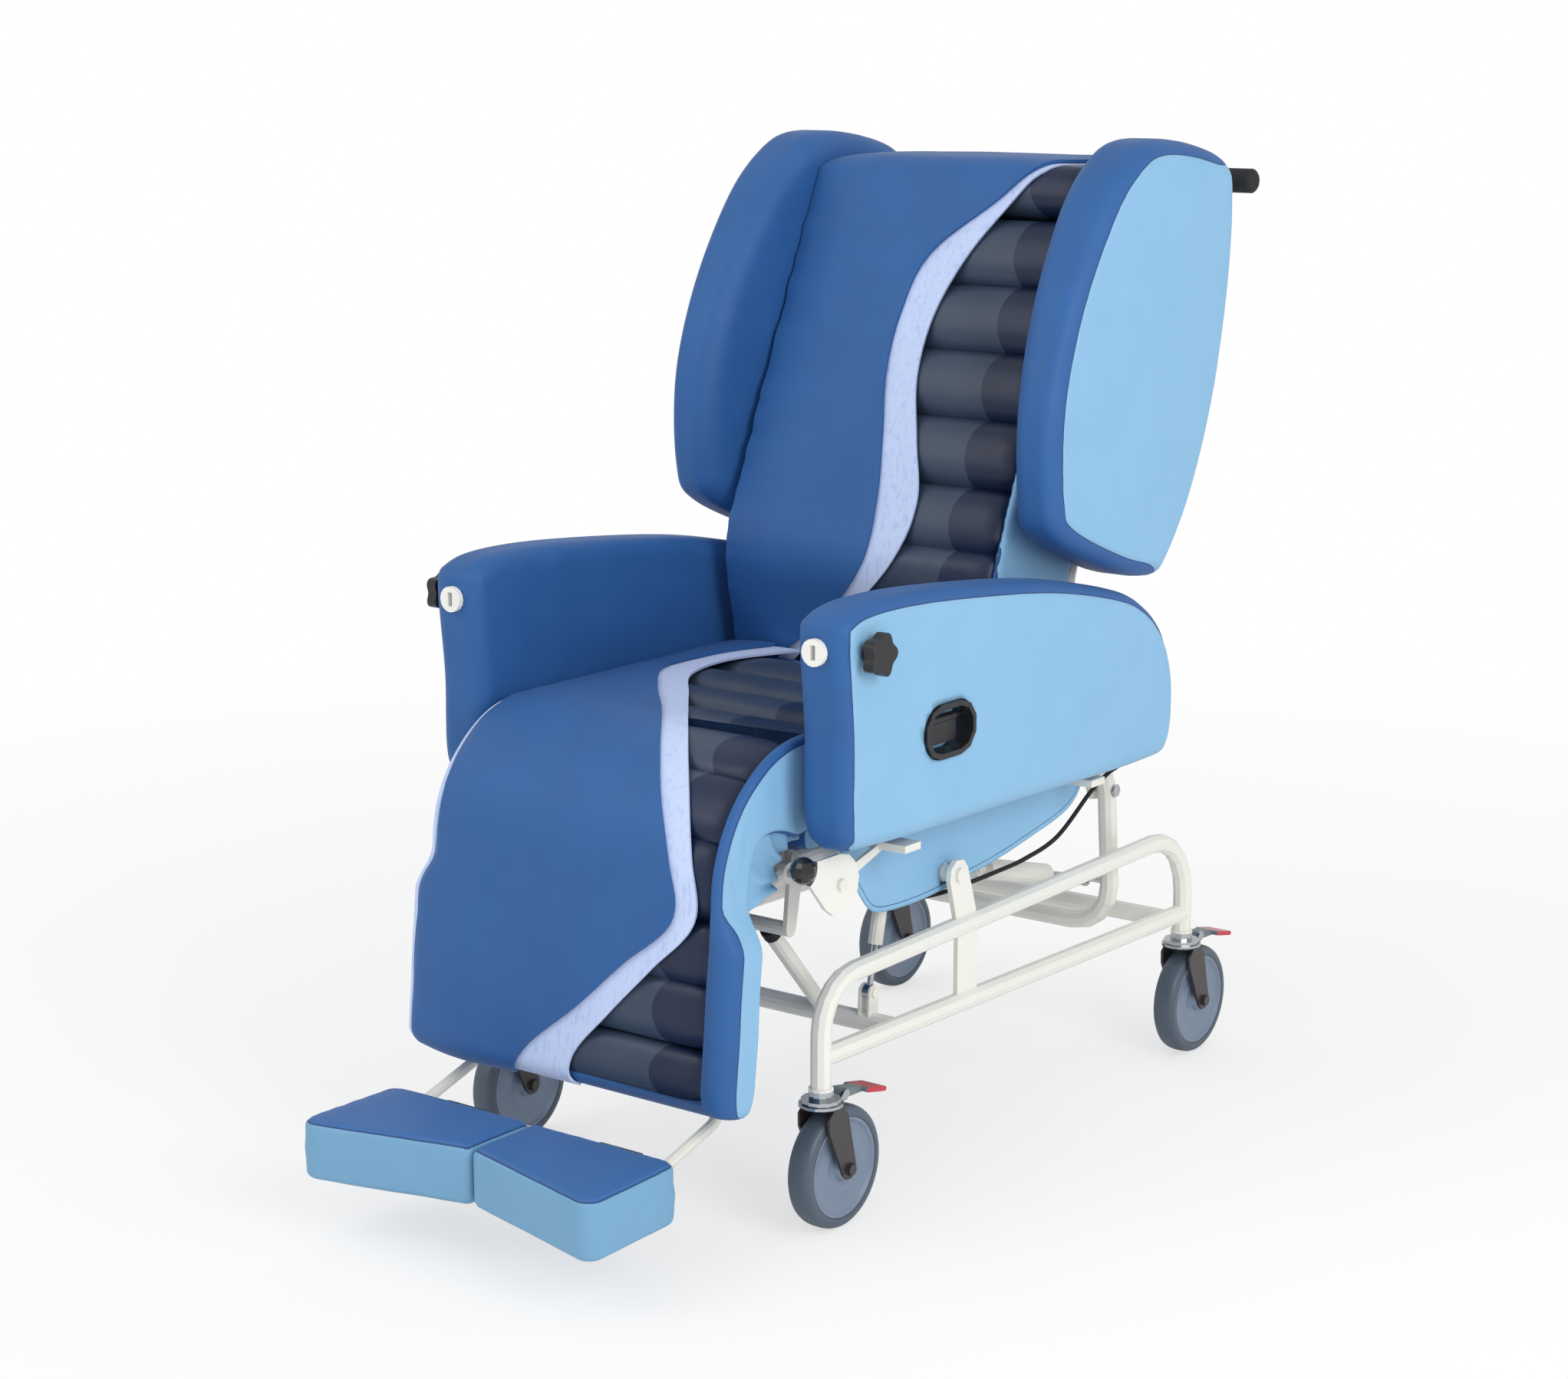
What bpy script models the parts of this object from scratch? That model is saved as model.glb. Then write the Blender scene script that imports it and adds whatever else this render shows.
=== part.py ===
"""Care chair: a padded wing-back chair with air cells, on a tube base with four braked castors.

The seat tilts as one unit on the base, the backrest reclines, the legrest lifts and carries a
height-adjusted, folding footrest. Units are metres, +Z is up, +X is the sitter's left and -Y the
front. Lengths below are given from the floor (Z), from the middle plane (X) and from the line
midway between the castor stems (Y).
"""
import math

import bpy
import bmesh
from mathutils import Matrix, Vector

MM = 0.001
DEGREE = math.pi / 180

# Working clearances
GAP = 0.3 * MM
WELD = 0.02 * MM
OVERRUN = 6 * MM
WELD_DEPTH = 5 * MM

# Roundness
TUBE_RES = 3
ROUND_STEPS = 16
PIN_STEPS = 12
BEND_STEPS = 5
SHARP_ANGLE = 35 * DEGREE

# Base frame
TRACK_HALF = 250 * MM
STEM_Y = 415 * MM
LEG_FOOT_Z = 174 * MM
BASE_TUBE_R = 12.5 * MM
RAIL_FRONT_Z = 304 * MM
RAIL_REAR_Z = 319 * MM
FRONT_BEND_R = 62 * MM
REAR_BEND_R = 85 * MM
LOWER_RAIL_FRONT_Z = 215 * MM
LOWER_RAIL_REAR_Z = 203 * MM
FRONT_CROSS_Y = -265 * MM
REAR_CROSS_Y = 385 * MM
UPRIGHT_Y = -116 * MM
UPRIGHT_W = 43 * MM
UPRIGHT_T = 6 * MM
BRACKET_EYE_R = 20 * MM
STOP_STRUT_X = 147 * MM
STOP_STRUT_R = 10 * MM
BUFFER_Y = -373 * MM
BUFFER_Z = 335 * MM
BUFFER_R = 11 * MM
BUFFER_T = 14 * MM

# Tilt pivot of the seat on the base
TILT_Y = -136 * MM
TILT_Z = 376 * MM
TILT_PIN_R = 6 * MM
TILT_BOSS_R = 11 * MM
TILT_CAP_R = 9 * MM
TILT_CAP_T = 4 * MM

# Castors, in each castor's own frame: stem axis at X = Y = 0, floor at Z = 0
WHEEL_R = 75 * MM
WHEEL_W = 32 * MM
TREAD_EDGE = 7 * MM
DISC_R = 57 * MM
DISC_DEPTH = 4 * MM
HUB_R = 15 * MM
HUB_W = 39 * MM
AXLE_R = 4 * MM
AXLE_HEAD_R = 7.5 * MM
AXLE_HEAD_T = 5 * MM
RUNNING_GAP = 0.4 * MM
CASTOR_TRAIL = 26 * MM
FORK_T = 3.5 * MM
FORK_EYE_R = 13 * MM
FORK_SHOULDER_R = 20 * MM
FORK_SHOULDER_Y = 4 * MM
CROWN_R = 27 * MM
CROWN_T = 4 * MM
CROWN_Z = 156.5 * MM
KING_PIN_R = 6 * MM
KING_HEAD_R = 10 * MM
KING_HEAD_T = 2.8 * MM
RACE_R = 24 * MM
RACE_T = 5 * MM
COLLAR_R = 15 * MM
PEDAL_HINGE_Y = 34 * MM
PEDAL_HINGE_Z = 163.5 * MM
PEDAL_PIN_R = 2.5 * MM
PEDAL_HUB_R = 6 * MM
PEDAL_TIP_Y = 108 * MM
PEDAL_TIP_Z = 152 * MM
PEDAL_TIP_R = 3 * MM
PEDAL_W = 35 * MM
PEDAL_EAR_R = 6.5 * MM

# Seat frame
SEAT_RAIL_X = 183 * MM
SEAT_RAIL_Z = 437.5 * MM
SEAT_RAIL_R = 12.5 * MM
SEAT_CROSS_R = 10 * MM
CROSS_FRONT_Y = -225 * MM
CROSS_MID_Y = 20 * MM
CROSS_OUTER_X = 222 * MM
STOP_TUBE_R = 9 * MM
DROP_PLATE_W = 26 * MM
DROP_PLATE_T = 6 * MM
RAIL_FRONT_Y = -385 * MM
PIVOT_LUG_T = 5 * MM
PIVOT_LUG_R = 17 * MM
ARM_BAR_FRONT_Y = -300 * MM
ARM_BAR_REAR_Y = 110 * MM
ARM_BAR_W = 32 * MM
ARM_BAR_T = 9 * MM
ARM_BAR_OUTER_X = 298 * MM

# Backrest pivot and frame
RECLINE_Y = 273 * MM
RECLINE_Z = 399 * MM
RECLINE_X = 212 * MM
RECLINE_BOLT_R = 5 * MM
RECLINE_NUT_R = 9 * MM
RECLINE_NUT_T = 6 * MM
BACK_TUBE_R = 12.5 * MM
BACK_TUBE_X = 198 * MM
BACK_KNEE_Y = 176 * MM
BACK_KNEE_Z = 683 * MM
BACK_BEND_Z = 1128 * MM
LEVER_Y = 290 * MM
LEVER_Z = 205 * MM
LEVER_BEND_R = 60 * MM
FRAME_BEND_R = 70 * MM
PUSH_BAR_Y = 462 * MM
PUSH_BAR_Z = 1196 * MM
PUSH_BAR_HALF = 296 * MM
GRIP_R = 16 * MM
GRIP_INNER_X = 216 * MM
GRIP_END = 7 * MM

# Skin lines of the cushions, seen from the side
SEAT_TOP_Z = 600 * MM
LEG_HINGE_Y = -405 * MM
LEG_HINGE_Z = 427 * MM
KNEE_R = SEAT_TOP_Z - LEG_HINGE_Z
KNEE_STEPS = 8
SEAT_REAR_Y = -2 * MM
SHIN_LEAN = 5.5 * DEGREE
KNEE_SWEEP = 98 * DEGREE
KNEE_JOINT_R = KNEE_R / math.cos(KNEE_SWEEP + SHIN_LEAN - math.pi / 2)
LEGREST_FOOT_Z = 172 * MM
LEGREST_FOOT_R = 28 * MM
BACK_LEAN = 23.4 * DEGREE
BACK_TOP_Z = 1229 * MM
BACK_TOP_REAR_Y = 320 * MM
BACK_TOP_R = 45 * MM
LUMBAR_Y = -22.5 * MM
LUMBAR_Z = 724.5 * MM
LUMBAR_R = 120 * MM
BACK_FOOT_Y = 29 * MM
BACK_FOOT_Z = 480 * MM

# Cushion layers, from the skin inwards
COVER_T = 4 * MM
LAYER_T = 3 * MM
LAYER_GAP = 1 * MM
CROWN = 10 * MM
CROWN_SHARE = 0.8
CELL_SLACK = 2.5 * MM
CELL_SEAM = 1 * MM
CELL_CORNER = 16 * MM
CELL_END = 14 * MM
CELL_CORNER_MOST = 0.9  # a corner's largest share of half the depth that is left at a cell's end
CELL_DEPTH = 82 * MM
SHIN_CELL_DEPTH = 40 * MM
SEAT_HALF_W = 224 * MM
BACK_HALF_W = 213 * MM
SHIN_HALF_W = 250 * MM
SEAT_CELL_HALF = 186 * MM
BACK_CELL_HALF = 203 * MM
KNEE_CELL_HALF = 172 * MM
SHIN_CELL_HALF = 212 * MM
SHIN_T = 66 * MM
SHIN_WIDE_Z = 370 * MM
SHIN_NARROW_Z = 428 * MM
SEAT_CASING_Z = 457 * MM
CELL_PITCH = 90 * MM
SHIN_CELL_PITCH = 72 * MM
KNEE_CELL_PITCH = 88 * MM
KNEE_CELL_DEPTH = 66 * MM
ROW_STEP = 60 * MM

# Edges of the cut-away cover and of the layer under it, as shares of the panel's half width, at
# equal steps along each panel from its top or rear end to its lower or front end
BACK_COVER_EDGE_SHARES = (0.78, 0.76, 0.46, 0.03, -0.08, -0.08, 0.01, 0.08, 0.07, -0.24, -0.72, -0.72)
BACK_LAYER_EDGE_SHARES = (0.8, 0.8, 0.54, 0.29, 0.15, 0.14, 0.25, 0.36, 0.26, -0.12, -0.6, -0.6)
SEAT_COVER_EDGE_SHARES = (-0.72, -0.74, -0.7, -0.38, 0.02)
SEAT_LAYER_EDGE_SHARES = (-0.6, -0.62, -0.5, -0.16, 0.2)
KNEE_COVER_EDGE_SHARES = (0.02, 0.27, 0.48, 0.65, 0.68)
KNEE_LAYER_EDGE_SHARES = (0.2, 0.45, 0.66, 0.79, 0.8)
SHIN_COVER_EDGE_SHARES = (0.62, 0.36, 0.09, -0.21, -0.35)
SHIN_LAYER_EDGE_SHARES = (0.74, 0.52, 0.28, 0.07, 0.08)

# Legrest hinge, its frame and the footrest
LEG_HINGE_ROD_R = 5 * MM
LEG_HINGE_EYE_R = 13 * MM
LEG_TUBE_X = 187 * MM
LEG_TUBE_R = 9.5 * MM
LEG_BEND_R = 24 * MM
LEG_TUBE_FOOT_Z = 184 * MM
LEG_CROSS_Z = 300 * MM
FOOT_TUBE_R = 7 * MM
FOOT_TUBE_BURIED = 100 * MM
FOOT_BEND_Z = 158 * MM
FOOT_BEND_R = 26 * MM
FOOT_HINGE_Y = -627 * MM
FOOT_HINGE_Z = 128 * MM
FOOT_ROD_R = 5 * MM
FOOT_EYE_R = 9 * MM
PAD_TOP_Z = 145 * MM
PAD_T = 70 * MM
PAD_REAR_Y = -640 * MM
PAD_CORNER_Y = -800 * MM
FRONT_END_Y = -793.3 * MM  # the front of the pad once its corner is rounded
PAD_MIDDLE_Y = -745 * MM
PAD_REAR_HALF = 213 * MM
PAD_FRONT_HALF = 218 * MM
PAD_MIDDLE_GAP = 2 * MM
PAD_CORNER_R = 22 * MM
PAD_EDGE = 8 * MM
HINGE_STRIP_T = 3 * MM
HINGE_STRIP_H = 40 * MM
HINGE_STRIP_W = 60 * MM
HINGE_STRIP_X = 120 * MM

# Arms: the outline runs anticlockwise from the front foot, as shares of length and height
ARM_FRONT_Y = -462 * MM
ARM_REAR_Y = 272 * MM
ARM_FOOT_Z = 462 * MM
ARM_TOP_Z = 760 * MM
ARM_INNER_X = 242 * MM
ARM_OUTER_X = 318 * MM
ARM_EDGE = 24 * MM
ARM_OUTLINE_SHARES = (
    (0.02, 0.10), (0.10, 0.035), (0.50, 0.015), (0.90, 0.0), (0.985, 0.05), (1.0, 0.32),
    (0.965, 0.55), (0.90, 0.70), (0.80, 0.80), (0.58, 0.91), (0.28, 0.985), (0.10, 1.0),
    (0.02, 0.965), (0.0, 0.88), (0.012, 0.5))

# Wings: the outline runs anticlockwise from the lowest front point
WING_FRONT_Y = 2 * MM
WING_REAR_Y = 422 * MM
WING_FOOT_Z = 700 * MM
WING_TOP_Z = 1256 * MM
WING_INNER_X = BACK_HALF_W + GAP
WING_OUTER_X = 306 * MM
WING_EDGE = 30 * MM
WING_OUTLINE_SHARES = (
    (0.08, 0.13), (0.35, 0.035), (0.55, 0.0), (0.63, 0.02), (0.78, 0.17), (0.91, 0.40),
    (0.985, 0.66), (1.0, 0.84), (0.965, 0.94), (0.78, 0.985), (0.54, 1.0), (0.40, 0.965),
    (0.25, 0.86), (0.10, 0.66), (0.015, 0.44), (0.015, 0.22))

# Skirts under the arms, outline in real places along the side
SKIRT_X = 230 * MM
SKIRT_T = 4 * MM
SKIRT_FRONT_Y = -352 * MM
SKIRT_REAR_Y = 192 * MM
SKIRT_LOW_Z = 352 * MM
SKIRT_OUTLINE_SHARES = (
    (0.0, 1.0), (0.06, 0.45), (0.13, 0.06), (0.28, 0.0), (0.45, 0.06), (0.68, 0.22), (0.92, 0.52),
    (1.0, 1.0))

# Tray sockets and clamp knobs
SOCKET_X = 277 * MM
SOCKET_Z = 709 * MM
SOCKET_R = 13 * MM
SOCKET_FLANGE_R = 16 * MM
SOCKET_FLANGE_T = 7 * MM
SOCKET_DEPTH = 80 * MM
SLOT_W = 7 * MM
SLOT_H = 17 * MM
SLOT_DEPTH = 70 * MM
KNOB_Y = -420 * MM
KNOB_Z = 706 * MM
KNOB_R = 26 * MM
KNOB_LOBE_R = 9 * MM
KNOB_LOBES = 5
KNOB_T = 14 * MM
KNOB_HUB_R = 12 * MM
KNOB_STANDOFF = 9 * MM
KNOB_SCREW_R = 4 * MM

# Release handle in the left arm
HANDLE_Y = -255 * MM
HANDLE_Z = 589 * MM
HANDLE_L = 105 * MM
HANDLE_H = 66 * MM
HANDLE_DEPTH = 24 * MM
HANDLE_RIM = 7 * MM
HANDLE_RIM_T = 3 * MM
PADDLE_L = 52 * MM
PADDLE_H = 34 * MM
PADDLE_T = 5 * MM
PADDLE_PIN_R = 2.5 * MM
PADDLE_HUB_R = 5 * MM

# Legrest lock lever with its ball knob
LEVER_PIVOT_X = 262 * MM
LEVER_PIVOT_Y = -398 * MM
LEVER_PIVOT_Z = 423 * MM
LEVER_PLATE_T = 5 * MM
LEVER_CAM_R = 37 * MM
LEVER_BOLT_R = 4 * MM
LEVER_NUT_R = 7.5 * MM
LEVER_NUT_T = 5 * MM
LEVER_ARM_R = 9 * MM
BALL_Y = -466 * MM
BALL_Z = 454 * MM
BALL_R = 16 * MM

# Gas springs
STRUT_X = 208 * MM
STRUT_LOW_Y = -262 * MM
STRUT_LOW_Z = 250 * MM
STRUT_HIGH_Y = -226 * MM
STRUT_HIGH_Z = 410 * MM
STRUT_BODY_R = 9 * MM
STRUT_ROD_R = 4 * MM
STRUT_BODY_START = 14 * MM
STRUT_BODY_L = 92 * MM
RECLINE_STRUT_X = 172 * MM
RECLINE_STRUT_FRONT_Y = 20 * MM
RECLINE_STRUT_FRONT_Z = 338 * MM
RECLINE_STRUT_REAR_Y = 284.5 * MM
RECLINE_STRUT_REAR_Z = 268 * MM
RECLINE_BODY_R = 14 * MM
RECLINE_ROD_R = 5 * MM
RECLINE_BODY_START = 22 * MM
RECLINE_BODY_L = 150 * MM
STRUT_BURIED = 40 * MM
STRUT_PIN_R = 4 * MM
STRUT_EYE_T = 10 * MM
STRUT_EYE_WALL = 4.5 * MM
STRUT_LUG_T = 3 * MM
STRUT_LUG_R = 10 * MM
STRUT_PIN_HEAD_T = 2.5 * MM
STRUT_PIN_HEAD_R = 6.6 * MM
TILT_EYE_PLAY = 0.9 * MM
RECLINE_EYE_PLAY = 2.9 * MM

# Release cable from the arm to the tilt spring: route points in order, under the skirt
CABLE_R = 3 * MM
CABLE_STEPS = 2
CABLE_ROUTE = (
    (272, 200, 459.9), (272, 200, 455), (250, 214, 438), (226, 210, 410), (222, 137, 364),
    (222, 60, 350), (222, -6, 347), (222, -70, 346), (222, -118, 346), (222, -160, 349),
    (222, -192, 353), (221.5, -204, 362), (221.5, -212, 376), (221.5, -216, 392))

# Colours
WHITE_COAT = (0.86, 0.855, 0.8)
DARK_BLUE = (0.05, 0.145, 0.38)
LIGHT_BLUE = (0.34, 0.62, 0.82)
PALE_LAYER = (0.58, 0.7, 0.93)
CELL_GREY = (0.035, 0.055, 0.085)
BLACK = (0.012, 0.012, 0.014)
ZINC = (0.6, 0.61, 0.62)
FORK_BROWN = (0.035, 0.028, 0.03)
WHEEL_GREY = (0.12, 0.145, 0.17)
PEDAL_RED = (0.45, 0.01, 0.03)
CAP_WHITE = (0.9, 0.89, 0.86)

# Orientations that stand a flat outline up: its first axis, its second axis and its thickness
FLAT = Matrix.Identity(4)
SIDE_ON = Matrix(((0, 0, 1, 0), (1, 0, 0, 0), (0, 1, 0, 0), (0, 0, 0, 1)))

CHAIR_CENTRE_Y = (FRONT_END_Y + STEM_Y + PEDAL_TIP_Y) / 2
BODY = {}
PLACE = {}


def at(x, y, z):
    return Vector((x, y, z))


def new_object(name, mesh):
    obj = bpy.data.objects.new(name, mesh)
    PARTS.objects.link(obj)
    return obj


def from_bmesh(name, shape):
    mesh = bpy.data.meshes.new(name)
    shape.to_mesh(mesh)
    shape.free()
    return new_object(name, mesh)


def face_outwards(shape):
    """Point one closed body's faces outwards."""
    bmesh.ops.recalc_face_normals(shape, faces=shape.faces)
    if shape.calc_volume(signed=True) < 0:
        bmesh.ops.reverse_faces(shape, faces=shape.faces)


def bake(obj, single=True):
    """Make a curve, or an object with modifiers, a plain mesh object with its seams merged."""
    graph = bpy.context.evaluated_depsgraph_get()
    mesh = bpy.data.meshes.new_from_object(obj.evaluated_get(graph))
    shape = bmesh.new()
    shape.from_mesh(mesh)
    bmesh.ops.remove_doubles(shape, verts=shape.verts, dist=WELD)
    if single:
        face_outwards(shape)
    name = obj.name
    bpy.data.objects.remove(obj)
    return from_bmesh(name, shape)


def combine(target, others, operation):
    """Join others to the target, or cut them from it, and remove them."""
    for other in others:
        step = target.modifiers.new(operation, "BOOLEAN")
        step.operation = operation
        step.object = other
    result = bake(target, False)
    for other in others:
        bpy.data.objects.remove(other)
    return result


def union(*objects):
    return combine(objects[0], objects[1:], "UNION")


def cut(target, *cutters):
    for cutter in cutters:
        cutter.hide_render = True
        cutter.display_type = "WIRE"
    return combine(target, cutters, "DIFFERENCE")


def copied(obj):
    return new_object(obj.name, obj.data.copy())


def mirrored(obj):
    """A copy on the other side of the middle plane."""
    other = copied(obj)
    other.data.transform(Matrix.Scale(-1, 4, (1, 0, 0)))
    other.data.flip_normals()
    return other


def moved(obj, offset):
    obj.data.transform(Matrix.Translation(offset))
    return obj


def rounded(corners, radii, steps=BEND_STEPS):
    """The path through the corners, with an arc of the given radius at each inner one."""
    path = [corners[0]]
    for before, corner, after, radius in zip(corners, corners[1:], corners[2:], radii):
        inward = (before - corner).normalized()
        onward = (after - corner).normalized()
        half = inward.angle(onward) / 2
        centre = corner + (inward + onward).normalized() * (radius / math.sin(half))
        first = corner + inward * (radius / math.tan(half)) - centre
        last = corner + onward * (radius / math.tan(half)) - centre
        path += [centre + first.slerp(last, step / steps).normalized() * radius for step in range(steps + 1)]
    return path + [corners[-1]]


def through(points, steps):
    """A smooth curve through the points, as a Catmull-Rom spline."""
    ends = [points[0] * 2 - points[1]] + points + [points[-1] * 2 - points[-2]]
    path = []
    for a, b, c, d in zip(ends, ends[1:], ends[2:], ends[3:]):
        for step in range(steps):
            t = step / steps
            path.append((b * 2 + (c - a) * t + (a * 2 - b * 5 + c * 4 - d) * t ** 2
                         + (b * 3 - a - c * 3 + d) * t ** 3) / 2)
    return path + [points[-1]]


def outline_from(shares, low_y, high_y, low_z, high_z, steps=3):
    """A closed smooth outline in the side plane, from points that are shares of its box."""
    points = [at(low_y + (high_y - low_y) * y, low_z + (high_z - low_z) * z, 0) for y, z in shares]
    loop = points[-1:] + points + points[:2]
    path = []
    for a, b, c, d in zip(loop, loop[1:], loop[2:], loop[3:]):
        for step in range(steps):
            t = step / steps
            path.append((b * 2 + (c - a) * t + (a * 2 - b * 5 + c * 4 - d) * t ** 2
                         + (b * 3 - a - c * 3 + d) * t ** 3) / 2)
    return path


def tube(name, path, radius, res=TUBE_RES):
    curve = bpy.data.curves.new(name, "CURVE")
    curve.dimensions = "3D"
    curve.bevel_depth = radius
    curve.bevel_resolution = res
    curve.use_fill_caps = True
    spline = curve.splines.new("POLY")
    spline.points.add(len(path) - 1)
    for point, place in zip(spline.points, path):
        point.co = (*place, 1)
    return bake(new_object(name, curve))


def plate(name, loops, thickness, frame=SIDE_ON, place=0, edge=0):
    """A flat outline with holes, given a thickness centred on its place across the plane."""
    curve = bpy.data.curves.new(name, "CURVE")
    curve.dimensions = "2D"
    curve.fill_mode = "BOTH"
    curve.extrude = thickness / 2 - edge
    curve.bevel_depth = edge
    curve.bevel_resolution = 1
    curve.offset = -edge
    for loop in loops:
        spline = curve.splines.new("POLY")
        spline.points.add(len(loop) - 1)
        spline.use_cyclic_u = True
        for point, spot in zip(spline.points, loop):
            point.co = (spot[0], spot[1], 0, 1)
    obj = bake(new_object(name, curve))
    obj.data.transform(frame @ Matrix.Translation((0, 0, place)))
    if frame.determinant() < 0:
        obj.data.flip_normals()
    return obj


def circle(u, v, radius, steps=PIN_STEPS):
    turn = 2 * math.pi / steps
    return [at(u + radius * math.cos(turn * k), v + radius * math.sin(turn * k), 0) for k in range(steps)]


def link(a, radius_a, b, radius_b, steps=4):
    """The outline round two circles of unlike radius, as on a lever or a tapered lug."""
    along = Vector((b[0] - a[0], b[1] - a[1]))
    heading = math.atan2(along.y, along.x)
    spread = math.acos((radius_a - radius_b) / along.length)
    loop = []
    for centre, radius, start, sweep in ((a, radius_a, heading + spread, 2 * (math.pi - spread)),
                                         (b, radius_b, heading - spread, 2 * spread)):
        for step in range(steps + 1):
            angle = start + sweep * step / steps
            loop.append(at(centre[0] + radius * math.cos(angle), centre[1] + radius * math.sin(angle), 0))
    return loop


def box(name, low, high):
    shape = bmesh.new()
    bmesh.ops.create_cube(shape, size=1)
    size = Vector(high) - Vector(low)
    middle = (Vector(high) + Vector(low)) / 2
    shape.transform(Matrix.Translation(middle) @ Matrix.Diagonal((*size, 1)))
    return from_bmesh(name, shape)


def rod(name, start, end, radius, steps=PIN_STEPS):
    """A straight round bar between two points."""
    axis = end - start
    shape = bmesh.new()
    bmesh.ops.create_cone(shape, cap_ends=True, segments=steps, radius1=radius, radius2=radius, depth=axis.length)
    turn = Vector((0, 0, 1)).rotation_difference(axis).to_matrix().to_4x4()
    shape.transform(Matrix.Translation((start + end) / 2) @ turn)
    return from_bmesh(name, shape)


def across(name, y, z, x_from, x_to, radius, steps=PIN_STEPS):
    """A round bar across the chair."""
    return rod(name, at(x_from, y, z), at(x_to, y, z), radius, steps)


def turned(name, profile, steps=ROUND_STEPS, closed=False):
    """A turned shape about Z; the profile lists (radius, height) down its outer side."""
    shape = bmesh.new()
    verts = [shape.verts.new((radius, 0, height)) for radius, height in profile]
    for first, second in zip(verts, verts[1:]):
        shape.edges.new((first, second))
    if closed:
        shape.edges.new((verts[-1], verts[0]))
    mesh = bpy.data.meshes.new(name)
    shape.to_mesh(mesh)
    shape.free()
    obj = new_object(name, mesh)
    screw = obj.modifiers.new("turn", "SCREW")
    screw.steps = steps
    screw.render_steps = steps
    screw.use_merge_vertices = True
    screw.merge_threshold = WELD
    return bake(obj)


def loft(name, rings):
    """A closed skin over rings of equal count, each end closed by its own ring."""
    shape = bmesh.new()
    rows = [[shape.verts.new(point) for point in ring] for ring in rings]
    for row, after in zip(rows, rows[1:]):
        for k in range(len(row)):
            following = (k + 1) % len(row)
            shape.faces.new((row[k], row[following], after[following], after[k]))
    shape.faces.new(rows[0])
    shape.faces.new(rows[-1])
    face_outwards(shape)
    return from_bmesh(name, shape)


def keep(obj, name, material, body):
    """Name a finished piece, give it its material and hang it on its body's axis."""
    obj.name = name
    obj.data.name = name
    obj.data.materials.clear()
    obj.data.materials.append(material)
    obj.data.shade_smooth()
    obj.data.set_sharp_from_angle(angle=SHARP_ANGLE)
    obj.parent = BODY[body]
    obj.location = -PLACE[body]
    return obj


def keep_pair(obj, name, material, body):
    """Keep a left-hand piece and its mirror image."""
    keep(mirrored(obj), name + "_right", material, body)
    keep(obj, name + "_left", material, body)


def body(name, parent, place):
    """An empty on a body's joint axis, which carries that body's pieces."""
    empty = bpy.data.objects.new(name + "_axis", None)
    PARTS.objects.link(empty)
    empty.parent = BODY.get(parent)
    empty.location = place - PLACE.get(parent, Vector())
    BODY[name] = empty
    PLACE[name] = place


def material(name, colour, roughness, metallic=0.0):
    made = bpy.data.materials.new(name)
    made.use_nodes = True
    shader = made.node_tree.nodes["Principled BSDF"]
    shader.inputs["Base Color"].default_value = (*colour, 1)
    shader.inputs["Roughness"].default_value = roughness
    shader.inputs["Metallic"].default_value = metallic
    return made


def lug(name, spots, thickness, x, hole=0):
    """A flat lug between two circles given as (y, z, radius), with a hole at the second one."""
    (y_a, z_a, r_a), (y_b, z_b, r_b) = spots
    loops = [link((y_a, z_a), r_a, (y_b, z_b), r_b)]
    if hole:
        loops.append(circle(y_b, z_b, hole))
    return plate(name, loops, thickness, SIDE_ON, x)


def rail_height(y):
    """Height of the base's top rail at a place along the chair."""
    slope = (RAIL_REAR_Z - RAIL_FRONT_Z) / (2 * STEM_Y)
    return RAIL_FRONT_Z + slope * (y + STEM_Y)


def lower_rail_height(y):
    slope = (LOWER_RAIL_REAR_Z - LOWER_RAIL_FRONT_Z) / (2 * STEM_Y)
    return LOWER_RAIL_FRONT_Z + slope * (y + STEM_Y)


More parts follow.
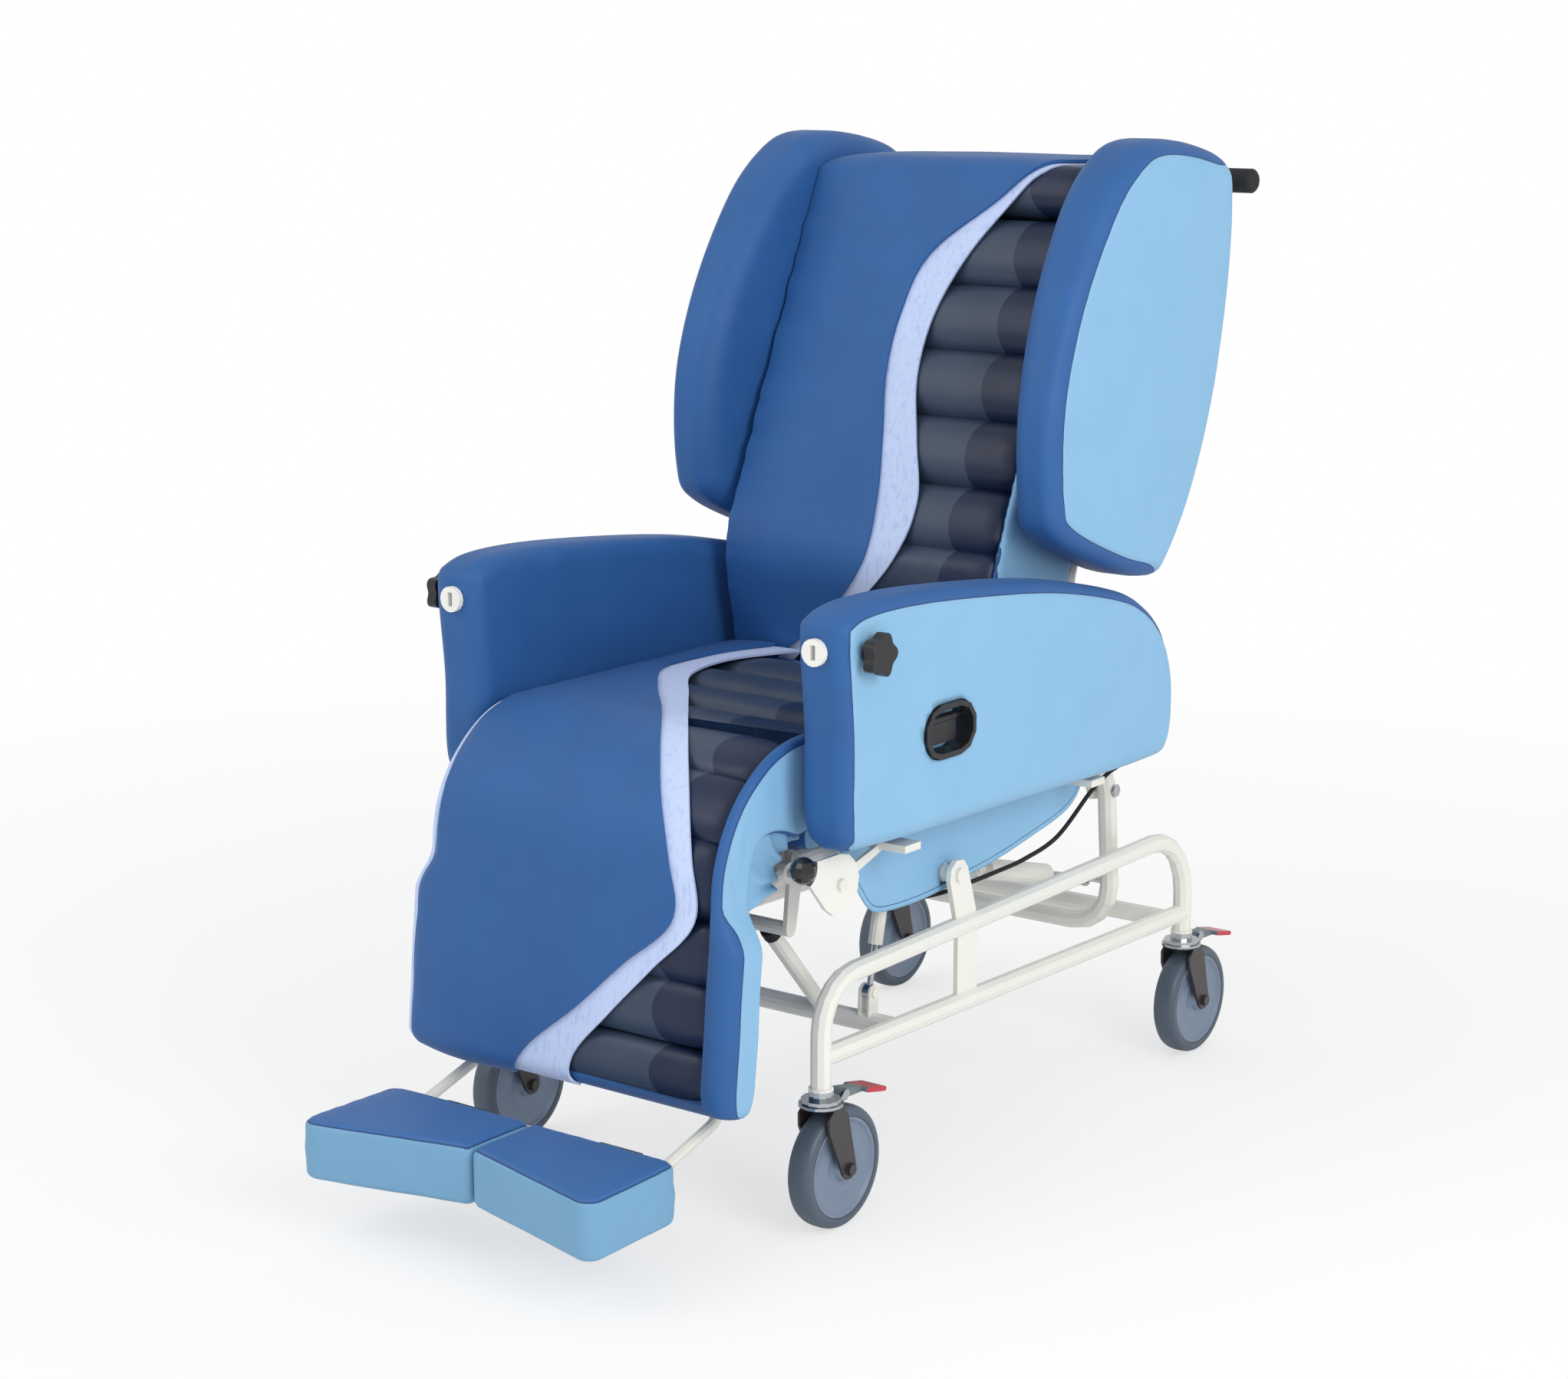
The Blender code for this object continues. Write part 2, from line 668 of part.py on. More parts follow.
def make_base(coat, rubber):
    corners = [at(TRACK_HALF, -STEM_Y, LEG_FOOT_Z), at(TRACK_HALF, -STEM_Y, RAIL_FRONT_Z),
               at(TRACK_HALF, STEM_Y, RAIL_REAR_Z), at(TRACK_HALF, STEM_Y, LEG_FOOT_Z)]
    arch = tube("arch", rounded(corners, (FRONT_BEND_R, REAR_BEND_R)), BASE_TUBE_R)
    rail = tube("rail", [at(TRACK_HALF, -STEM_Y, LOWER_RAIL_FRONT_Z),
                         at(TRACK_HALF, STEM_Y, LOWER_RAIL_REAR_Z)], BASE_TUBE_R)
    top = rail_height(UPRIGHT_Y)
    low = lower_rail_height(UPRIGHT_Y)
    half = UPRIGHT_W / 2
    upright = plate("upright", [[at(UPRIGHT_Y - half, low, 0), at(UPRIGHT_Y + half, low, 0),
                                 at(UPRIGHT_Y + half, top, 0), at(UPRIGHT_Y - half, top, 0)]],
                    UPRIGHT_T, SIDE_ON, TRACK_HALF)
    bracket = lug("bracket", ((UPRIGHT_Y, top, half), (TILT_Y, TILT_Z, BRACKET_EYE_R)),
                  UPRIGHT_T + GAP, TRACK_HALF)
    outer = TRACK_HALF + UPRIGHT_T / 2 + GAP
    inner = SEAT_RAIL_X + SEAT_RAIL_R + OVERRUN
    pin = across("pin", TILT_Y, TILT_Z, inner, outer + TILT_CAP_T / 2, TILT_PIN_R)
    cap = across("cap", TILT_Y, TILT_Z, outer, outer + TILT_CAP_T, TILT_CAP_R)
    side = union(arch, rail, upright, bracket, pin, cap)

    front_z = lower_rail_height(FRONT_CROSS_Y)
    rear_z = lower_rail_height(REAR_CROSS_Y)
    front = across("front", FRONT_CROSS_Y, front_z, -TRACK_HALF, TRACK_HALF, BASE_TUBE_R)
    rear = across("rear", REAR_CROSS_Y - BASE_TUBE_R, rear_z, -TRACK_HALF, TRACK_HALF, BASE_TUBE_R)
    pieces = [side, mirrored(side), front, rear]
    for side_x in (-STOP_STRUT_X, STOP_STRUT_X):
        pieces.append(rod("stop_strut", at(side_x, FRONT_CROSS_Y, front_z),
                          at(side_x, BUFFER_Y, BUFFER_Z), STOP_STRUT_R))
    pieces += spring_lugs(FRONT_CROSS_Y, front_z, STRUT_LUG_R - GAP, STRUT_X, STRUT_LOW_Y, STRUT_LOW_Z)
    pieces.append(spring_pin("low_pin", STRUT_X, STRUT_LOW_Y, STRUT_LOW_Z))

    top = LEG_FOOT_Z + WELD_DEPTH
    seat = CROWN_Z + CROWN_T + GAP
    under = CROWN_Z - GAP
    profile = [(0, top), (COLLAR_R, top), (COLLAR_R, seat + RACE_T), (RACE_R, seat + RACE_T),
               (RACE_R, seat), (KING_PIN_R, seat), (KING_PIN_R, under), (KING_HEAD_R, under),
               (KING_HEAD_R, under - KING_HEAD_T), (0, under - KING_HEAD_T)]
    pieces += [moved(turned("stem", profile, PIN_STEPS), place) for place in CASTORS.values()]
    keep(union(*pieces), "base_frame", coat, "base")

    along = (at(0, BUFFER_Y, BUFFER_Z) - at(0, FRONT_CROSS_Y, front_z)).normalized()
    for side_name, side_x in (("right", -STOP_STRUT_X), ("left", STOP_STRUT_X)):
        start = at(side_x, BUFFER_Y, BUFFER_Z) + along * GAP
        buffer = rod("buffer", start, start + along * BUFFER_T, BUFFER_R)
        keep(buffer, "seat_stop_buffer_" + side_name, rubber, "base")


def spring_pin(name, x, y, z):
    """A gas spring's pivot pin with a head at each end, between its two lugs."""
    half = STRUT_EYE_T / 2 + GAP + STRUT_LUG_T
    return union(across(name, y, z, x - half, x + half, STRUT_PIN_R),
                 across("head", y, z, x - half - STRUT_PIN_HEAD_T, x - half + STRUT_LUG_T / 2,
                        STRUT_PIN_HEAD_R),
                 across("head", y, z, x + half - STRUT_LUG_T / 2, x + half + STRUT_PIN_HEAD_T,
                        STRUT_PIN_HEAD_R))


def make_castor(corner, finishes):
    place = CASTORS[corner]
    fork_look, wheel_look, pedal_look = finishes
    inner = HUB_W / 2 + RUNNING_GAP
    body("castor_" + corner, "base", place)
    body("wheel_" + corner, "castor_" + corner, place + at(0, CASTOR_TRAIL, WHEEL_R))
    body("pedal_" + corner, "castor_" + corner, place + at(0, PEDAL_HINGE_Y, PEDAL_HINGE_Z))

    crown = rod("crown", at(0, 0, CROWN_Z), at(0, 0, CROWN_Z + CROWN_T), CROWN_R, ROUND_STEPS)
    pieces = [crown]
    shoulder_z = CROWN_Z + CROWN_T / 2 - FORK_SHOULDER_R
    for side in (-1, 1):
        pieces.append(lug("leg", ((FORK_SHOULDER_Y, shoulder_z, FORK_SHOULDER_R),
                                  (CASTOR_TRAIL, WHEEL_R, FORK_EYE_R)), FORK_T,
                          side * (inner + FORK_T / 2)))
        ear_x = side * (PEDAL_W / 4 + GAP + FORK_T / 2)
        ear_foot = (CROWN_R - CROWN_T, CROWN_Z + CROWN_T / 2, CROWN_T / 2)
        pieces.append(lug("ear", (ear_foot, (PEDAL_HINGE_Y, PEDAL_HINGE_Z, PEDAL_EAR_R)), FORK_T, ear_x))
    fork = cut(union(*pieces),
               rod("bore", at(0, 0, CROWN_Z - OVERRUN), at(0, 0, CROWN_Z + OVERRUN), KING_PIN_R + GAP,
                   ROUND_STEPS))
    reach = inner + FORK_T
    axle = across("axle", CASTOR_TRAIL, WHEEL_R, -reach, reach, AXLE_R)
    heads = [across("head", CASTOR_TRAIL, WHEEL_R, side * (reach - FORK_T / 2), side * (reach + AXLE_HEAD_T),
                    AXLE_HEAD_R, 6) for side in (-1, 1)]
    pedal_reach = PEDAL_W / 4 + GAP + FORK_T
    pin = across("pin", PEDAL_HINGE_Y, PEDAL_HINGE_Z, -pedal_reach, pedal_reach, PEDAL_PIN_R)
    fork = union(fork, axle, *heads, pin)
    keep(moved(fork, place), "castor_fork_" + corner, fork_look, "castor_" + corner)

    rim = WHEEL_R / math.cos(math.pi / ROUND_STEPS)
    half = WHEEL_W / 2
    face = half - DISC_DEPTH
    bore = AXLE_R + RUNNING_GAP
    profile = [(bore, HUB_W / 2), (HUB_R, HUB_W / 2), (HUB_R, face), (DISC_R, face), (DISC_R, half),
               (rim - TREAD_EDGE, half), (rim, half - TREAD_EDGE)]
    profile += [(radius, -height) for radius, height in reversed(profile)]
    wheel = turned("wheel", profile, closed=True)
    turn = Matrix.Rotation(math.pi / ROUND_STEPS, 4, "Z")
    wheel.data.transform(Matrix.Translation(place + at(0, CASTOR_TRAIL, WHEEL_R)) @ SIDE_ON @ turn)
    keep(wheel, "castor_wheel_" + corner, wheel_look, "wheel_" + corner)

    tip = at(PEDAL_TIP_Y, PEDAL_TIP_Z, 0)
    root = at(PEDAL_HINGE_Y, PEDAL_HINGE_Z + PEDAL_HUB_R / 2, 0)
    middle = root.lerp(tip, 0.5)
    arm = plate("arm", [link((PEDAL_HINGE_Y, PEDAL_HINGE_Z), PEDAL_HUB_R, (middle.x, middle.y),
                             PEDAL_TIP_R)], PEDAL_W / 2)
    toe = plate("toe", [link((middle.x, middle.y), PEDAL_TIP_R, (tip.x - PEDAL_TIP_R, tip.y), PEDAL_TIP_R)],
                PEDAL_W)
    pedal = cut(union(arm, toe), across("hole", PEDAL_HINGE_Y, PEDAL_HINGE_Z, -PEDAL_W, PEDAL_W,
                                        PEDAL_PIN_R + GAP))
    keep(moved(pedal, place), "castor_pedal_" + corner, pedal_look, "pedal_" + corner)


CASTORS = {
    "front_left": at(TRACK_HALF, -STEM_Y, 0),
    "front_right": at(-TRACK_HALF, -STEM_Y, 0),
    "rear_left": at(TRACK_HALF, STEM_Y, 0),
    "rear_right": at(-TRACK_HALF, STEM_Y, 0),
}


class Line:
    """A skin line seen from the side, walked so that the padding lies on its left hand."""

    def __init__(self, points):
        self.points = [Vector((point[0], point[1])) for point in points]
        self.lengths = [0]
        self.normals = []
        for a, b in zip(self.points, self.points[1:]):
            self.lengths.append(self.lengths[-1] + (b - a).length)
        for before, after in zip(self.points[:1] + self.points, self.points[1:] + self.points[-1:]):
            along = (after - before).normalized()
            self.normals.append(Vector((along.y, -along.x)))

    def spot(self, length, depth):
        """The place that lies a depth under the skin, as (y, z)."""
        k = 0
        while k < len(self.points) - 2 and self.lengths[k + 1] < length:
            k += 1
        part = (length - self.lengths[k]) / (self.lengths[k + 1] - self.lengths[k])
        point = self.points[k].lerp(self.points[k + 1], part)
        return point - self.normals[k].lerp(self.normals[k + 1], part).normalized() * depth

    def rows(self, start, end):
        """Lengths for the rows of a panel: the line's own corners, with long stretches divided."""
        marks = [start] + [mark for mark in self.lengths if start + WELD < mark < end - WELD] + [end]
        found = [start]
        for a, b in zip(marks, marks[1:]):
            count = max(1, math.ceil((b - a) / ROW_STEP))
            found += [a + (b - a) * step / count for step in range(1, count + 1)]
        return found


def knee_point(radius, sweep):
    """A place round the legrest hinge, swept forward and down from straight above it."""
    return at(LEG_HINGE_Y - radius * math.sin(sweep), LEG_HINGE_Z + radius * math.cos(sweep), 0)


def skin_lines():
    """The backrest's skin line, and the one that runs over the seat, the knee and the legrest."""
    lean_top = LUMBAR_Y + (BACK_TOP_Z - LUMBAR_Z) * math.tan(BACK_LEAN)
    back = rounded([at(BACK_TOP_REAR_Y, BACK_TOP_Z, 0), at(lean_top, BACK_TOP_Z, 0),
                    at(LUMBAR_Y, LUMBAR_Z, 0), at(BACK_FOOT_Y, BACK_FOOT_Z, 0)], (BACK_TOP_R, LUMBAR_R))
    turn = math.pi / 2 - SHIN_LEAN
    knee = [knee_point(KNEE_R, turn * step / KNEE_STEPS) for step in range(KNEE_STEPS + 1)]
    joint = knee_point(KNEE_JOINT_R, KNEE_SWEEP)
    drop = (joint.y - LEGREST_FOOT_Z) * math.tan(SHIN_LEAN)
    shin = rounded([joint, at(joint.x - drop, LEGREST_FOOT_Z, 0),
                    at(joint.x - drop + SHIN_T - GAP, LEGREST_FOOT_Z, 0)], (LEGREST_FOOT_R,))
    return Line(back), Line([at(SEAT_REAR_Y, SEAT_TOP_Z, 0)] + knee + shin)


def share_of(table, part):
    """A value between the entries of a table that is spread evenly along a panel."""
    place = min(max(part, 0), 1) * (len(table) - 1)
    k = min(int(place), len(table) - 2)
    return table[k] + (table[k + 1] - table[k]) * (place - k)


def seat_half(spot):
    return SEAT_HALF_W


def back_half(spot):
    return BACK_HALF_W


def shin_half(spot):
    """The legrest is wider than the seat, and narrows to it under the arms."""
    part = (spot.y - SHIN_WIDE_Z) / (SHIN_NARROW_Z - SHIN_WIDE_Z)
    return SHIN_HALF_W + (SEAT_HALF_W - SHIN_HALF_W) * min(max(part, 0), 1)


def crown(x, half):
    """How far the skin drops towards a panel's sides."""
    return CROWN * max(0, abs(x) / half - CROWN_SHARE) / (1 - CROWN_SHARE)


def panel_sheet(name, line, span, half_at, shares, depth, thickness):
    """A layer of a panel, from its right side as far as its cut edge."""
    rings = []
    for length in line.rows(*span):
        half = half_at(line.spot(length, 0))
        edge = share_of(shares, (length - span[0]) / (span[1] - span[0])) * half
        knot = CROWN_SHARE * half
        last = min(edge - thickness, knot)
        places = [-half, -knot, -knot + (last + knot) / 2, last, edge]
        upper = [(x, line.spot(length, depth + crown(x, half))) for x in places]
        lower = [(x, line.spot(length, depth + thickness + crown(x, half))) for x in reversed(places)]
        rings.append([at(x, spot.x, spot.y) for x, spot in upper + lower])
    return loft(name, rings)


def cell(line, start, end, half_cell, half_w, depth, deep):
    """One air cell: a bar across the panel with rounded edges and drawn-in ends."""
    middle = (start + end) / 2
    reach = (end - start + CELL_SEAM) / 2
    stations = []
    for x, drawn in ((-half_cell, CELL_END), (-half_cell + CELL_END / 2, CELL_END / 3),
                     (-CROWN_SHARE * half_w, 0), (CROWN_SHARE * half_w, 0),
                     (half_cell - CELL_END / 2, CELL_END / 3), (half_cell, CELL_END)):
        stations.append((x, drawn, crown(x, half_w)))
    rings = []
    for x, drawn, drop in stations:
        ring = []
        corner = min(CELL_CORNER, (deep / 2 - drawn) * CELL_CORNER_MOST)
        for along, down, first in ((1, 1, 0), (-1, 1, 1), (-1, -1, 2), (1, -1, 3)):
            for step in range(3):
                angle = (first + step / 2) * math.pi / 2
                u = along * (reach - drawn - corner) + corner * math.cos(angle)
                v = down * (deep / 2 - drawn - corner) + corner * math.sin(angle)
                spot = line.spot(middle + u, depth + deep / 2 - v + drop)
                ring.append(at(x, spot.x, spot.y))
        rings.append(ring)
    return loft("cell", rings)


def cell_row(line, span, pitch, half_cell, half_w, deep):
    """A row of air cells along a panel, joined at their seams."""
    depth = COVER_T + LAYER_GAP + LAYER_T + CELL_SLACK
    start, end = span
    count = round((end - start) / pitch)
    step = (end - start) / count
    return union(*[cell(line, start + step * k, start + step * (k + 1), half_cell, half_w, depth, deep)
                   for k in range(count)])


def make_panel(name, body_name, line, span, half_at, tables, looks):
    cover_shares, layer_shares = tables
    cover_look, layer_look = looks
    cover = panel_sheet("cover", line, span, half_at, cover_shares, 0, COVER_T)
    keep(cover, name + "_cover", cover_look, body_name)
    layer = panel_sheet("layer", line, span, half_at, layer_shares, COVER_T + LAYER_GAP, LAYER_T)
    keep(layer, name + "_layer", layer_look, body_name)


def make_cushions(lines, looks):
    cover_look, layer_look, cell_look, casing_look = looks
    back, seat = lines
    sheets = (cover_look, layer_look)
    rim = COVER_T + LAYER_GAP + LAYER_T + CROWN + GAP
    floor = COVER_T + LAYER_GAP + LAYER_T + CELL_SLACK + CROWN + CELL_DEPTH
    shin_floor = floor - CELL_DEPTH + SHIN_CELL_DEPTH

    make_panel("back", "backrest", back, (0, back.lengths[-1]), back_half,
               (BACK_COVER_EDGE_SHARES, BACK_LAYER_EDGE_SHARES), sheets)
    start = back.lengths[BEND_STEPS + 1] + CELL_CORNER
    end = back.lengths[-1] - CELL_CORNER
    cells = cell_row(back, (start, end), CELL_PITCH, BACK_CELL_HALF, BACK_HALF_W, CELL_DEPTH)
    keep(cells, "back_cells", cell_look, "backrest")
    front = [back.spot(mark, rim) for mark in back.rows(0, back.lengths[-1])]
    lean = Vector((math.sin(BACK_LEAN), math.cos(BACK_LEAN)))
    bend = Vector((BACK_KNEE_Y, BACK_KNEE_Z))
    upper = bend + Vector((-lean.y, lean.x)) * (BACK_TUBE_R + GAP)
    top_rear = upper + lean * ((BACK_BEND_Z - BACK_KNEE_Z) / lean.y)
    down = (Vector((RECLINE_Y, RECLINE_Z)) - bend).normalized()
    lower = bend + Vector((down.y, -down.x)) * (BACK_TUBE_R + GAP)
    foot_rear = lower + down * ((lower.y - BACK_FOOT_Z) / -down.y)
    casing = plate("casing", [front + [foot_rear, lower, upper, top_rear]], BACK_HALF_W * 2)
    marks = back.rows(start - CELL_SEAM, end + CELL_SEAM)
    inner = [back.spot(mark, floor) for mark in marks]
    outer = [back.spot(mark, -OVERRUN) for mark in reversed(marks)]
    casing = cut(casing, plate("recess", [inner + outer], (BACK_CELL_HALF + GAP) * 2))
    keep(casing, "back_casing", casing_look, "backrest")

    seat_end = seat.lengths[1]
    knee_end = seat.lengths[KNEE_STEPS + 2]
    foot = seat.lengths[KNEE_STEPS + 3]
    make_panel("seat", "seat", seat, (0, seat_end - GAP), seat_half,
               (SEAT_COVER_EDGE_SHARES, SEAT_LAYER_EDGE_SHARES), sheets)
    span = (CELL_CORNER, seat_end - CELL_SEAM)
    keep(cell_row(seat, span, CELL_PITCH, SEAT_CELL_HALF, SEAT_HALF_W, CELL_DEPTH), "seat_cells",
         cell_look, "seat")
    front_y = LEG_HINGE_Y + GAP
    casing = box("casing", (-SEAT_HALF_W, front_y, SEAT_CASING_Z), (SEAT_HALF_W, SEAT_REAR_Y, SEAT_TOP_Z - rim))
    recess = box("recess", (-SEAT_CELL_HALF - GAP, front_y - OVERRUN, SEAT_TOP_Z - floor),
                 (SEAT_CELL_HALF + GAP, SEAT_REAR_Y - CELL_CORNER + CELL_SEAM, SEAT_TOP_Z))
    keep(cut(casing, recess), "seat_casing", casing_look, "seat")

    make_panel("knee", "seat", seat, (seat_end, knee_end - GAP), shin_half,
               (KNEE_COVER_EDGE_SHARES, KNEE_LAYER_EDGE_SHARES), sheets)
    span = (seat_end + CELL_SEAM, knee_end - CELL_SEAM)
    cells = cell_row(seat, span, KNEE_CELL_PITCH, KNEE_CELL_HALF, SEAT_HALF_W, KNEE_CELL_DEPTH)
    wedge = [knee_point(radius, KNEE_SWEEP) for radius in (KNEE_R / 4, KNEE_JOINT_R + OVERRUN)]
    wedge = [spot + at(0, GAP, 0) for spot in wedge] + [spot - at(0, SHIN_T, 0) for spot in reversed(wedge)]
    cells = cut(cells, plate("wedge", [wedge], SHIN_HALF_W * 2))
    keep(cells, "knee_cells", cell_look, "seat")

    make_panel("legrest", "legrest", seat, (knee_end, seat.lengths[-1]), shin_half,
               (SHIN_COVER_EDGE_SHARES, SHIN_LAYER_EDGE_SHARES), sheets)
    span = (knee_end + CELL_SEAM, foot - CELL_CORNER / 2)
    keep(cell_row(seat, span, SHIN_CELL_PITCH, SHIN_CELL_HALF, SHIN_HALF_W, SHIN_CELL_DEPTH), "legrest_cells",
         cell_look, "legrest")
    recess = [seat.spot(mark, depth) for mark, depth in ((knee_end, floor - CELL_DEPTH + SHIN_CELL_DEPTH),
                                                         (span[1] + CELL_SEAM, shin_floor),
                                                         (span[1] + CELL_SEAM, -OVERRUN), (knee_end, -OVERRUN))]
    above = Vector((0, SHIN_T))
    recess += [recess[-1] + above, recess[0] + above]
    make_legrest_casing(rim, recess, casing_look)


def make_legrest_casing(rim, recess, casing_look):
    """The legrest's tray: wide below, narrowed to the seat's width where it passes the arms."""
    joint = knee_point(KNEE_JOINT_R, KNEE_SWEEP)
    front = knee_point(KNEE_JOINT_R - rim, KNEE_SWEEP)
    rear = knee_point(KNEE_JOINT_R - SHIN_T, KNEE_SWEEP)
    sections = [(SEAT_HALF_W, front - at(0, GAP, 0), rear - at(0, GAP, 0))]
    for height, near in ((SHIN_WIDE_Z, rim), (LEGREST_FOOT_Z + LEGREST_FOOT_R, rim),
                         (LEGREST_FOOT_Z + rim, LEGREST_FOOT_R)):
        skin = joint.x - (joint.y - height) * math.tan(SHIN_LEAN)
        sections.append((shin_half(at(0, height, 0)), at(skin + near / math.cos(SHIN_LEAN), height, 0),
                         at(skin + SHIN_T / math.cos(SHIN_LEAN), height, 0)))
    rings = [[at(-half, a.x, a.y), at(half, a.x, a.y), at(half, b.x, b.y), at(-half, b.x, b.y)]
             for half, a, b in sections]
    casing = cut(loft("casing", rings), plate("recess", [recess], (SHIN_CELL_HALF + GAP) * 2))
    keep(casing, "legrest_casing", casing_look, "legrest")


def spring_lugs(foot_y, foot_z, foot_r, x, y, z):
    """The two lugs that hold a gas spring's pin."""
    offset = STRUT_EYE_T / 2 + GAP + STRUT_LUG_T / 2
    return [lug("spring_lug", ((foot_y, foot_z, foot_r), (y, z, STRUT_LUG_R)), STRUT_LUG_T, x + side * offset)
            for side in (-1, 1)]


def make_seat_frame(coat, zinc):
    bar_top = SEAT_CASING_Z - GAP
    boss_end = TRACK_HALF - UPRIGHT_T / 2 - GAP * 2
    lug_x = SEAT_RAIL_X + SEAT_RAIL_R + GAP - PIVOT_LUG_T / 2
    hinge_x = SEAT_RAIL_X - SEAT_RAIL_R
    strut = (at(0, BUFFER_Y, BUFFER_Z) - at(0, FRONT_CROSS_Y, lower_rail_height(FRONT_CROSS_Y))).normalized()
    stop = at(0, BUFFER_Y, BUFFER_Z) + strut * (BUFFER_T + STOP_TUBE_R + GAP * 2)
    half = []
    half.append(rod("rail", at(SEAT_RAIL_X, RAIL_FRONT_Y, SEAT_RAIL_Z), at(SEAT_RAIL_X, RECLINE_Y, SEAT_RAIL_Z),
                    SEAT_RAIL_R))
    half.append(lug("tilt_lug", ((TILT_Y, SEAT_RAIL_Z, SEAT_RAIL_R + GAP), (TILT_Y, TILT_Z, PIVOT_LUG_R)),
                    PIVOT_LUG_T, lug_x))
    half.append(across("boss", TILT_Y, TILT_Z, lug_x, boss_end, TILT_BOSS_R, ROUND_STEPS))
    half.append(lug("recline_lug", ((RECLINE_Y - SEAT_RAIL_R, SEAT_RAIL_Z, SEAT_RAIL_R - GAP),
                                    (RECLINE_Y, RECLINE_Z, PIVOT_LUG_R)), PIVOT_LUG_T, lug_x))
    half.append(lug("hinge_lug", ((RAIL_FRONT_Y + SEAT_RAIL_R, SEAT_RAIL_Z, SEAT_RAIL_R - GAP),
                                  (LEG_HINGE_Y, LEG_HINGE_Z, LEG_HINGE_EYE_R)), PIVOT_LUG_T, hinge_x))
    half.append(lug("drop_plate", ((stop.y + DROP_PLATE_W / 2, SEAT_RAIL_Z, DROP_PLATE_W / 2),
                                   (stop.y, stop.z, STOP_TUBE_R + GAP)), DROP_PLATE_T, SEAT_RAIL_X))
    for y in (ARM_BAR_FRONT_Y, ARM_BAR_REAR_Y):
        half.append(box("arm_bar", (SEAT_RAIL_X, y - ARM_BAR_W / 2, bar_top - ARM_BAR_T),
                        (ARM_BAR_OUTER_X, y + ARM_BAR_W / 2, bar_top)))
    left = union(*half)
    right = mirrored(left)
    crosses = [across("cross", y, SEAT_RAIL_Z, -SEAT_RAIL_X, reach, SEAT_CROSS_R)
               for y, reach in ((CROSS_FRONT_Y, CROSS_OUTER_X), (CROSS_MID_Y, SEAT_RAIL_X),
                                (RECLINE_Y - PIVOT_LUG_R * 2, SEAT_RAIL_X))]
    stop_tube = across("stop", stop.y, stop.z, -SEAT_RAIL_X, SEAT_RAIL_X, STOP_TUBE_R)
    extra = spring_lugs(CROSS_FRONT_Y, SEAT_RAIL_Z, STRUT_LUG_R - GAP, STRUT_X, STRUT_HIGH_Y, STRUT_HIGH_Z)
    extra += spring_lugs(CROSS_MID_Y, SEAT_RAIL_Z, STRUT_LUG_R - GAP, RECLINE_STRUT_X, RECLINE_STRUT_FRONT_Y,
                         RECLINE_STRUT_FRONT_Z)
    extra.append(spring_pin("pin", STRUT_X, STRUT_HIGH_Y, STRUT_HIGH_Z))
    extra.append(spring_pin("pin", RECLINE_STRUT_X, RECLINE_STRUT_FRONT_Y, RECLINE_STRUT_FRONT_Z))
    lever_x = LEVER_PIVOT_X - LEVER_PLATE_T - GAP
    extra.append(lug("lever_bracket", ((ARM_BAR_FRONT_Y, bar_top - ARM_BAR_T / 2, ARM_BAR_T / 2),
                                       (LEVER_PIVOT_Y, LEVER_PIVOT_Z, LEVER_NUT_R)), LEVER_PLATE_T, lever_x))
    extra.append(union(across("bolt", LEVER_PIVOT_Y, LEVER_PIVOT_Z, lever_x,
                              LEVER_PIVOT_X + LEVER_PLATE_T / 2 + GAP * 2, LEVER_BOLT_R),
                       across("nut", LEVER_PIVOT_Y, LEVER_PIVOT_Z, LEVER_PIVOT_X + LEVER_PLATE_T / 2 + GAP,
                              LEVER_PIVOT_X + LEVER_PLATE_T / 2 + LEVER_NUT_T, LEVER_NUT_R, 6)))
    frame = union(left, right, *crosses, stop_tube, *extra)
    wide = TRACK_HALF
    bores = []
    for side in (-1, 1):
        bores.append(across("tilt", TILT_Y, TILT_Z, side * SEAT_RAIL_X, side * wide, TILT_PIN_R + GAP,
                            ROUND_STEPS))
    bores.append(across("hinge", LEG_HINGE_Y, LEG_HINGE_Z, -wide, wide, LEG_HINGE_ROD_R + GAP))
    bores.append(across("recline", RECLINE_Y, RECLINE_Z, -wide, wide, RECLINE_BOLT_R + GAP))
    keep(cut(frame, *bores), "seat_frame", coat, "seat")

    reach = LEG_TUBE_X + LEG_TUBE_R + OVERRUN
    keep(across("rod", LEG_HINGE_Y, LEG_HINGE_Z, -reach, reach, LEG_HINGE_ROD_R), "legrest_hinge_rod", zinc,
         "seat")
    inner = lug_x - PIVOT_LUG_T / 2 - GAP
    outer = RECLINE_X + BACK_TUBE_R + GAP
    bolt = union(across("bolt", RECLINE_Y, RECLINE_Z, inner - RECLINE_NUT_T / 2, outer + RECLINE_NUT_T / 2,
                        RECLINE_BOLT_R),
                 across("head", RECLINE_Y, RECLINE_Z, inner - RECLINE_NUT_T, inner, RECLINE_NUT_R, 6),
                 across("nut", RECLINE_Y, RECLINE_Z, outer, outer + RECLINE_NUT_T / 2, RECLINE_NUT_R, 6))
    keep_pair(bolt, "backrest_pivot_bolt", zinc, "seat")


def inset(outline, distance):
    """The outline drawn in by a distance."""
    drawn = []
    for before, spot, after in zip(outline[-1:] + outline, outline, outline[1:] + outline[:1]):
        along = (after - before).normalized()
        drawn.append(spot + at(-along.y, along.x, 0) * distance)
    return drawn


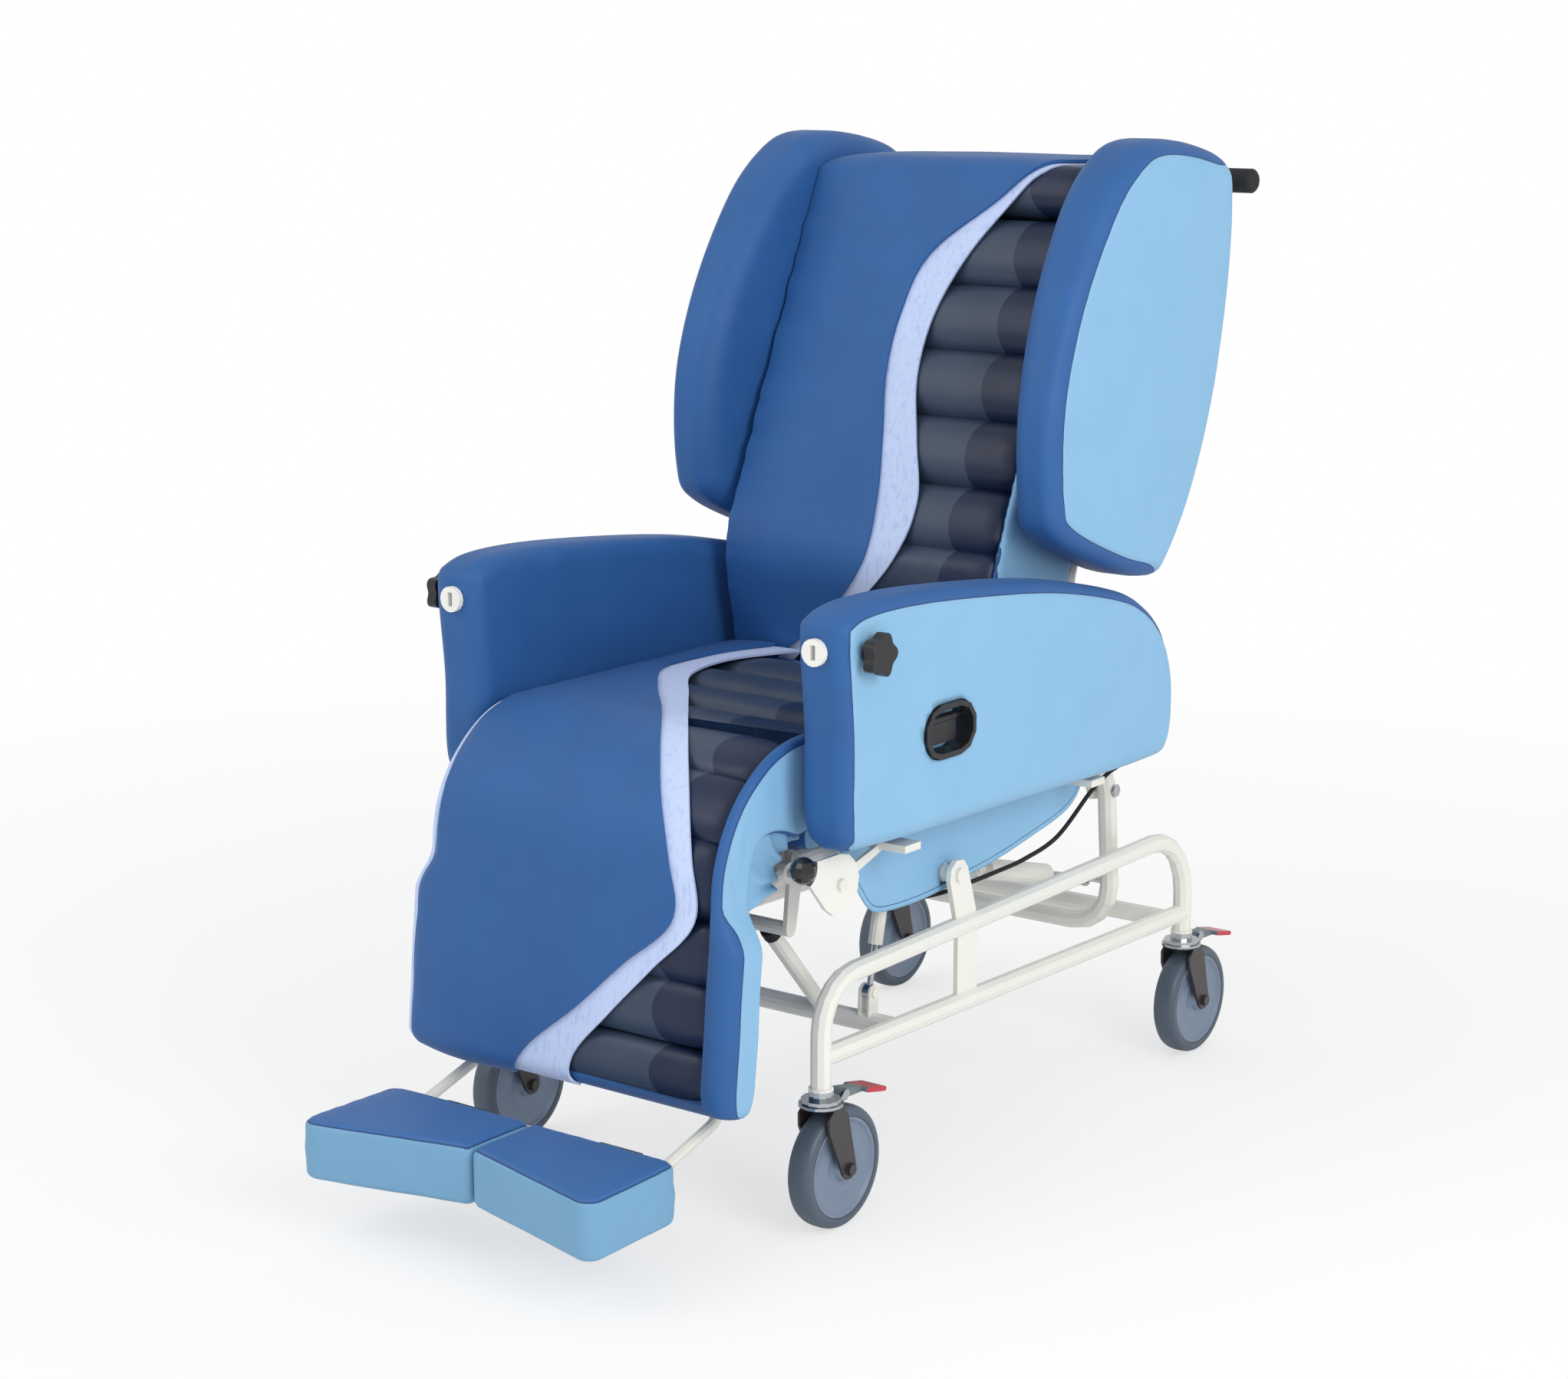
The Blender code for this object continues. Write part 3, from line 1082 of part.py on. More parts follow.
def upholstered(name, outline, inner_x, outer_x, edge):
    """A padded side piece: a flat inner face, and a well rounded outer one."""
    rings = []
    for x, drawn in ((inner_x, edge / 4), (inner_x + edge / 4, 0), (outer_x - edge, 0),
                     (outer_x - edge / 3, edge / 4), (outer_x, edge)):
        rings.append([at(x, spot.x, spot.y) for spot in inset(outline, drawn)])
    return loft(name, rings)


def stadium(y, z, length, height, steps=5):
    reach = (length - height) / 2
    return link((y - reach, z), height / 2, (y + reach, z), height / 2, steps)


def make_arms(padding, plastic, knob_look, grey):
    outline = outline_from(ARM_OUTLINE_SHARES, ARM_FRONT_Y, ARM_REAR_Y, ARM_FOOT_Z, ARM_TOP_Z, 2)
    arm = upholstered("arm", outline, ARM_INNER_X, ARM_OUTER_X, ARM_EDGE)
    block_x = ARM_INNER_X + ARM_EDGE / 2
    blocks = [box("block", (block_x, y - ARM_BAR_W / 2, SEAT_CASING_Z),
                  (ARM_BAR_OUTER_X, y + ARM_BAR_W / 2, ARM_FOOT_Z + ARM_EDGE))
              for y in (ARM_BAR_FRONT_Y, ARM_BAR_REAR_Y)]
    arm = union(arm, *blocks)
    mouth = ARM_FRONT_Y - SOCKET_FLANGE_T
    bores = [rod("bore", at(SOCKET_X, mouth, SOCKET_Z), at(SOCKET_X, ARM_FRONT_Y + SOCKET_DEPTH, SOCKET_Z),
                 SOCKET_R + GAP, ROUND_STEPS),
             across("screw", KNOB_Y, KNOB_Z, SOCKET_X + SOCKET_R, ARM_OUTER_X + OVERRUN, KNOB_SCREW_R + GAP)]
    arm = cut(arm, *bores)
    keep(mirrored(arm), "arm_right", padding, "seat")
    pocket = plate("pocket", [stadium(HANDLE_Y, HANDLE_Z, HANDLE_L, HANDLE_H)], HANDLE_DEPTH * 2, SIDE_ON,
                   ARM_OUTER_X)
    keep(cut(arm, pocket), "arm_left", padding, "seat")

    tube_end = ARM_FRONT_Y + SOCKET_DEPTH - GAP
    socket = union(rod("socket", at(SOCKET_X, mouth - GAP, SOCKET_Z), at(SOCKET_X, tube_end, SOCKET_Z),
                       SOCKET_R, ROUND_STEPS),
                   rod("flange", at(SOCKET_X, mouth - GAP, SOCKET_Z), at(SOCKET_X, ARM_FRONT_Y - GAP, SOCKET_Z),
                       SOCKET_FLANGE_R, ROUND_STEPS))
    slot = box("slot", (SOCKET_X - SLOT_W / 2, mouth - OVERRUN, SOCKET_Z - SLOT_H / 2),
               (SOCKET_X + SLOT_W / 2, mouth + SLOT_DEPTH, SOCKET_Z + SLOT_H / 2))
    socket = cut(socket, slot)
    keep_pair(socket, "tray_socket", plastic, "seat")

    hub_x = ARM_OUTER_X + GAP
    face_x = hub_x + KNOB_STANDOFF
    star = []
    steps = KNOB_LOBES * 8
    for k in range(steps):
        angle = 2 * math.pi * k / steps
        radius = KNOB_R - KNOB_LOBE_R / 3 * (1 - math.cos(KNOB_LOBES * angle))
        star.append(at(KNOB_Y + radius * math.cos(angle), KNOB_Z + radius * math.sin(angle), 0))
    knob = union(plate("knob", [star], KNOB_T, SIDE_ON, face_x + KNOB_T / 2),
                 across("hub", KNOB_Y, KNOB_Z, hub_x, face_x + KNOB_T / 2, KNOB_HUB_R, ROUND_STEPS),
                 across("screw", KNOB_Y, KNOB_Z, SOCKET_X + SOCKET_R + GAP, face_x, KNOB_SCREW_R))
    for side, piece in (("right", mirrored(knob)), ("left", knob)):
        sign = 1 if side == "left" else -1
        body("knob_" + side, "seat", at(sign * (ARM_OUTER_X + GAP), KNOB_Y, KNOB_Z))
        keep(piece, "socket_knob_" + side, knob_look, "knob_" + side)

    floor_x = ARM_OUTER_X - HANDLE_DEPTH + GAP
    depth = HANDLE_DEPTH + HANDLE_RIM_T
    ring = plate("ring", [stadium(HANDLE_Y, HANDLE_Z, HANDLE_L - GAP * 2, HANDLE_H - GAP * 2),
                          stadium(HANDLE_Y, HANDLE_Z, HANDLE_L - HANDLE_RIM * 2, HANDLE_H - HANDLE_RIM * 2)],
                 depth, SIDE_ON, floor_x + depth / 2)
    pin_x = ARM_OUTER_X - HANDLE_DEPTH / 2
    pin_z = HANDLE_Z + PADDLE_H / 2 - PADDLE_HUB_R
    reach = HANDLE_L / 2 - HANDLE_RIM
    pin = rod("pin", at(pin_x, HANDLE_Y - reach, pin_z), at(pin_x, HANDLE_Y + reach, pin_z), PADDLE_PIN_R)
    keep(union(ring, pin), "release_bezel", grey, "seat")
    body("release_lever", "seat", at(pin_x, HANDLE_Y, pin_z))
    half = PADDLE_L / 2
    paddle = union(box("paddle", (pin_x - PADDLE_T / 2, HANDLE_Y - half, HANDLE_Z - PADDLE_H / 2),
                       (pin_x + PADDLE_T / 2, HANDLE_Y + half, pin_z)),
                   rod("hub", at(pin_x, HANDLE_Y - half, pin_z), at(pin_x, HANDLE_Y + half, pin_z),
                       PADDLE_HUB_R))
    hole = rod("hole", at(pin_x, HANDLE_Y - HANDLE_L, pin_z), at(pin_x, HANDLE_Y + HANDLE_L, pin_z),
               PADDLE_PIN_R + GAP)
    keep(cut(paddle, hole), "release_lever", knob_look, "release_lever")


def make_legrest_lever(plastic):
    pivot = at(0, LEVER_PIVOT_Y, LEVER_PIVOT_Z)
    ball = at(0, BALL_Y, BALL_Z)
    tip = ball + (pivot - ball).normalized() * (BALL_R / 2)
    body("legrest_lever", "seat", at(LEVER_PIVOT_X, LEVER_PIVOT_Y, LEVER_PIVOT_Z))
    loops = [link((pivot.y, pivot.z), LEVER_CAM_R, (tip.y, tip.z), LEVER_ARM_R, 8),
             circle(pivot.y, pivot.z, LEVER_BOLT_R + GAP)]
    lever = plate("lever", loops, LEVER_PLATE_T, SIDE_ON, LEVER_PIVOT_X)
    quarter = [(BALL_R * math.sin(math.pi * k / 8), BALL_R * math.cos(math.pi * k / 8)) for k in range(9)]
    knob = moved(turned("knob", quarter, PIN_STEPS), at(LEVER_PIVOT_X, BALL_Y, BALL_Z))
    keep(union(lever, knob), "legrest_lever", plastic, "legrest_lever")


def make_skirts(cloth):
    top = SEAT_CASING_Z - GAP - ARM_BAR_T - GAP
    outline = outline_from(SKIRT_OUTLINE_SHARES, SKIRT_FRONT_Y, SKIRT_REAR_Y, SKIRT_LOW_Z, top, 2)
    outline = [at(spot.x, min(spot.y, top), 0) for spot in outline]
    hole = circle(TILT_Y, TILT_Z, TILT_BOSS_R + GAP * 2, ROUND_STEPS)
    skirt = plate("skirt", [outline, hole], SKIRT_T, SIDE_ON, SKIRT_X)
    keep_pair(skirt, "seat_skirt", cloth, "seat")


def make_backrest(coat, padding, grip_look):
    half = [at(BACK_TUBE_X, BACK_KNEE_Y + (BACK_BEND_Z - BACK_KNEE_Z) * math.tan(BACK_LEAN), BACK_BEND_Z),
            at(BACK_TUBE_X, BACK_KNEE_Y, BACK_KNEE_Z), at(RECLINE_X, RECLINE_Y, RECLINE_Z),
            at(RECLINE_X, LEVER_Y, LEVER_Z)]
    bar = at(BACK_TUBE_X, PUSH_BAR_Y, PUSH_BAR_Z)
    half = [bar] + half
    other = [at(-spot.x, spot.y, spot.z) for spot in reversed(half)]
    radii = (FRAME_BEND_R, FRAME_BEND_R, FRAME_BEND_R, LEVER_BEND_R)
    frame = tube("frame", rounded(half + other, radii + radii[::-1], 4), BACK_TUBE_R)
    pin_end = RECLINE_STRUT_X - STRUT_EYE_T / 2 - GAP
    pin = union(across("pin", RECLINE_STRUT_REAR_Y, RECLINE_STRUT_REAR_Z, pin_end - STRUT_PIN_HEAD_T / 2,
                       RECLINE_X, STRUT_PIN_R),
                across("head", RECLINE_STRUT_REAR_Y, RECLINE_STRUT_REAR_Z, pin_end - STRUT_PIN_HEAD_T, pin_end,
                       STRUT_PIN_R + RECLINE_EYE_PLAY * 2))
    push_bar = across("bar", PUSH_BAR_Y, PUSH_BAR_Z, -PUSH_BAR_HALF, PUSH_BAR_HALF, BACK_TUBE_R)
    frame = cut(union(frame, pin, push_bar), across("bore", RECLINE_Y, RECLINE_Z, -TRACK_HALF, TRACK_HALF,
                                                    RECLINE_BOLT_R + GAP))
    keep(frame, "backrest_frame", coat, "backrest")
    sleeve = [(GRIP_R, GRIP_INNER_X), (GRIP_R, PUSH_BAR_HALF + GRIP_END / 2),
              (BACK_TUBE_R, PUSH_BAR_HALF + GRIP_END)]
    profile = [(0, -spot[1]) for spot in sleeve[-1:]] + [(r, -x) for r, x in reversed(sleeve)]
    profile += [(BACK_TUBE_R + GAP, -GRIP_INNER_X), (BACK_TUBE_R + GAP, -PUSH_BAR_HALF - GAP),
                (0, -PUSH_BAR_HALF - GAP)]
    grip = turned("grip", [(r, -z) for r, z in reversed(profile)], PIN_STEPS)
    grip.data.transform(Matrix.Translation(at(0, PUSH_BAR_Y, PUSH_BAR_Z)) @ SIDE_ON)
    keep_pair(grip, "push_grip", grip_look, "backrest")
    outline = outline_from(WING_OUTLINE_SHARES, WING_FRONT_Y, WING_REAR_Y, WING_FOOT_Z, WING_TOP_Z, 2)
    wing = upholstered("wing", outline, WING_INNER_X, WING_OUTER_X, WING_EDGE)
    keep_pair(wing, "wing", padding, "backrest")


def make_legrest_frame(coat, padding, black):
    slope = at(0, -math.sin(SHIN_LEAN), -math.cos(SHIN_LEAN))
    joint = knee_point(KNEE_JOINT_R, KNEE_SWEEP)
    behind = joint + at(-slope.z, slope.y, 0) * (SHIN_T + LEG_TUBE_R + GAP * 2)
    elbow = at(LEG_TUBE_X, behind.x, behind.y)
    foot = elbow + slope * ((elbow.z - LEG_TUBE_FOOT_Z) / -slope.z)
    hinge = at(LEG_TUBE_X, LEG_HINGE_Y, LEG_HINGE_Z)
    arm = tube("arm", rounded([hinge, elbow, foot], (LEG_BEND_R,)), LEG_TUBE_R)
    eye = across("eye", LEG_HINGE_Y, LEG_HINGE_Z, LEG_TUBE_X - LEG_TUBE_R, LEG_TUBE_X + LEG_TUBE_R,
                 LEG_HINGE_EYE_R)
    left = union(arm, eye)
    slide_top = foot - slope * FOOT_TUBE_BURIED
    bore = rod("bore", slide_top - slope * GAP, foot + slope * OVERRUN, FOOT_TUBE_R + GAP, PIN_STEPS)
    left = cut(left, bore)
    cross_place = elbow + slope * ((elbow.z - LEG_CROSS_Z) / -slope.z)
    cross = across("cross", cross_place.y, cross_place.z, -LEG_TUBE_X, LEG_TUBE_X, FOOT_TUBE_R)
    frame = union(left, mirrored(left), cross)
    frame = cut(frame, across("hole", LEG_HINGE_Y, LEG_HINGE_Z, -TRACK_HALF, TRACK_HALF,
                              LEG_HINGE_ROD_R + GAP))
    keep(frame, "legrest_frame", coat, "legrest")

    body("footrest_slide", "legrest", foot)
    bend = foot + slope * ((foot.z - FOOT_BEND_Z) / -slope.z)
    end = at(LEG_TUBE_X, FOOT_HINGE_Y, FOOT_HINGE_Z)
    leg = tube("leg", rounded([slide_top, bend, end], (FOOT_BEND_R,)), FOOT_TUBE_R)
    reach = LEG_TUBE_X + FOOT_TUBE_R
    rod_piece = across("rod", FOOT_HINGE_Y, FOOT_HINGE_Z, -reach, reach, FOOT_ROD_R)
    keep(union(leg, mirrored(leg), rod_piece), "footrest_tubes", coat, "footrest_slide")

    body("footrest", "footrest_slide", at(0, FOOT_HINGE_Y, FOOT_HINGE_Z))
    corners = [at(PAD_MIDDLE_GAP, PAD_REAR_Y, 0), at(PAD_REAR_HALF, PAD_REAR_Y, 0),
               at(PAD_FRONT_HALF, PAD_CORNER_Y, 0), at(PAD_MIDDLE_GAP, PAD_MIDDLE_Y, 0)]
    middle = corners[0].lerp(corners[-1], 0.5)
    path = rounded([middle] + corners + [middle], (PAD_EDGE, PAD_CORNER_R, PAD_CORNER_R, PAD_EDGE))
    pad = plate("pad", [path[:-1]], PAD_T, FLAT, PAD_TOP_Z - PAD_T / 2, PAD_EDGE)
    keep_pair(pad, "footrest_pad", padding, "footrest")
    high = HINGE_STRIP_X + HINGE_STRIP_W / 2
    leaf_y = PAD_REAR_Y + GAP
    leaf = box("leaf", (-high, leaf_y, FOOT_HINGE_Z - HINGE_STRIP_H / 2),
               (high, leaf_y + HINGE_STRIP_T, FOOT_HINGE_Z + FOOT_EYE_R))
    pieces = []
    for middle in (-HINGE_STRIP_X, HINGE_STRIP_X):
        span = (middle - HINGE_STRIP_W / 2, middle + HINGE_STRIP_W / 2)
        pieces.append(across("knuckle", FOOT_HINGE_Y, FOOT_HINGE_Z, *span, FOOT_EYE_R))
        pieces.append(box("web", (span[0], leaf_y + HINGE_STRIP_T / 2, FOOT_HINGE_Z - FOOT_ROD_R),
                          (span[1], FOOT_HINGE_Y, FOOT_HINGE_Z + FOOT_ROD_R)))
    hinge = cut(union(leaf, *pieces), across("hole", FOOT_HINGE_Y, FOOT_HINGE_Z, -TRACK_HALF, TRACK_HALF,
                                             FOOT_ROD_R + GAP))
    keep(hinge, "footrest_hinge", black, "footrest")


def make_spring(name, x, rod_pin, cylinder_pin, plays, sizes, looks, bodies):
    """A gas spring between two pivots: its rod slides in its cylinder."""
    rod_play, cylinder_play = plays
    body_r, rod_r, start, length = sizes
    cylinder_look, rod_look = looks
    cylinder_body, rod_body = bodies
    inward = (cylinder_pin - rod_pin).normalized()
    near = cylinder_pin - inward * start
    mouth = near - inward * length
    eyes = []
    for pin, play, toward in ((cylinder_pin, cylinder_play, -inward), (rod_pin, rod_play, inward)):
        hole_r = STRUT_PIN_R + play
        eye = plate("eye", [circle(pin.y, pin.z, hole_r + STRUT_EYE_WALL), circle(pin.y, pin.z, hole_r)],
                    STRUT_EYE_T, SIDE_ON, x)
        eyes.append((eye, pin + toward * (hole_r + STRUT_EYE_WALL / 2)))
    shell = union(rod("shell", near, mouth, body_r), eyes[0][0],
                  rod("neck", eyes[0][1], near - inward * WELD_DEPTH, rod_r))
    bore = rod("bore", near - inward * WELD_DEPTH * 2, mouth - inward * OVERRUN, rod_r + GAP)
    keep(cut(shell, bore), name + "_spring_cylinder", cylinder_look, cylinder_body)
    stem = union(rod("stem", eyes[1][1], mouth + inward * STRUT_BURIED, rod_r), eyes[1][0])
    keep(stem, name + "_spring_rod", rod_look, rod_body)


def make_springs(white, zinc):
    low = at(STRUT_X, STRUT_LOW_Y, STRUT_LOW_Z)
    high = at(STRUT_X, STRUT_HIGH_Y, STRUT_HIGH_Z)
    body("tilt_spring_rod", "base", low)
    body("tilt_spring_cylinder", "tilt_spring_rod", low)
    make_spring("tilt", STRUT_X, low, high, (GAP, TILT_EYE_PLAY),
                (STRUT_BODY_R, STRUT_ROD_R, STRUT_BODY_START, STRUT_BODY_L), (white, zinc),
                ("tilt_spring_cylinder", "tilt_spring_rod"))
    front = at(RECLINE_STRUT_X, RECLINE_STRUT_FRONT_Y, RECLINE_STRUT_FRONT_Z)
    rear = at(RECLINE_STRUT_X, RECLINE_STRUT_REAR_Y, RECLINE_STRUT_REAR_Z)
    body("recline_spring_cylinder", "seat", front)
    body("recline_spring_rod", "recline_spring_cylinder", rear)
    make_spring("recline", RECLINE_STRUT_X, rear, front, (RECLINE_EYE_PLAY, GAP),
                (RECLINE_BODY_R, RECLINE_ROD_R, RECLINE_BODY_START, RECLINE_BODY_L), (white, zinc),
                ("recline_spring_cylinder", "recline_spring_rod"))


def make_cable(plastic):
    """The release cable runs from the arm, behind the skirt, to the head of the tilt spring."""
    route = [at(*[length * MM for length in spot]) for spot in CABLE_ROUTE]
    keep(tube("cable", through(route, CABLE_STEPS), CABLE_R, 2), "release_cable", plastic, "seat")


for old in list(bpy.data.objects):
    bpy.data.objects.remove(old)
PARTS = bpy.data.collections.new("care_chair")
bpy.context.scene.collection.children.link(PARTS)

coat = material("white_powder_coat", WHITE_COAT, 0.35)
dark_cover = material("dark_blue_vinyl", DARK_BLUE, 0.45)
light_cover = material("light_blue_vinyl", LIGHT_BLUE, 0.5)
pale = material("pale_foam_layer", PALE_LAYER, 0.6)
film = material("air_cell_film", CELL_GREY, 0.4)
black = material("black_plastic", BLACK, 0.4)
zinc = material("zinc_plate", ZINC, 0.3, 1.0)
fork_look = material("fork_lacquer", FORK_BROWN, 0.4)
wheel_look = material("grey_polyurethane", WHEEL_GREY, 0.5)
red = material("red_nylon", PEDAL_RED, 0.4)
white = material("white_nylon", CAP_WHITE, 0.35)

body("chair", None, Vector())
BODY["chair"].location = at(0, -CHAIR_CENTRE_Y, 0)
body("base", "chair", Vector())
body("seat", "base", at(0, TILT_Y, TILT_Z))
body("backrest", "seat", at(0, RECLINE_Y, RECLINE_Z))
body("legrest", "seat", at(0, LEG_HINGE_Y, LEG_HINGE_Z))

make_base(coat, black)
for corner_name in CASTORS:
    make_castor(corner_name, (fork_look, wheel_look, red))
skins = skin_lines()
make_cushions(skins, (dark_cover, pale, film, dark_cover))
make_seat_frame(coat, zinc)
make_arms(dark_cover, white, black, black)
make_legrest_lever(white)
make_skirts(light_cover)
make_backrest(coat, dark_cover, black)
make_legrest_frame(coat, light_cover, black)
make_springs(white, zinc)
make_cable(black)
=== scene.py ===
# %% [markdown]
# # A care chair with its padding cut away
#
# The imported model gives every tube, hinge and castor in its place. This script dresses it: covers
# of coated knit with a sewn seam, a row of air cells under them, powder coat, zinc and nylon. Sizes
# are in metres, and places follow the chair's drawing, whose zero lies ahead of the model's own
# centre.

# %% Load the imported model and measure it
import math

import bmesh
import bpy
import numpy as np
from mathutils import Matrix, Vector, noise
from mathutils.geometry import delaunay_2d_cdt


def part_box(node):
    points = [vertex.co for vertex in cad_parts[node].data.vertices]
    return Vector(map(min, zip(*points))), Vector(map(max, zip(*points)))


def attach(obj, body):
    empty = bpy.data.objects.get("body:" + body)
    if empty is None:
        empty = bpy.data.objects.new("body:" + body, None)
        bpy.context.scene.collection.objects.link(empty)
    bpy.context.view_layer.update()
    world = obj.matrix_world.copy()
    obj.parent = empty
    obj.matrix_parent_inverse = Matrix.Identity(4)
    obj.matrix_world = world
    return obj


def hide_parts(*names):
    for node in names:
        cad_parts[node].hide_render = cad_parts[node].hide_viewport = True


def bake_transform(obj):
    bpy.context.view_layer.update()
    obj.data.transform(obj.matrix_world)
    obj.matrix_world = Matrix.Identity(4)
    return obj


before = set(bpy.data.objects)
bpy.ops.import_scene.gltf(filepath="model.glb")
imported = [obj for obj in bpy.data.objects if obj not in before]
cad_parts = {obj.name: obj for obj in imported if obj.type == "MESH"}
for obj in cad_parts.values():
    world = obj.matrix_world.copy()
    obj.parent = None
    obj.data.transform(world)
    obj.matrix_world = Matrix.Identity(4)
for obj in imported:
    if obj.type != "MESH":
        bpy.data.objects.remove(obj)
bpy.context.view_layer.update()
MM = 0.001
DRAWING_Y = 135.15 * MM
scene = bpy.context.scene


def place(x, y, z):
    """A place on the chair's drawing, in millimetres, as a place in the model."""
    return Vector((x * MM, y * MM + DRAWING_Y, z * MM))


def new_object(name, data):
    """An object for this mesh, curve, camera or lamp, put in the scene."""
    made = bpy.data.objects.new(name, data)
    scene.collection.objects.link(made)
    return made


def mesh_of(shape, name):
    """A working shape as a mesh; the working copy is freed."""
    mesh = bpy.data.meshes.new(name)
    shape.to_mesh(mesh)
    shape.free()
    return mesh


# %% [markdown]
# ## Camera
#
# The photograph was taken from the sitter's front left, a little higher than the top of the back
# and from about four metres away. A long lens keeps the verticals nearly parallel, as the picture
# shows them.

# %% The photograph's viewpoint
CAMERA_AT = (2353, -3242, 1398)
CAMERA_TURN = math.radians(37.35)
CAMERA_RISE = math.radians(11.91)
LENS_MM = 72.5

camera_data = bpy.data.cameras.new("camera")
camera_data.lens = LENS_MM
camera = new_object("camera", camera_data)
flat = math.cos(CAMERA_RISE)
behind = Vector((math.sin(CAMERA_TURN) * flat, -math.cos(CAMERA_TURN) * flat, math.sin(CAMERA_RISE)))
camera.location = place(*CAMERA_AT)
camera.rotation_euler = behind.to_track_quat("Z", "Y").to_euler()
scene.camera = camera
print("camera is", round(camera.location.length, 2), "m from the model's centre")

# %% [markdown]
# ## Colour and nodes
#
# Colours are read off a screen as hex codes, and Blender's shaders want linear light, so one
# function turns the first into the second. A second small function adds any node, sets its values
# and joins its sockets, so that each material below reads as a short recipe. A material starts from
# its output and ends with a shader joined to it, and most have a fine grain as a bump.


# %% Colours and nodes
def linear(code):
    """An sRGB hex code as a linear colour."""
    parts = [int(code[k:k + 2], 16) / 255 for k in (1, 3, 5)]
    return [p / 12.92 if p <= 0.04045 else ((p + 0.055) / 1.055) ** 2.4 for p in parts] + [1.0]


def add_node(tree, kind, inputs=None, **settings):
    """A node with its settings; an input takes a value, or another node's output."""
    node = tree.nodes.new(kind)
    for name, value in settings.items():
        setattr(node, name, value)
    for name, value in (inputs or {}).items():
        if isinstance(value, bpy.types.NodeSocket):
            tree.links.new(value, node.inputs[name])
        else:
            node.inputs[name].default_value = value
    return node


print("mid grey in linear light:", round(linear("#808080")[0], 3))


# %% Start a material, finish it, and give it a grain
# A colour mix node keeps its two colours and its result at these places among its sockets
COLOUR_A, COLOUR_B, COLOUR_MIXED = 6, 7, 2
GRAIN_DETAIL = 2.0


def new_material(name):
    """A material with only its output, and that output."""
    material = bpy.data.materials.new(name)
    material.use_nodes = True
    material.node_tree.nodes.clear()
    return material, add_node(material.node_tree, "ShaderNodeOutputMaterial")


def finish_material(material, output, shader):
    """The material, with this shader joined to its output."""
    material.node_tree.links.new(shader.outputs[0], output.inputs["Surface"])
    return material


def grain(tree, size_mm, depth_mm):
    """A fine bump whose grains are this wide and this deep."""
    spot = add_node(tree, "ShaderNodeTexCoord")
    dots = add_node(tree, "ShaderNodeTexNoise", {"Vector": spot.outputs["Object"],
                                                 "Scale": 1 / (size_mm * MM),
                                                 "Detail": GRAIN_DETAIL})
    return add_node(tree, "ShaderNodeBump", {"Strength": 1.0, "Distance": depth_mm * MM,
                                             "Height": dots.outputs["Fac"]})


print("colour sockets of a mix node:", COLOUR_A, COLOUR_B, COLOUR_MIXED)


# %% [markdown]
# ## Hard finishes
#
# The frame is steel tube with an off-white powder coat: a tough baked paint with a very fine orange
# peel, satin to the light. The castors have lacquered forks, a polyurethane tread on a nylon disc
# and a moulded pedal. Bolts and hinge rods are zinc plated. Each gets its base colour, its
# roughness, and a bump of the right size, and paint gets a clear coat.


# %% Paint, plating, plastic and rubber
CLEAR_COAT_ROUGHNESS = 0.12
WORN_PATCH_MM = 1000 / 28


def hard_finish(name, code, worn, roughness, size_mm, depth_mm, metallic=0.0, coat=0.0):
    """Paint, metal or plastic with a fine grain, and with patches of a second shade where it is worn."""
    material, output = new_material(name)
    tree = material.node_tree
    bump = grain(tree, size_mm, depth_mm)
    shader = add_node(tree, "ShaderNodeBsdfPrincipled", {
        "Metallic": metallic, "Roughness": roughness, "Coat Weight": coat,
        "Coat Roughness": CLEAR_COAT_ROUGHNESS, "Normal": bump.outputs["Normal"]})
    spot = add_node(tree, "ShaderNodeTexCoord")
    cloud = add_node(tree, "ShaderNodeTexNoise", {"Vector": spot.outputs["Object"],
                                                  "Scale": 1 / (WORN_PATCH_MM * MM), "Detail": 4.0})
    tint = add_node(tree, "ShaderNodeMix", {0: cloud.outputs["Fac"], COLOUR_A: linear(code),
                                            COLOUR_B: linear(worn)}, data_type="RGBA")
    tree.links.new(tint.outputs[COLOUR_MIXED], shader.inputs["Base Color"])
    return finish_material(material, output, shader)


# Colour, worn colour and roughness, then the size and depth of the grain in millimetres
COAT = hard_finish("powder_coated_steel", "#e9e8e0", "#e2e0d5", 0.34, 1.6, 0.03, coat=0.25)
ZINC = hard_finish("zinc_plated_steel", "#c9ccd0", "#a9adb4", 0.24, 3.0, 0.015, metallic=1.0)
NYLON = hard_finish("moulded_white_nylon", "#f4f3ef", "#eae8e2", 0.42, 1.2, 0.03)
BLACK = hard_finish("moulded_black_plastic", "#17171a", "#202024", 0.4, 1.4, 0.06)
RUBBER = hard_finish("black_rubber", "#141416", "#1e1e20", 0.75, 1.8, 0.08)
FOAM_GRIP = hard_finish("foam_rubber_grip", "#1b1b1e", "#28282b", 0.85, 2.2, 0.25)
print("hard finishes:", len(bpy.data.materials))

# %% [markdown]
# ## Finishes that change along one piece
#
# A castor stem is zinc below and the leg above it is painted, yet both are one node, and a
# lever plate carries a ball of black plastic. The finish is chosen by where the point is: one
# comparison gives 0 or 1, and two shaders are mixed by it.


# %% A finish of two parts, split by a plane or by a ball
SPLIT_GRAIN_MM, SPLIT_GRAIN_DEPTH_MM = 2.0, 0.02


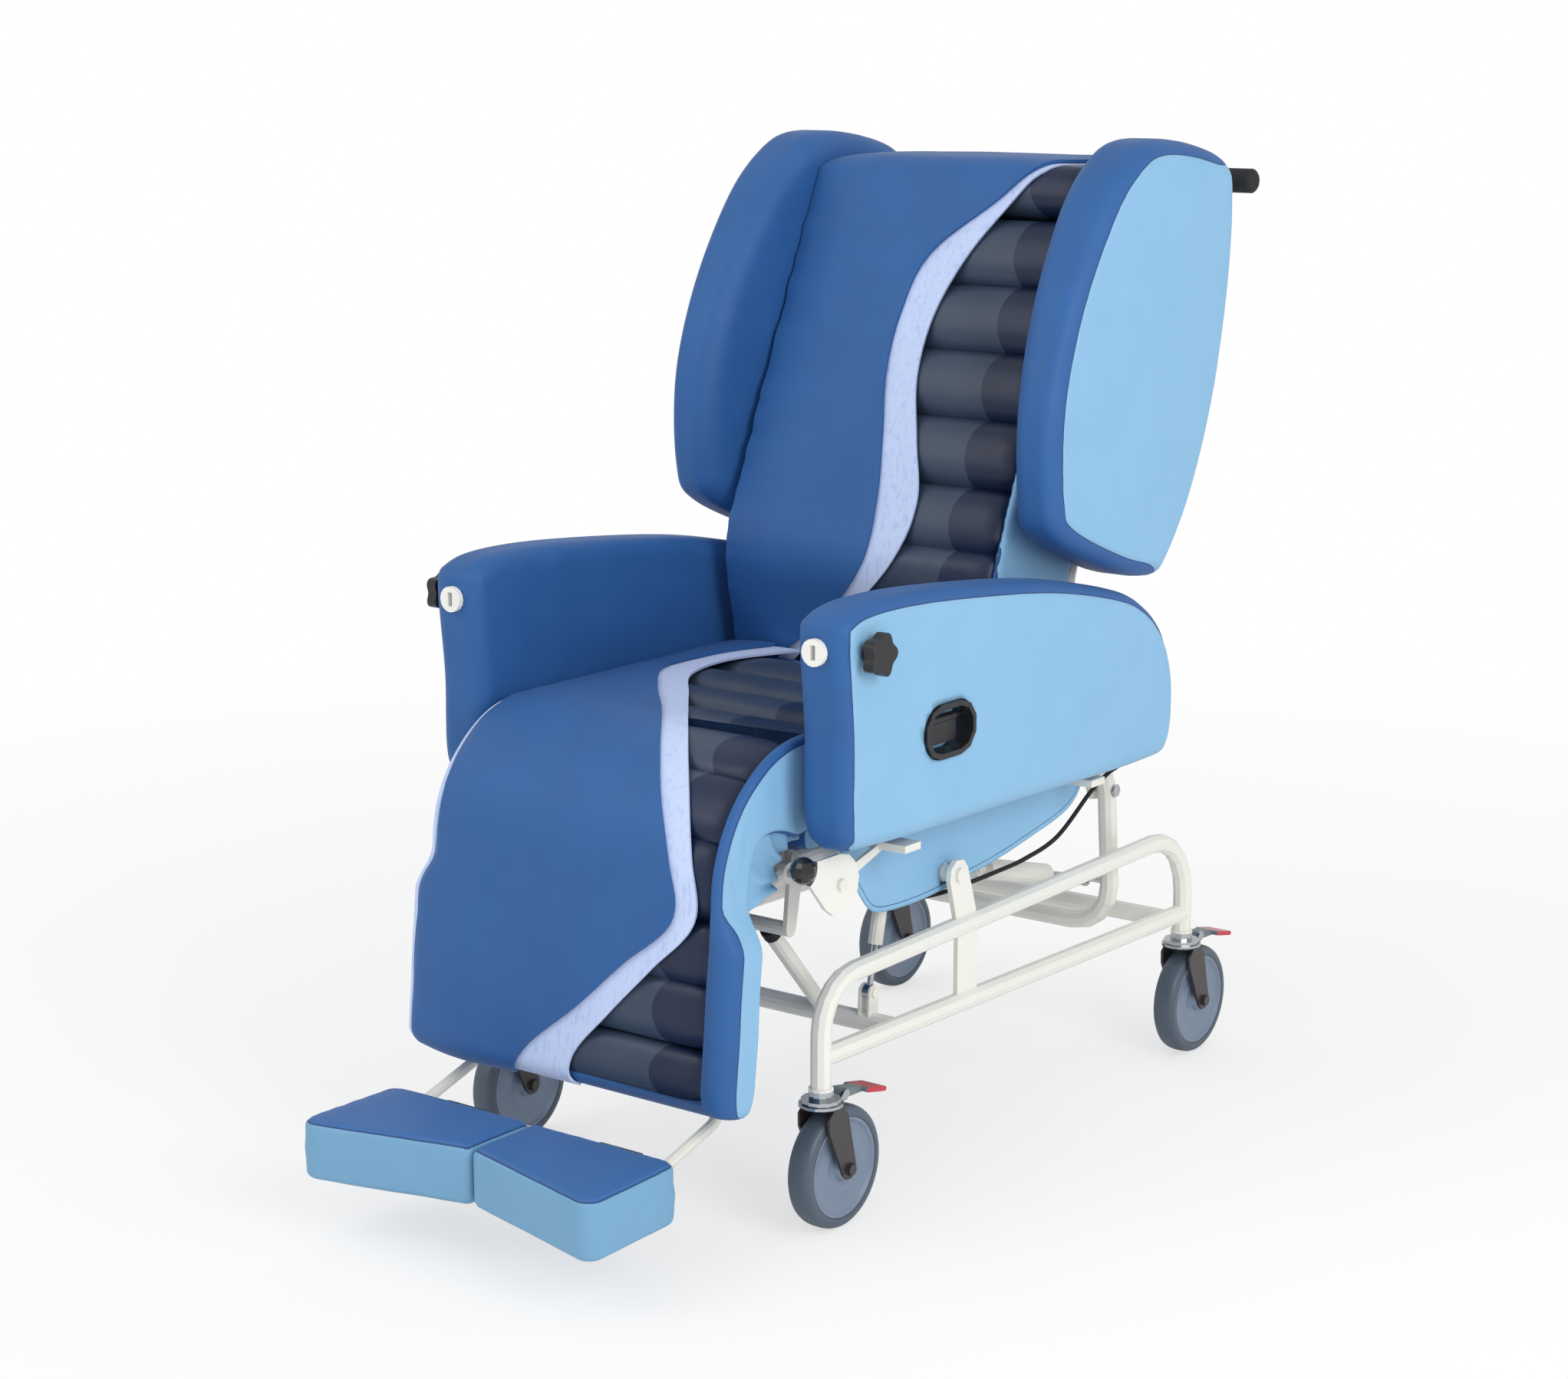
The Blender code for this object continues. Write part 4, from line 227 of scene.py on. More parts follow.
def split_finish(name, first, second, centre, radius=None):
    """The second recipe inside a ball round a centre or, with no radius, below its height."""
    material, output = new_material(name)
    tree = material.node_tree
    spot = add_node(tree, "ShaderNodeTexCoord")
    if radius is None:
        parts = add_node(tree, "ShaderNodeSeparateXYZ", {0: spot.outputs["Object"]})
        value, limit = parts.outputs["Z"], centre.z
    else:
        away = add_node(tree, "ShaderNodeVectorMath", {0: spot.outputs["Object"], 1: centre},
                        operation="DISTANCE")
        value, limit = away.outputs["Value"], radius
    inside = add_node(tree, "ShaderNodeMath", {0: value, 1: limit}, operation="LESS_THAN")
    shaders = []
    for code, roughness, metallic, coat in (first, second):
        bump = grain(tree, SPLIT_GRAIN_MM, SPLIT_GRAIN_DEPTH_MM)
        shaders.append(add_node(tree, "ShaderNodeBsdfPrincipled", {
            "Base Color": linear(code), "Roughness": roughness, "Metallic": metallic,
            "Coat Weight": coat, "Normal": bump.outputs["Normal"]}))
    mixed = add_node(tree, "ShaderNodeMixShader", {0: inside.outputs[0], 1: shaders[0].outputs[0],
                                                   2: shaders[1].outputs[0]})
    return finish_material(material, output, mixed)


# Colour, roughness, metallic and clear coat
PAINTED = ("#e9e8e0", 0.34, 0.0, 0.25)
PLATED = ("#b9bcc0", 0.16, 1.0, 0.0)
BALL_PLASTIC = ("#141416", 0.22, 0.0, 0.3)
STEM_TOP_Z = 175.5
LEVER_BALL_AT, LEVER_BALL_R = (262, -466, 455), 24 * MM
BASE_COAT = split_finish("powder_coat_on_plated_stems", PAINTED, PLATED, place(0, 0, STEM_TOP_Z))
LEVER_FINISH = split_finish("painted_lever_with_plastic_ball", PAINTED, BALL_PLASTIC,
                            place(*LEVER_BALL_AT), LEVER_BALL_R)
print("split finishes:", BASE_COAT.name, "and", LEVER_FINISH.name)

# %% [markdown]
# ## The castor wheel
#
# The wheel is a blue-grey nylon disc with a softer polyurethane tread moulded round it. From the
# side the tread is a ring with a fine joint line. Distance from the axle tells tread from disc, so
# each wheel has its own copy of the recipe, centred on its own axle.


# %% A recipe for one wheel, round its own axle
WHEEL_R = 75 * MM
TREAD_IN = 60.5 * MM
JOINT_W = 1.2 * MM
WHEEL_GRAIN_MM, WHEEL_GRAIN_DEPTH_MM = 2.5, 0.05
DISC_BLUE = "#76859a"
TREAD_GREY = "#4d5967"
JOINT_DARK = "#2c3138"


def wheel_finish(corner, axle):
    """Blue-grey disc and grey tread with a dark joint, told apart by distance from the axle."""
    material, output = new_material("polyurethane_tread_" + corner)
    tree = material.node_tree
    spot = add_node(tree, "ShaderNodeTexCoord")
    centred = add_node(tree, "ShaderNodeVectorMath", {0: spot.outputs["Object"], 1: axle},
                       operation="SUBTRACT")
    side_on = add_node(tree, "ShaderNodeVectorMath", {0: centred.outputs[0], 1: (0, 1, 1)},
                       operation="MULTIPLY")
    away = add_node(tree, "ShaderNodeVectorMath", {0: side_on.outputs[0]}, operation="LENGTH")
    scaled = add_node(tree, "ShaderNodeMath", {0: away.outputs["Value"], 1: 1 / WHEEL_R},
                      operation="MULTIPLY")
    ramp = add_node(tree, "ShaderNodeValToRGB", {0: scaled.outputs[0]})
    ramp.color_ramp.interpolation = "CONSTANT"
    stops = ramp.color_ramp.elements
    stops[0].color = linear(DISC_BLUE)
    stops[1].position = (TREAD_IN + JOINT_W) / WHEEL_R
    stops[1].color = linear(TREAD_GREY)
    stops.new(TREAD_IN / WHEEL_R).color = linear(JOINT_DARK)
    bump = grain(tree, WHEEL_GRAIN_MM, WHEEL_GRAIN_DEPTH_MM)
    shader = add_node(tree, "ShaderNodeBsdfPrincipled", {
        "Base Color": ramp.outputs["Color"], "Roughness": 0.38, "Normal": bump.outputs["Normal"]})
    return finish_material(material, output, shader)


print("tread from", round(TREAD_IN / MM, 1), "to", round(WHEEL_R / MM, 1), "mm")


# %% [markdown]
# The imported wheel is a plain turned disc. Here it is turned again with the section of the real
# one: a bored hub, a dished disc with a raised ring, the groove at the joint, and a tread with
# round shoulders and a slightly crowned face.


# %% Turn the wheels
WHEEL_STEPS = 80
# Distance from the axle and half width there, in millimetres, from the bore out to the tread
WHEEL_SECTION = ((4.3, 19.5), (13.8, 19.5), (15, 18.6), (15.2, 13), (17, 12), (26, 11.6), (28, 12.6),
                 (31, 12.6), (33, 11.6), (53, 11.6), (56, 13), (57.5, 15.6), (60, 16), (61, 15.2),
                 (62, 16), (67, 16), (70.5, 15), (72.8, 13), (74.3, 9.5), (74.9, 5), (75, 0))


def wheel_mesh(axle):
    """The half section and its mirror, carried round the axle and closed along the bore."""
    half = np.array(WHEEL_SECTION) * MM
    section = np.concatenate([half, half[-2::-1] * (1, -1)])
    turns = np.linspace(0, 2 * math.pi, WHEEL_STEPS, endpoint=False)[:, None]
    radius, along = section[:, 0], section[:, 1]
    points = np.stack([np.broadcast_to(along, (WHEEL_STEPS, len(section))), radius * np.sin(turns),
                       -radius * np.cos(turns)], axis=2) + np.array(axle)
    count = len(section)
    first = np.arange(WHEEL_STEPS)[:, None] * count
    after = np.roll(first, -1)
    here, there = np.arange(count), np.roll(np.arange(count), -1)
    faces = np.stack([first + here, first + there, after + there, after + here], axis=2)
    mesh = bpy.data.meshes.new("turned_wheel")
    mesh.from_pydata(points.reshape(-1, 3).tolist(), [], faces.reshape(-1, 4).tolist())
    mesh.shade_smooth()
    return mesh


CORNERS = ("front_left", "front_right", "rear_left", "rear_right")
for corner in CORNERS:
    low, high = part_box("castor_wheel_" + corner)
    axle = (Vector(low) + Vector(high)) / 2
    wheel = new_object("turned_wheel_" + corner, wheel_mesh(axle))
    wheel.data.materials.append(wheel_finish(corner, axle))
    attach(wheel, "wheel_" + corner)
    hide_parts("castor_wheel_" + corner)
print("turned", len(CORNERS), "wheels of", len(wheel.data.polygons), "faces")

# %% [markdown]
# ## Which hard piece gets which finish
#
# The fork's swivel head is plated and its legs are lacquered, so it is split by height like the
# stem above it. The pedal is grey round its upper front corner and red beyond, so a ball splits it.


# %% Finish the hard pieces
PEDAL_RED = ("#c0152c", 0.35, 0.0, 0.3)
PEDAL_GREY = ("#6d797e", 0.45, 0.0, 0.0)
HARD_LOOKS = {
    "base_frame": BASE_COAT, "seat_frame": COAT, "backrest_frame": COAT, "legrest_frame": COAT,
    "footrest_tubes": COAT, "legrest_lever": LEVER_FINISH, "legrest_hinge_rod": ZINC,
    "seat_stop_buffer_left": RUBBER, "seat_stop_buffer_right": RUBBER, "tilt_spring_rod": ZINC,
    "tilt_spring_cylinder": COAT, "recline_spring_cylinder": COAT, "recline_spring_rod": ZINC,
    "backrest_pivot_bolt_left": ZINC, "backrest_pivot_bolt_right": ZINC, "tray_socket_left": NYLON,
    "tray_socket_right": NYLON, "socket_knob_left": BLACK, "socket_knob_right": BLACK,
    "release_bezel": BLACK, "release_lever": BLACK, "footrest_hinge": BLACK, "push_grip_left": FOAM_GRIP,
    "push_grip_right": FOAM_GRIP}
FORK_LACQUER = ("#332c2c", 0.38, 0.0, 0.2)
HEAD_FOOT_Z = 157.5
SWIVEL_HEAD = split_finish("lacquered_fork_with_plated_head", PLATED, FORK_LACQUER, place(0, 0, HEAD_FOOT_Z))
PEDAL_GREY_R = 46 * MM
for corner in CORNERS:
    HARD_LOOKS["castor_fork_" + corner] = SWIVEL_HEAD
    low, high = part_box("castor_pedal_" + corner)
    grey_at = Vector(((low[0] + high[0]) / 2, low[1], high[2]))
    HARD_LOOKS["castor_pedal_" + corner] = split_finish("moulded_pedal_" + corner, PEDAL_RED, PEDAL_GREY,
                                                        grey_at, PEDAL_GREY_R)

for name, finish in HARD_LOOKS.items():
    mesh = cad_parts[name].data
    mesh.materials.clear()
    mesh.materials.append(finish)
print("finished", len(HARD_LOOKS), "hard nodes")

# %% [markdown]
# ## The cover cloth
#
# The covers are a soft coated stretch cloth, the kind that wipes clean: a fine knit shows through
# the coating, and broad slack folds catch the light. Every cover piece carries a number at each of
# its points that says how far the point lies from the seam where the light panel meets the dark
# one. The shader reads it, so one recipe serves all the pieces, and on the boards the seam runs
# just where the mesh has its groove.


# %% The knit's relief and its drifting colour
DARK_BLUE = "#2d63a2"
DARK_SHADE = "#265894"
LIGHT_BLUE = "#8cbcde"
LIGHT_SHADE = "#82b3d6"
SEAM_LINE = "#2c4a7c"
SEAM_HALF_MM = 0.8
DYE_PATCH_MM = 70.0
# Loops of a millimetre are coarser than a fine knit's, so that they show close up
KNIT_MM, SLACK_MM, SLACK_DEPTH_MM = 0.9, 46.0, 1.1


def fabric_bump(tree, weave_mm, fold_mm, fold_depth_mm):
    """A knit's fine grid under broad, slack folds."""
    spot = add_node(tree, "ShaderNodeTexCoord")
    folds = add_node(tree, "ShaderNodeTexNoise", {"Vector": spot.outputs["Object"],
                                                  "Scale": 1 / (fold_mm * MM), "Detail": 3.0,
                                                  "Roughness": 0.45})
    slack = add_node(tree, "ShaderNodeBump", {"Strength": 1.0, "Distance": fold_depth_mm * MM,
                                              "Height": folds.outputs["Fac"]})
    knit = add_node(tree, "ShaderNodeTexVoronoi", {"Vector": spot.outputs["Object"],
                                                   "Scale": 1 / (weave_mm * MM), "Randomness": 0.55})
    return add_node(tree, "ShaderNodeBump", {"Strength": 0.5, "Distance": weave_mm * 0.12 * MM,
                                             "Height": knit.outputs["Distance"],
                                             "Normal": slack.outputs["Normal"]})


def shade_pair(tree, code, shade, size_mm):
    """A colour that drifts a little, as dyed cloth does."""
    spot = add_node(tree, "ShaderNodeTexCoord")
    cloud = add_node(tree, "ShaderNodeTexNoise", {"Vector": spot.outputs["Object"],
                                                  "Scale": 1 / (size_mm * MM), "Detail": 4.0})
    return add_node(tree, "ShaderNodeMix", {0: cloud.outputs["Fac"], COLOUR_A: linear(code),
                                            COLOUR_B: linear(shade)}, data_type="RGBA")


print("knit of", KNIT_MM, "mm under folds of", SLACK_MM, "mm")


# %% Two-colour cloth that reads its seam from the mesh
def cloth(name, dark=(DARK_BLUE, DARK_SHADE), light=(LIGHT_BLUE, LIGHT_SHADE)):
    """Light where the point's seam number is above zero, dark below it, with the seam's line between."""
    material, output = new_material(name)
    tree = material.node_tree
    seam = add_node(tree, "ShaderNodeAttribute", attribute_name="seam")
    outside = add_node(tree, "ShaderNodeMath", {0: seam.outputs["Fac"], 1: 0.0}, operation="GREATER_THAN")
    away = add_node(tree, "ShaderNodeMath", {0: seam.outputs["Fac"]}, operation="ABSOLUTE")
    near = add_node(tree, "ShaderNodeMath", {0: away.outputs[0], 1: SEAM_HALF_MM * MM}, operation="LESS_THAN")
    deep = shade_pair(tree, *dark, DYE_PATCH_MM)
    pale = shade_pair(tree, *light, DYE_PATCH_MM)
    panels = add_node(tree, "ShaderNodeMix", {0: outside.outputs[0], COLOUR_A: deep.outputs[COLOUR_MIXED],
                                              COLOUR_B: pale.outputs[COLOUR_MIXED]}, data_type="RGBA")
    sewn = add_node(tree, "ShaderNodeMix", {0: near.outputs[0], COLOUR_A: panels.outputs[COLOUR_MIXED],
                                            COLOUR_B: linear(SEAM_LINE)}, data_type="RGBA")
    bump = fabric_bump(tree, KNIT_MM, SLACK_MM, SLACK_DEPTH_MM)
    shader = add_node(tree, "ShaderNodeBsdfPrincipled", {
        "Base Color": sewn.outputs[COLOUR_MIXED], "Roughness": 0.56, "Specular IOR Level": 0.35,
        "Sheen Weight": 0.04, "Sheen Roughness": 0.45, "Normal": bump.outputs["Normal"]})
    return finish_material(material, output, shader)


COVER_CLOTH = cloth("coated_stretch_cloth")
print("cover cloth:", len(COVER_CLOTH.node_tree.nodes), "nodes")

# %% [markdown]
# ## Outlines and padded panels
#
# An arm or a wing is a foam board in a sewn cover. Its side view is a smooth outline, and its
# section has round edges and a middle that the foam swells a little. A few outline points, as
# shares of the board's box, are joined by a spline that passes through them all. The faces are
# then filled by a triangulation whose points keep set distances from the outline, so that the
# round edge and the seam get rows of their own.


# %% Smooth outlines
SPLINE_STEPS = 16


def spline(points, closed, spacing):
    """Points at an even spacing on a Catmull-Rom curve through the given ones."""
    spots = [np.array(point, dtype=float) for point in points]
    count = len(spots)
    if closed:
        spots = [spots[-1]] + spots + spots[:2]
    else:
        spots = [spots[0] * 2 - spots[1]] + spots + [spots[-1] * 2 - spots[-2]]
        count -= 1
    fine = []
    for k in range(count):
        a, b, c, d = spots[k:k + 4]
        for step in range(SPLINE_STEPS):
            t = step / SPLINE_STEPS
            fine.append(0.5 * (2 * b + (c - a) * t + (2 * a - 5 * b + 4 * c - d) * t * t
                               + (3 * b - a - 3 * c + d) * t ** 3))
    fine.append(spots[1] if closed else spots[-2])
    fine = np.array(fine)
    gone = np.concatenate([[0], np.cumsum(np.linalg.norm(np.diff(fine, axis=0), axis=1))])
    number = max(4, round(gone[-1] / spacing))
    marks = np.linspace(0, gone[-1], number + 1)
    even = np.stack([np.interp(marks, gone, fine[:, axis]) for axis in range(fine.shape[1])], axis=1)
    return even[:-1] if closed else even


def box_outline(shares, low, high, spacing=7 * MM):
    """A closed smooth outline from shares of a box's length and height."""
    low, high = np.array(low), np.array(high)
    return spline([low + (high - low) * np.array(share) for share in shares], True, spacing)


print("a spline takes", SPLINE_STEPS, "fine steps between two points")


# %% A panel that fills an outline
def edge_distance(points, outline):
    """Each point's distance to a closed outline, its nearest stretch, and how far along that."""
    a = outline
    b = np.roll(outline, -1, axis=0)
    along = b - a
    reach = (along ** 2).sum(axis=1)
    offset = points[:, None, :] - a[None]
    part = np.clip((offset * along[None]).sum(axis=2) / reach[None], 0, 1)
    gap = np.linalg.norm(offset - part[:, :, None] * along[None], axis=2)
    nearest = gap.argmin(axis=1)
    return gap.min(axis=1), nearest, part[np.arange(len(points)), nearest]


def filled_panel(outline, insets, spacing):
    """Points and triangles that fill an outline, with rows of points at the given insets."""
    before, after = np.roll(outline, 1, axis=0), np.roll(outline, -1, axis=0)
    along = after - before
    along /= np.linalg.norm(along, axis=1)[:, None]
    inward = np.stack([-along[:, 1], along[:, 0]], axis=1)
    area = np.sum(outline[:, 0] * after[:, 1] - after[:, 0] * outline[:, 1])
    inward *= 1 if area > 0 else -1
    rows = [outline]
    for inset in insets[1:]:
        row = outline + inward * inset
        gap = edge_distance(row, outline)[0]
        row = row[gap > inset * 0.97]
        rows.append(row)
    low, high = outline.min(axis=0), outline.max(axis=0)
    grid = np.array([(u, v) for u in np.arange(low[0], high[0], spacing)
                     for v in np.arange(low[1], high[1], spacing)])
    gap = edge_distance(grid, outline)[0]
    rows.append(grid[gap > insets[-1] + spacing * 0.6])
    points = [Vector(p) for p in np.concatenate(rows)]
    edges = [(k, (k + 1) % len(outline)) for k in range(len(outline))]
    filled = delaunay_2d_cdt(points, edges, [], 1, 1e-6)
    places, faces = filled[0], filled[2]
    return np.array([tuple(p) for p in places]), [tuple(face) for face in faces]


print("outline helpers ready")

# %% [markdown]
# ## Arms and wings
#
# Each board is two crowned faces and a round edge. The sewn seam runs a little inside the outline
# on the outer face only: there the light panel ends and the dark band begins, which wraps the
# front, the top and the inner face. At the arm's foot and rear, and at the wing's rear, the light
# panel goes round the edge. The thread pulls the cloth into a shallow groove with small puckers.


# %% Where a board's seam and its rows of points lie
PANEL_SPACING = 13 * MM
EDGE_ANGLES = (0, 12, 24, 36, 48, 60, 75, 90)
SEAM_ROWS_MM = (-5, -2.5, -0.9, 0.9, 2.5, 5)
LEAST_INSET = 0.5 * MM
SMOOTH_PASSES, SMOOTH_REACH = 3, 3


def seam_inset(outline, spans, inset):
    """How far the seam lies inside each stretch of an outline, and as far outside it on open spans."""
    found = np.full(len(outline), inset)
    low, high = outline.min(axis=0), outline.max(axis=0)
    share = (outline - low) / (high - low)
    for low_u, high_u, low_v, high_v in spans:
        inside_u = (share[:, 0] >= low_u) & (share[:, 0] <= high_u)
        inside_v = (share[:, 1] >= low_v) & (share[:, 1] <= high_v)
        found[inside_u & inside_v] = -inset
    width = 2 * SMOOTH_REACH + 1
    for _ in range(SMOOTH_PASSES):
        wide = np.concatenate([found[-SMOOTH_REACH:], found, found[:SMOOTH_REACH]])
        found = np.convolve(wide, np.ones(width) / width, mode="valid")
    return found


def board_insets(edge, seam):
    """Distances from the outline that get a row of points: round the edge and beside the seam."""
    edge_rows = {edge * (1 - math.cos(math.radians(angle))) for angle in EDGE_ANGLES}
    seam_rows = {seam + offset * MM for offset in SEAM_ROWS_MM}
    return sorted(edge_rows | {inset for inset in seam_rows if inset > LEAST_INSET})


print("rows round an edge:", len(EDGE_ANGLES), "and beside a seam:", len(SEAM_ROWS_MM))


# %% The band between a board's two round edges
BAND_ROWS = 4


def band_column(shape, layer, outer, inner, inset):
    """Points across the flat band, from the outer round edge to the inner one."""
    start, end = outer.co.copy(), inner.co.copy()
    column = [outer]
    for step in range(1, BAND_ROWS):
        between = shape.verts.new(start.lerp(end, step / BAND_ROWS))
        between[layer] = -inset - abs(between.co.x - start.x)
        column.append(between)
    return column + [inner]


def band_rows(shape, layer, rims, inset_at):
    """Faces across the flat band, all the way round."""
    rim_edges = [edge for edge in shape.edges if edge.is_boundary]
    outer = {vert: k for k, vert in enumerate(rims[0])}
    columns = {}
    for edge in rim_edges:
        if edge.verts[0] not in outer:
            continue
        pair = edge.verts[:]
        for vert in pair:
            if vert not in columns:
                k = outer[vert]
                columns[vert] = band_column(shape, layer, vert, rims[1][k], inset_at[k])
        a, b = columns[pair[0]], columns[pair[1]]
        for step in range(BAND_ROWS):
            shape.faces.new((a[step], b[step], b[step + 1], a[step + 1]))


print("rows across a board's band:", BAND_ROWS)


# %% A board with round edges, a seam groove and puckers
GROOVE_DEPTH, GROOVE_HALF = 1.3 * MM, 5 * MM
PUCKER_LENGTH, PUCKER_REACH, PUCKER_MM = 14 * MM, 16 * MM, 1.1
RIPPLE_LENGTH, RIPPLE_MM = 55 * MM, 0.9
# Seam numbers of cloth that has no seam near it
ALL_DARK, ALL_LIGHT = -0.05, 0.03


def board_level(gap, edge, swell, half):
    """The face's height over the board's middle: round at the edge, swollen inside it."""
    inside = np.clip((edge - gap) / edge, 0, 1)
    drop = edge * (1 - np.sqrt(np.clip(1 - inside ** 2, 0, 1)))
    swelling = swell * (1 - np.exp(-np.maximum(gap - edge * 0.4, 0) / (0.9 * edge)))
    return half - drop + swelling


def board_mesh(name, outline, inner_x, outer_x, edge, swell, seam, spans, seed):
    """A closed board between two x values; its outer face and edge carry the seam number."""
    places, faces = filled_panel(outline, board_insets(edge, seam), PANEL_SPACING)
    gap, nearest, part = edge_distance(places, outline)
    insets_round = seam_inset(outline, spans, seam)
    inset_at = insets_round[nearest] * (1 - part) + insets_round[(nearest + 1) % len(outline)] * part
    number = gap - inset_at
    groove = GROOVE_DEPTH * np.clip(1 - np.abs(number) / GROOVE_HALF, 0, 1) ** 2
    middle, half = (inner_x + outer_x) / 2, abs(outer_x - inner_x) / 2
    outward = 1 if outer_x > inner_x else -1
    level = board_level(gap, edge, swell, half)
    shape = bmesh.new()
    layer = shape.verts.layers.float.new("seam")
    rims = []
    for side in (1, -1):
        made = []
        for k, (u, v) in enumerate(places):
            relief = noise.noise(Vector((u, v, seed + side)) / RIPPLE_LENGTH) * RIPPLE_MM * MM
            sink = 0
            if side == 1:
                pucker = noise.noise(Vector((u, v, seed)) / PUCKER_LENGTH) * PUCKER_MM * MM
                relief += pucker * math.exp(-abs(number[k]) / PUCKER_REACH)
                sink = groove[k]
            height = level[k] - sink + relief * min(1.0, gap[k] / edge)
            vert = shape.verts.new((middle + side * height * outward, u, v))
            vert[layer] = number[k] if side == 1 else ALL_DARK
            made.append(vert)
        for face in faces:
            shape.faces.new([made[i] for i in (face if side == 1 else reversed(face))])
        rims.append(made)
    band_rows(shape, layer, rims, inset_at)
    bmesh.ops.recalc_face_normals(shape, faces=shape.faces)
    return mesh_of(shape, name)


print("groove", GROOVE_DEPTH / MM, "mm deep, puckers to", PUCKER_MM, "mm")


# %% A mesh as a finished piece
def smooth(mesh):
    """Smooth shading on every face."""
    mesh.polygons.foreach_set("use_smooth", [True] * len(mesh.polygons))


def add_object(name, mesh, finish):
    """A new piece with its finish and smooth shading."""
    mesh.materials.append(finish)
    smooth(mesh)
    return new_object(name, mesh)


print("helpers for a finished piece ready")

# %% [markdown]
# The arm's knob, tray socket and release handle pass through its cover, so the cover gets holes
# there. A boolean cut makes them, a little larger than the hard pieces.


# %% Shapes that cut the holes
ROD_STEPS, SLOT_STEPS = 48, 40


def rod_cutter(name, hole, side):
    """A cylinder for cutting, from a hole's two ends and its radius, on one side of the chair."""
    *ends, radius = hole
    start, end = (place(side * x, y, z) for x, y, z in ends)
    shape = bmesh.new()
    bmesh.ops.create_cone(shape, cap_ends=True, segments=ROD_STEPS, radius1=radius, radius2=radius,
                          depth=(end - start).length)
    cutter = new_object(name, mesh_of(shape, name))
    cutter.rotation_euler = (end - start).to_track_quat("Z", "Y").to_euler()
    cutter.location = (start + end) / 2
    return cutter


def slot_cutter(name, middle, length, height, depth):
    """A rounded slot that goes into an arm's outer face."""
    shape = bmesh.new()
    reach = (length - height) / 2
    ring = []
    for k in range(SLOT_STEPS):
        turn = 2 * math.pi * k / SLOT_STEPS
        shift = reach if math.cos(turn) > 0 else -reach
        ring.append((shift + height / 2 * math.cos(turn), height / 2 * math.sin(turn)))
    ends = []
    for x in (-depth, depth):
        ends.append([shape.verts.new((middle.x + x, middle.y + u, middle.z + v)) for u, v in ring])
    for a in range(SLOT_STEPS):
        b = (a + 1) % SLOT_STEPS
        shape.faces.new((ends[0][a], ends[0][b], ends[1][b], ends[1][a]))
    shape.faces.new(list(reversed(ends[0])))
    shape.faces.new(ends[1])
    bmesh.ops.recalc_face_normals(shape, faces=shape.faces)
    return new_object(name, mesh_of(shape, name))


print("cutters have", ROD_STEPS, "and", SLOT_STEPS, "sides")


# %% Cut the holes and keep the result
def cut_holes(piece, cutters):
    """Cut the holes for good, and throw the cutters away."""
    for cutter in cutters:
        hole = piece.modifiers.new("hole", "BOOLEAN")
        hole.operation = "DIFFERENCE"
        hole.object = cutter
    apply_modifiers(piece)
    for cutter in cutters:
        bpy.data.objects.remove(cutter)


def apply_modifiers(piece):
    """Keep what the modifiers make as the piece's own mesh."""
    bpy.context.view_layer.update()
    baked = bpy.data.meshes.new_from_object(piece.evaluated_get(bpy.context.evaluated_depsgraph_get()))
    piece.modifiers.clear()
    piece.data = baked
    smooth(baked)


print("cutting helpers ready")

# %% [markdown]
# The left arm carries the release handle. The right one has the same outline on the other side, no
# handle, and folds of its own. The four boards are all made by one function.

# %% Outlines of the arms and the wings
# Shares of the board's box, length and then height, from low at the front and round to the rear
ARM_SHARES = ((0.02, 0.10), (0.10, 0.035), (0.50, 0.015), (0.90, 0.0), (0.985, 0.05), (1.0, 0.32),
              (0.965, 0.55), (0.90, 0.70), (0.80, 0.80), (0.58, 0.91), (0.28, 0.985), (0.10, 1.0),
              (0.02, 0.965), (0.0, 0.88), (0.012, 0.5))
WING_SHARES = ((0.08, 0.13), (0.35, 0.035), (0.55, 0.0), (0.63, 0.02), (0.78, 0.17), (0.91, 0.40),
               (0.985, 0.66), (1.0, 0.84), (0.965, 0.94), (0.78, 0.985), (0.54, 1.0), (0.40, 0.965),
               (0.25, 0.86), (0.10, 0.66), (0.015, 0.44), (0.015, 0.22))
ARM_INNER, ARM_OUTER = 242 * MM, 317 * MM
WING_INNER, WING_OUTER = 214 * MM, 305 * MM
arm_low, arm_high = place(0, -462, 462), place(0, 272, 760)
wing_low, wing_high = place(0, 2, 700), place(0, 422, 1256)
arm_outline = box_outline(ARM_SHARES, (arm_low.y, arm_low.z), (arm_high.y, arm_high.z))
wing_outline = box_outline(WING_SHARES, (wing_low.y, wing_low.z), (wing_high.y, wing_high.z))
# Open spans, as shares of the same box, where the light panel goes round the edge
ARM_OPEN = ((0.05, 1.0, 0.0, 0.12), (0.93, 1.0, 0.0, 0.45))
WING_OPEN = ((0.60, 1.0, 0.0, 0.93),)
print("arm outline:", len(arm_outline), "points; wing outline:", len(wing_outline), "points")


# %% A board of the cover cloth, and a wing's thin front
FOAM_SWELL = 0.6 * MM
WING_FRONT_Y, WING_FULL_Y = 2, 230
WING_THINNED, WING_REACHED = 26 * MM, 24 * MM


def board(name, outline, across, edge, seam, spans, seed, side):
    """A board between two distances from the chair's middle, on one side of it."""
    inner, outer = across
    mesh = board_mesh(name, outline, inner * side, outer * side, edge, FOAM_SWELL, seam, spans, seed)
    return add_object(name, mesh, COVER_CLOTH)


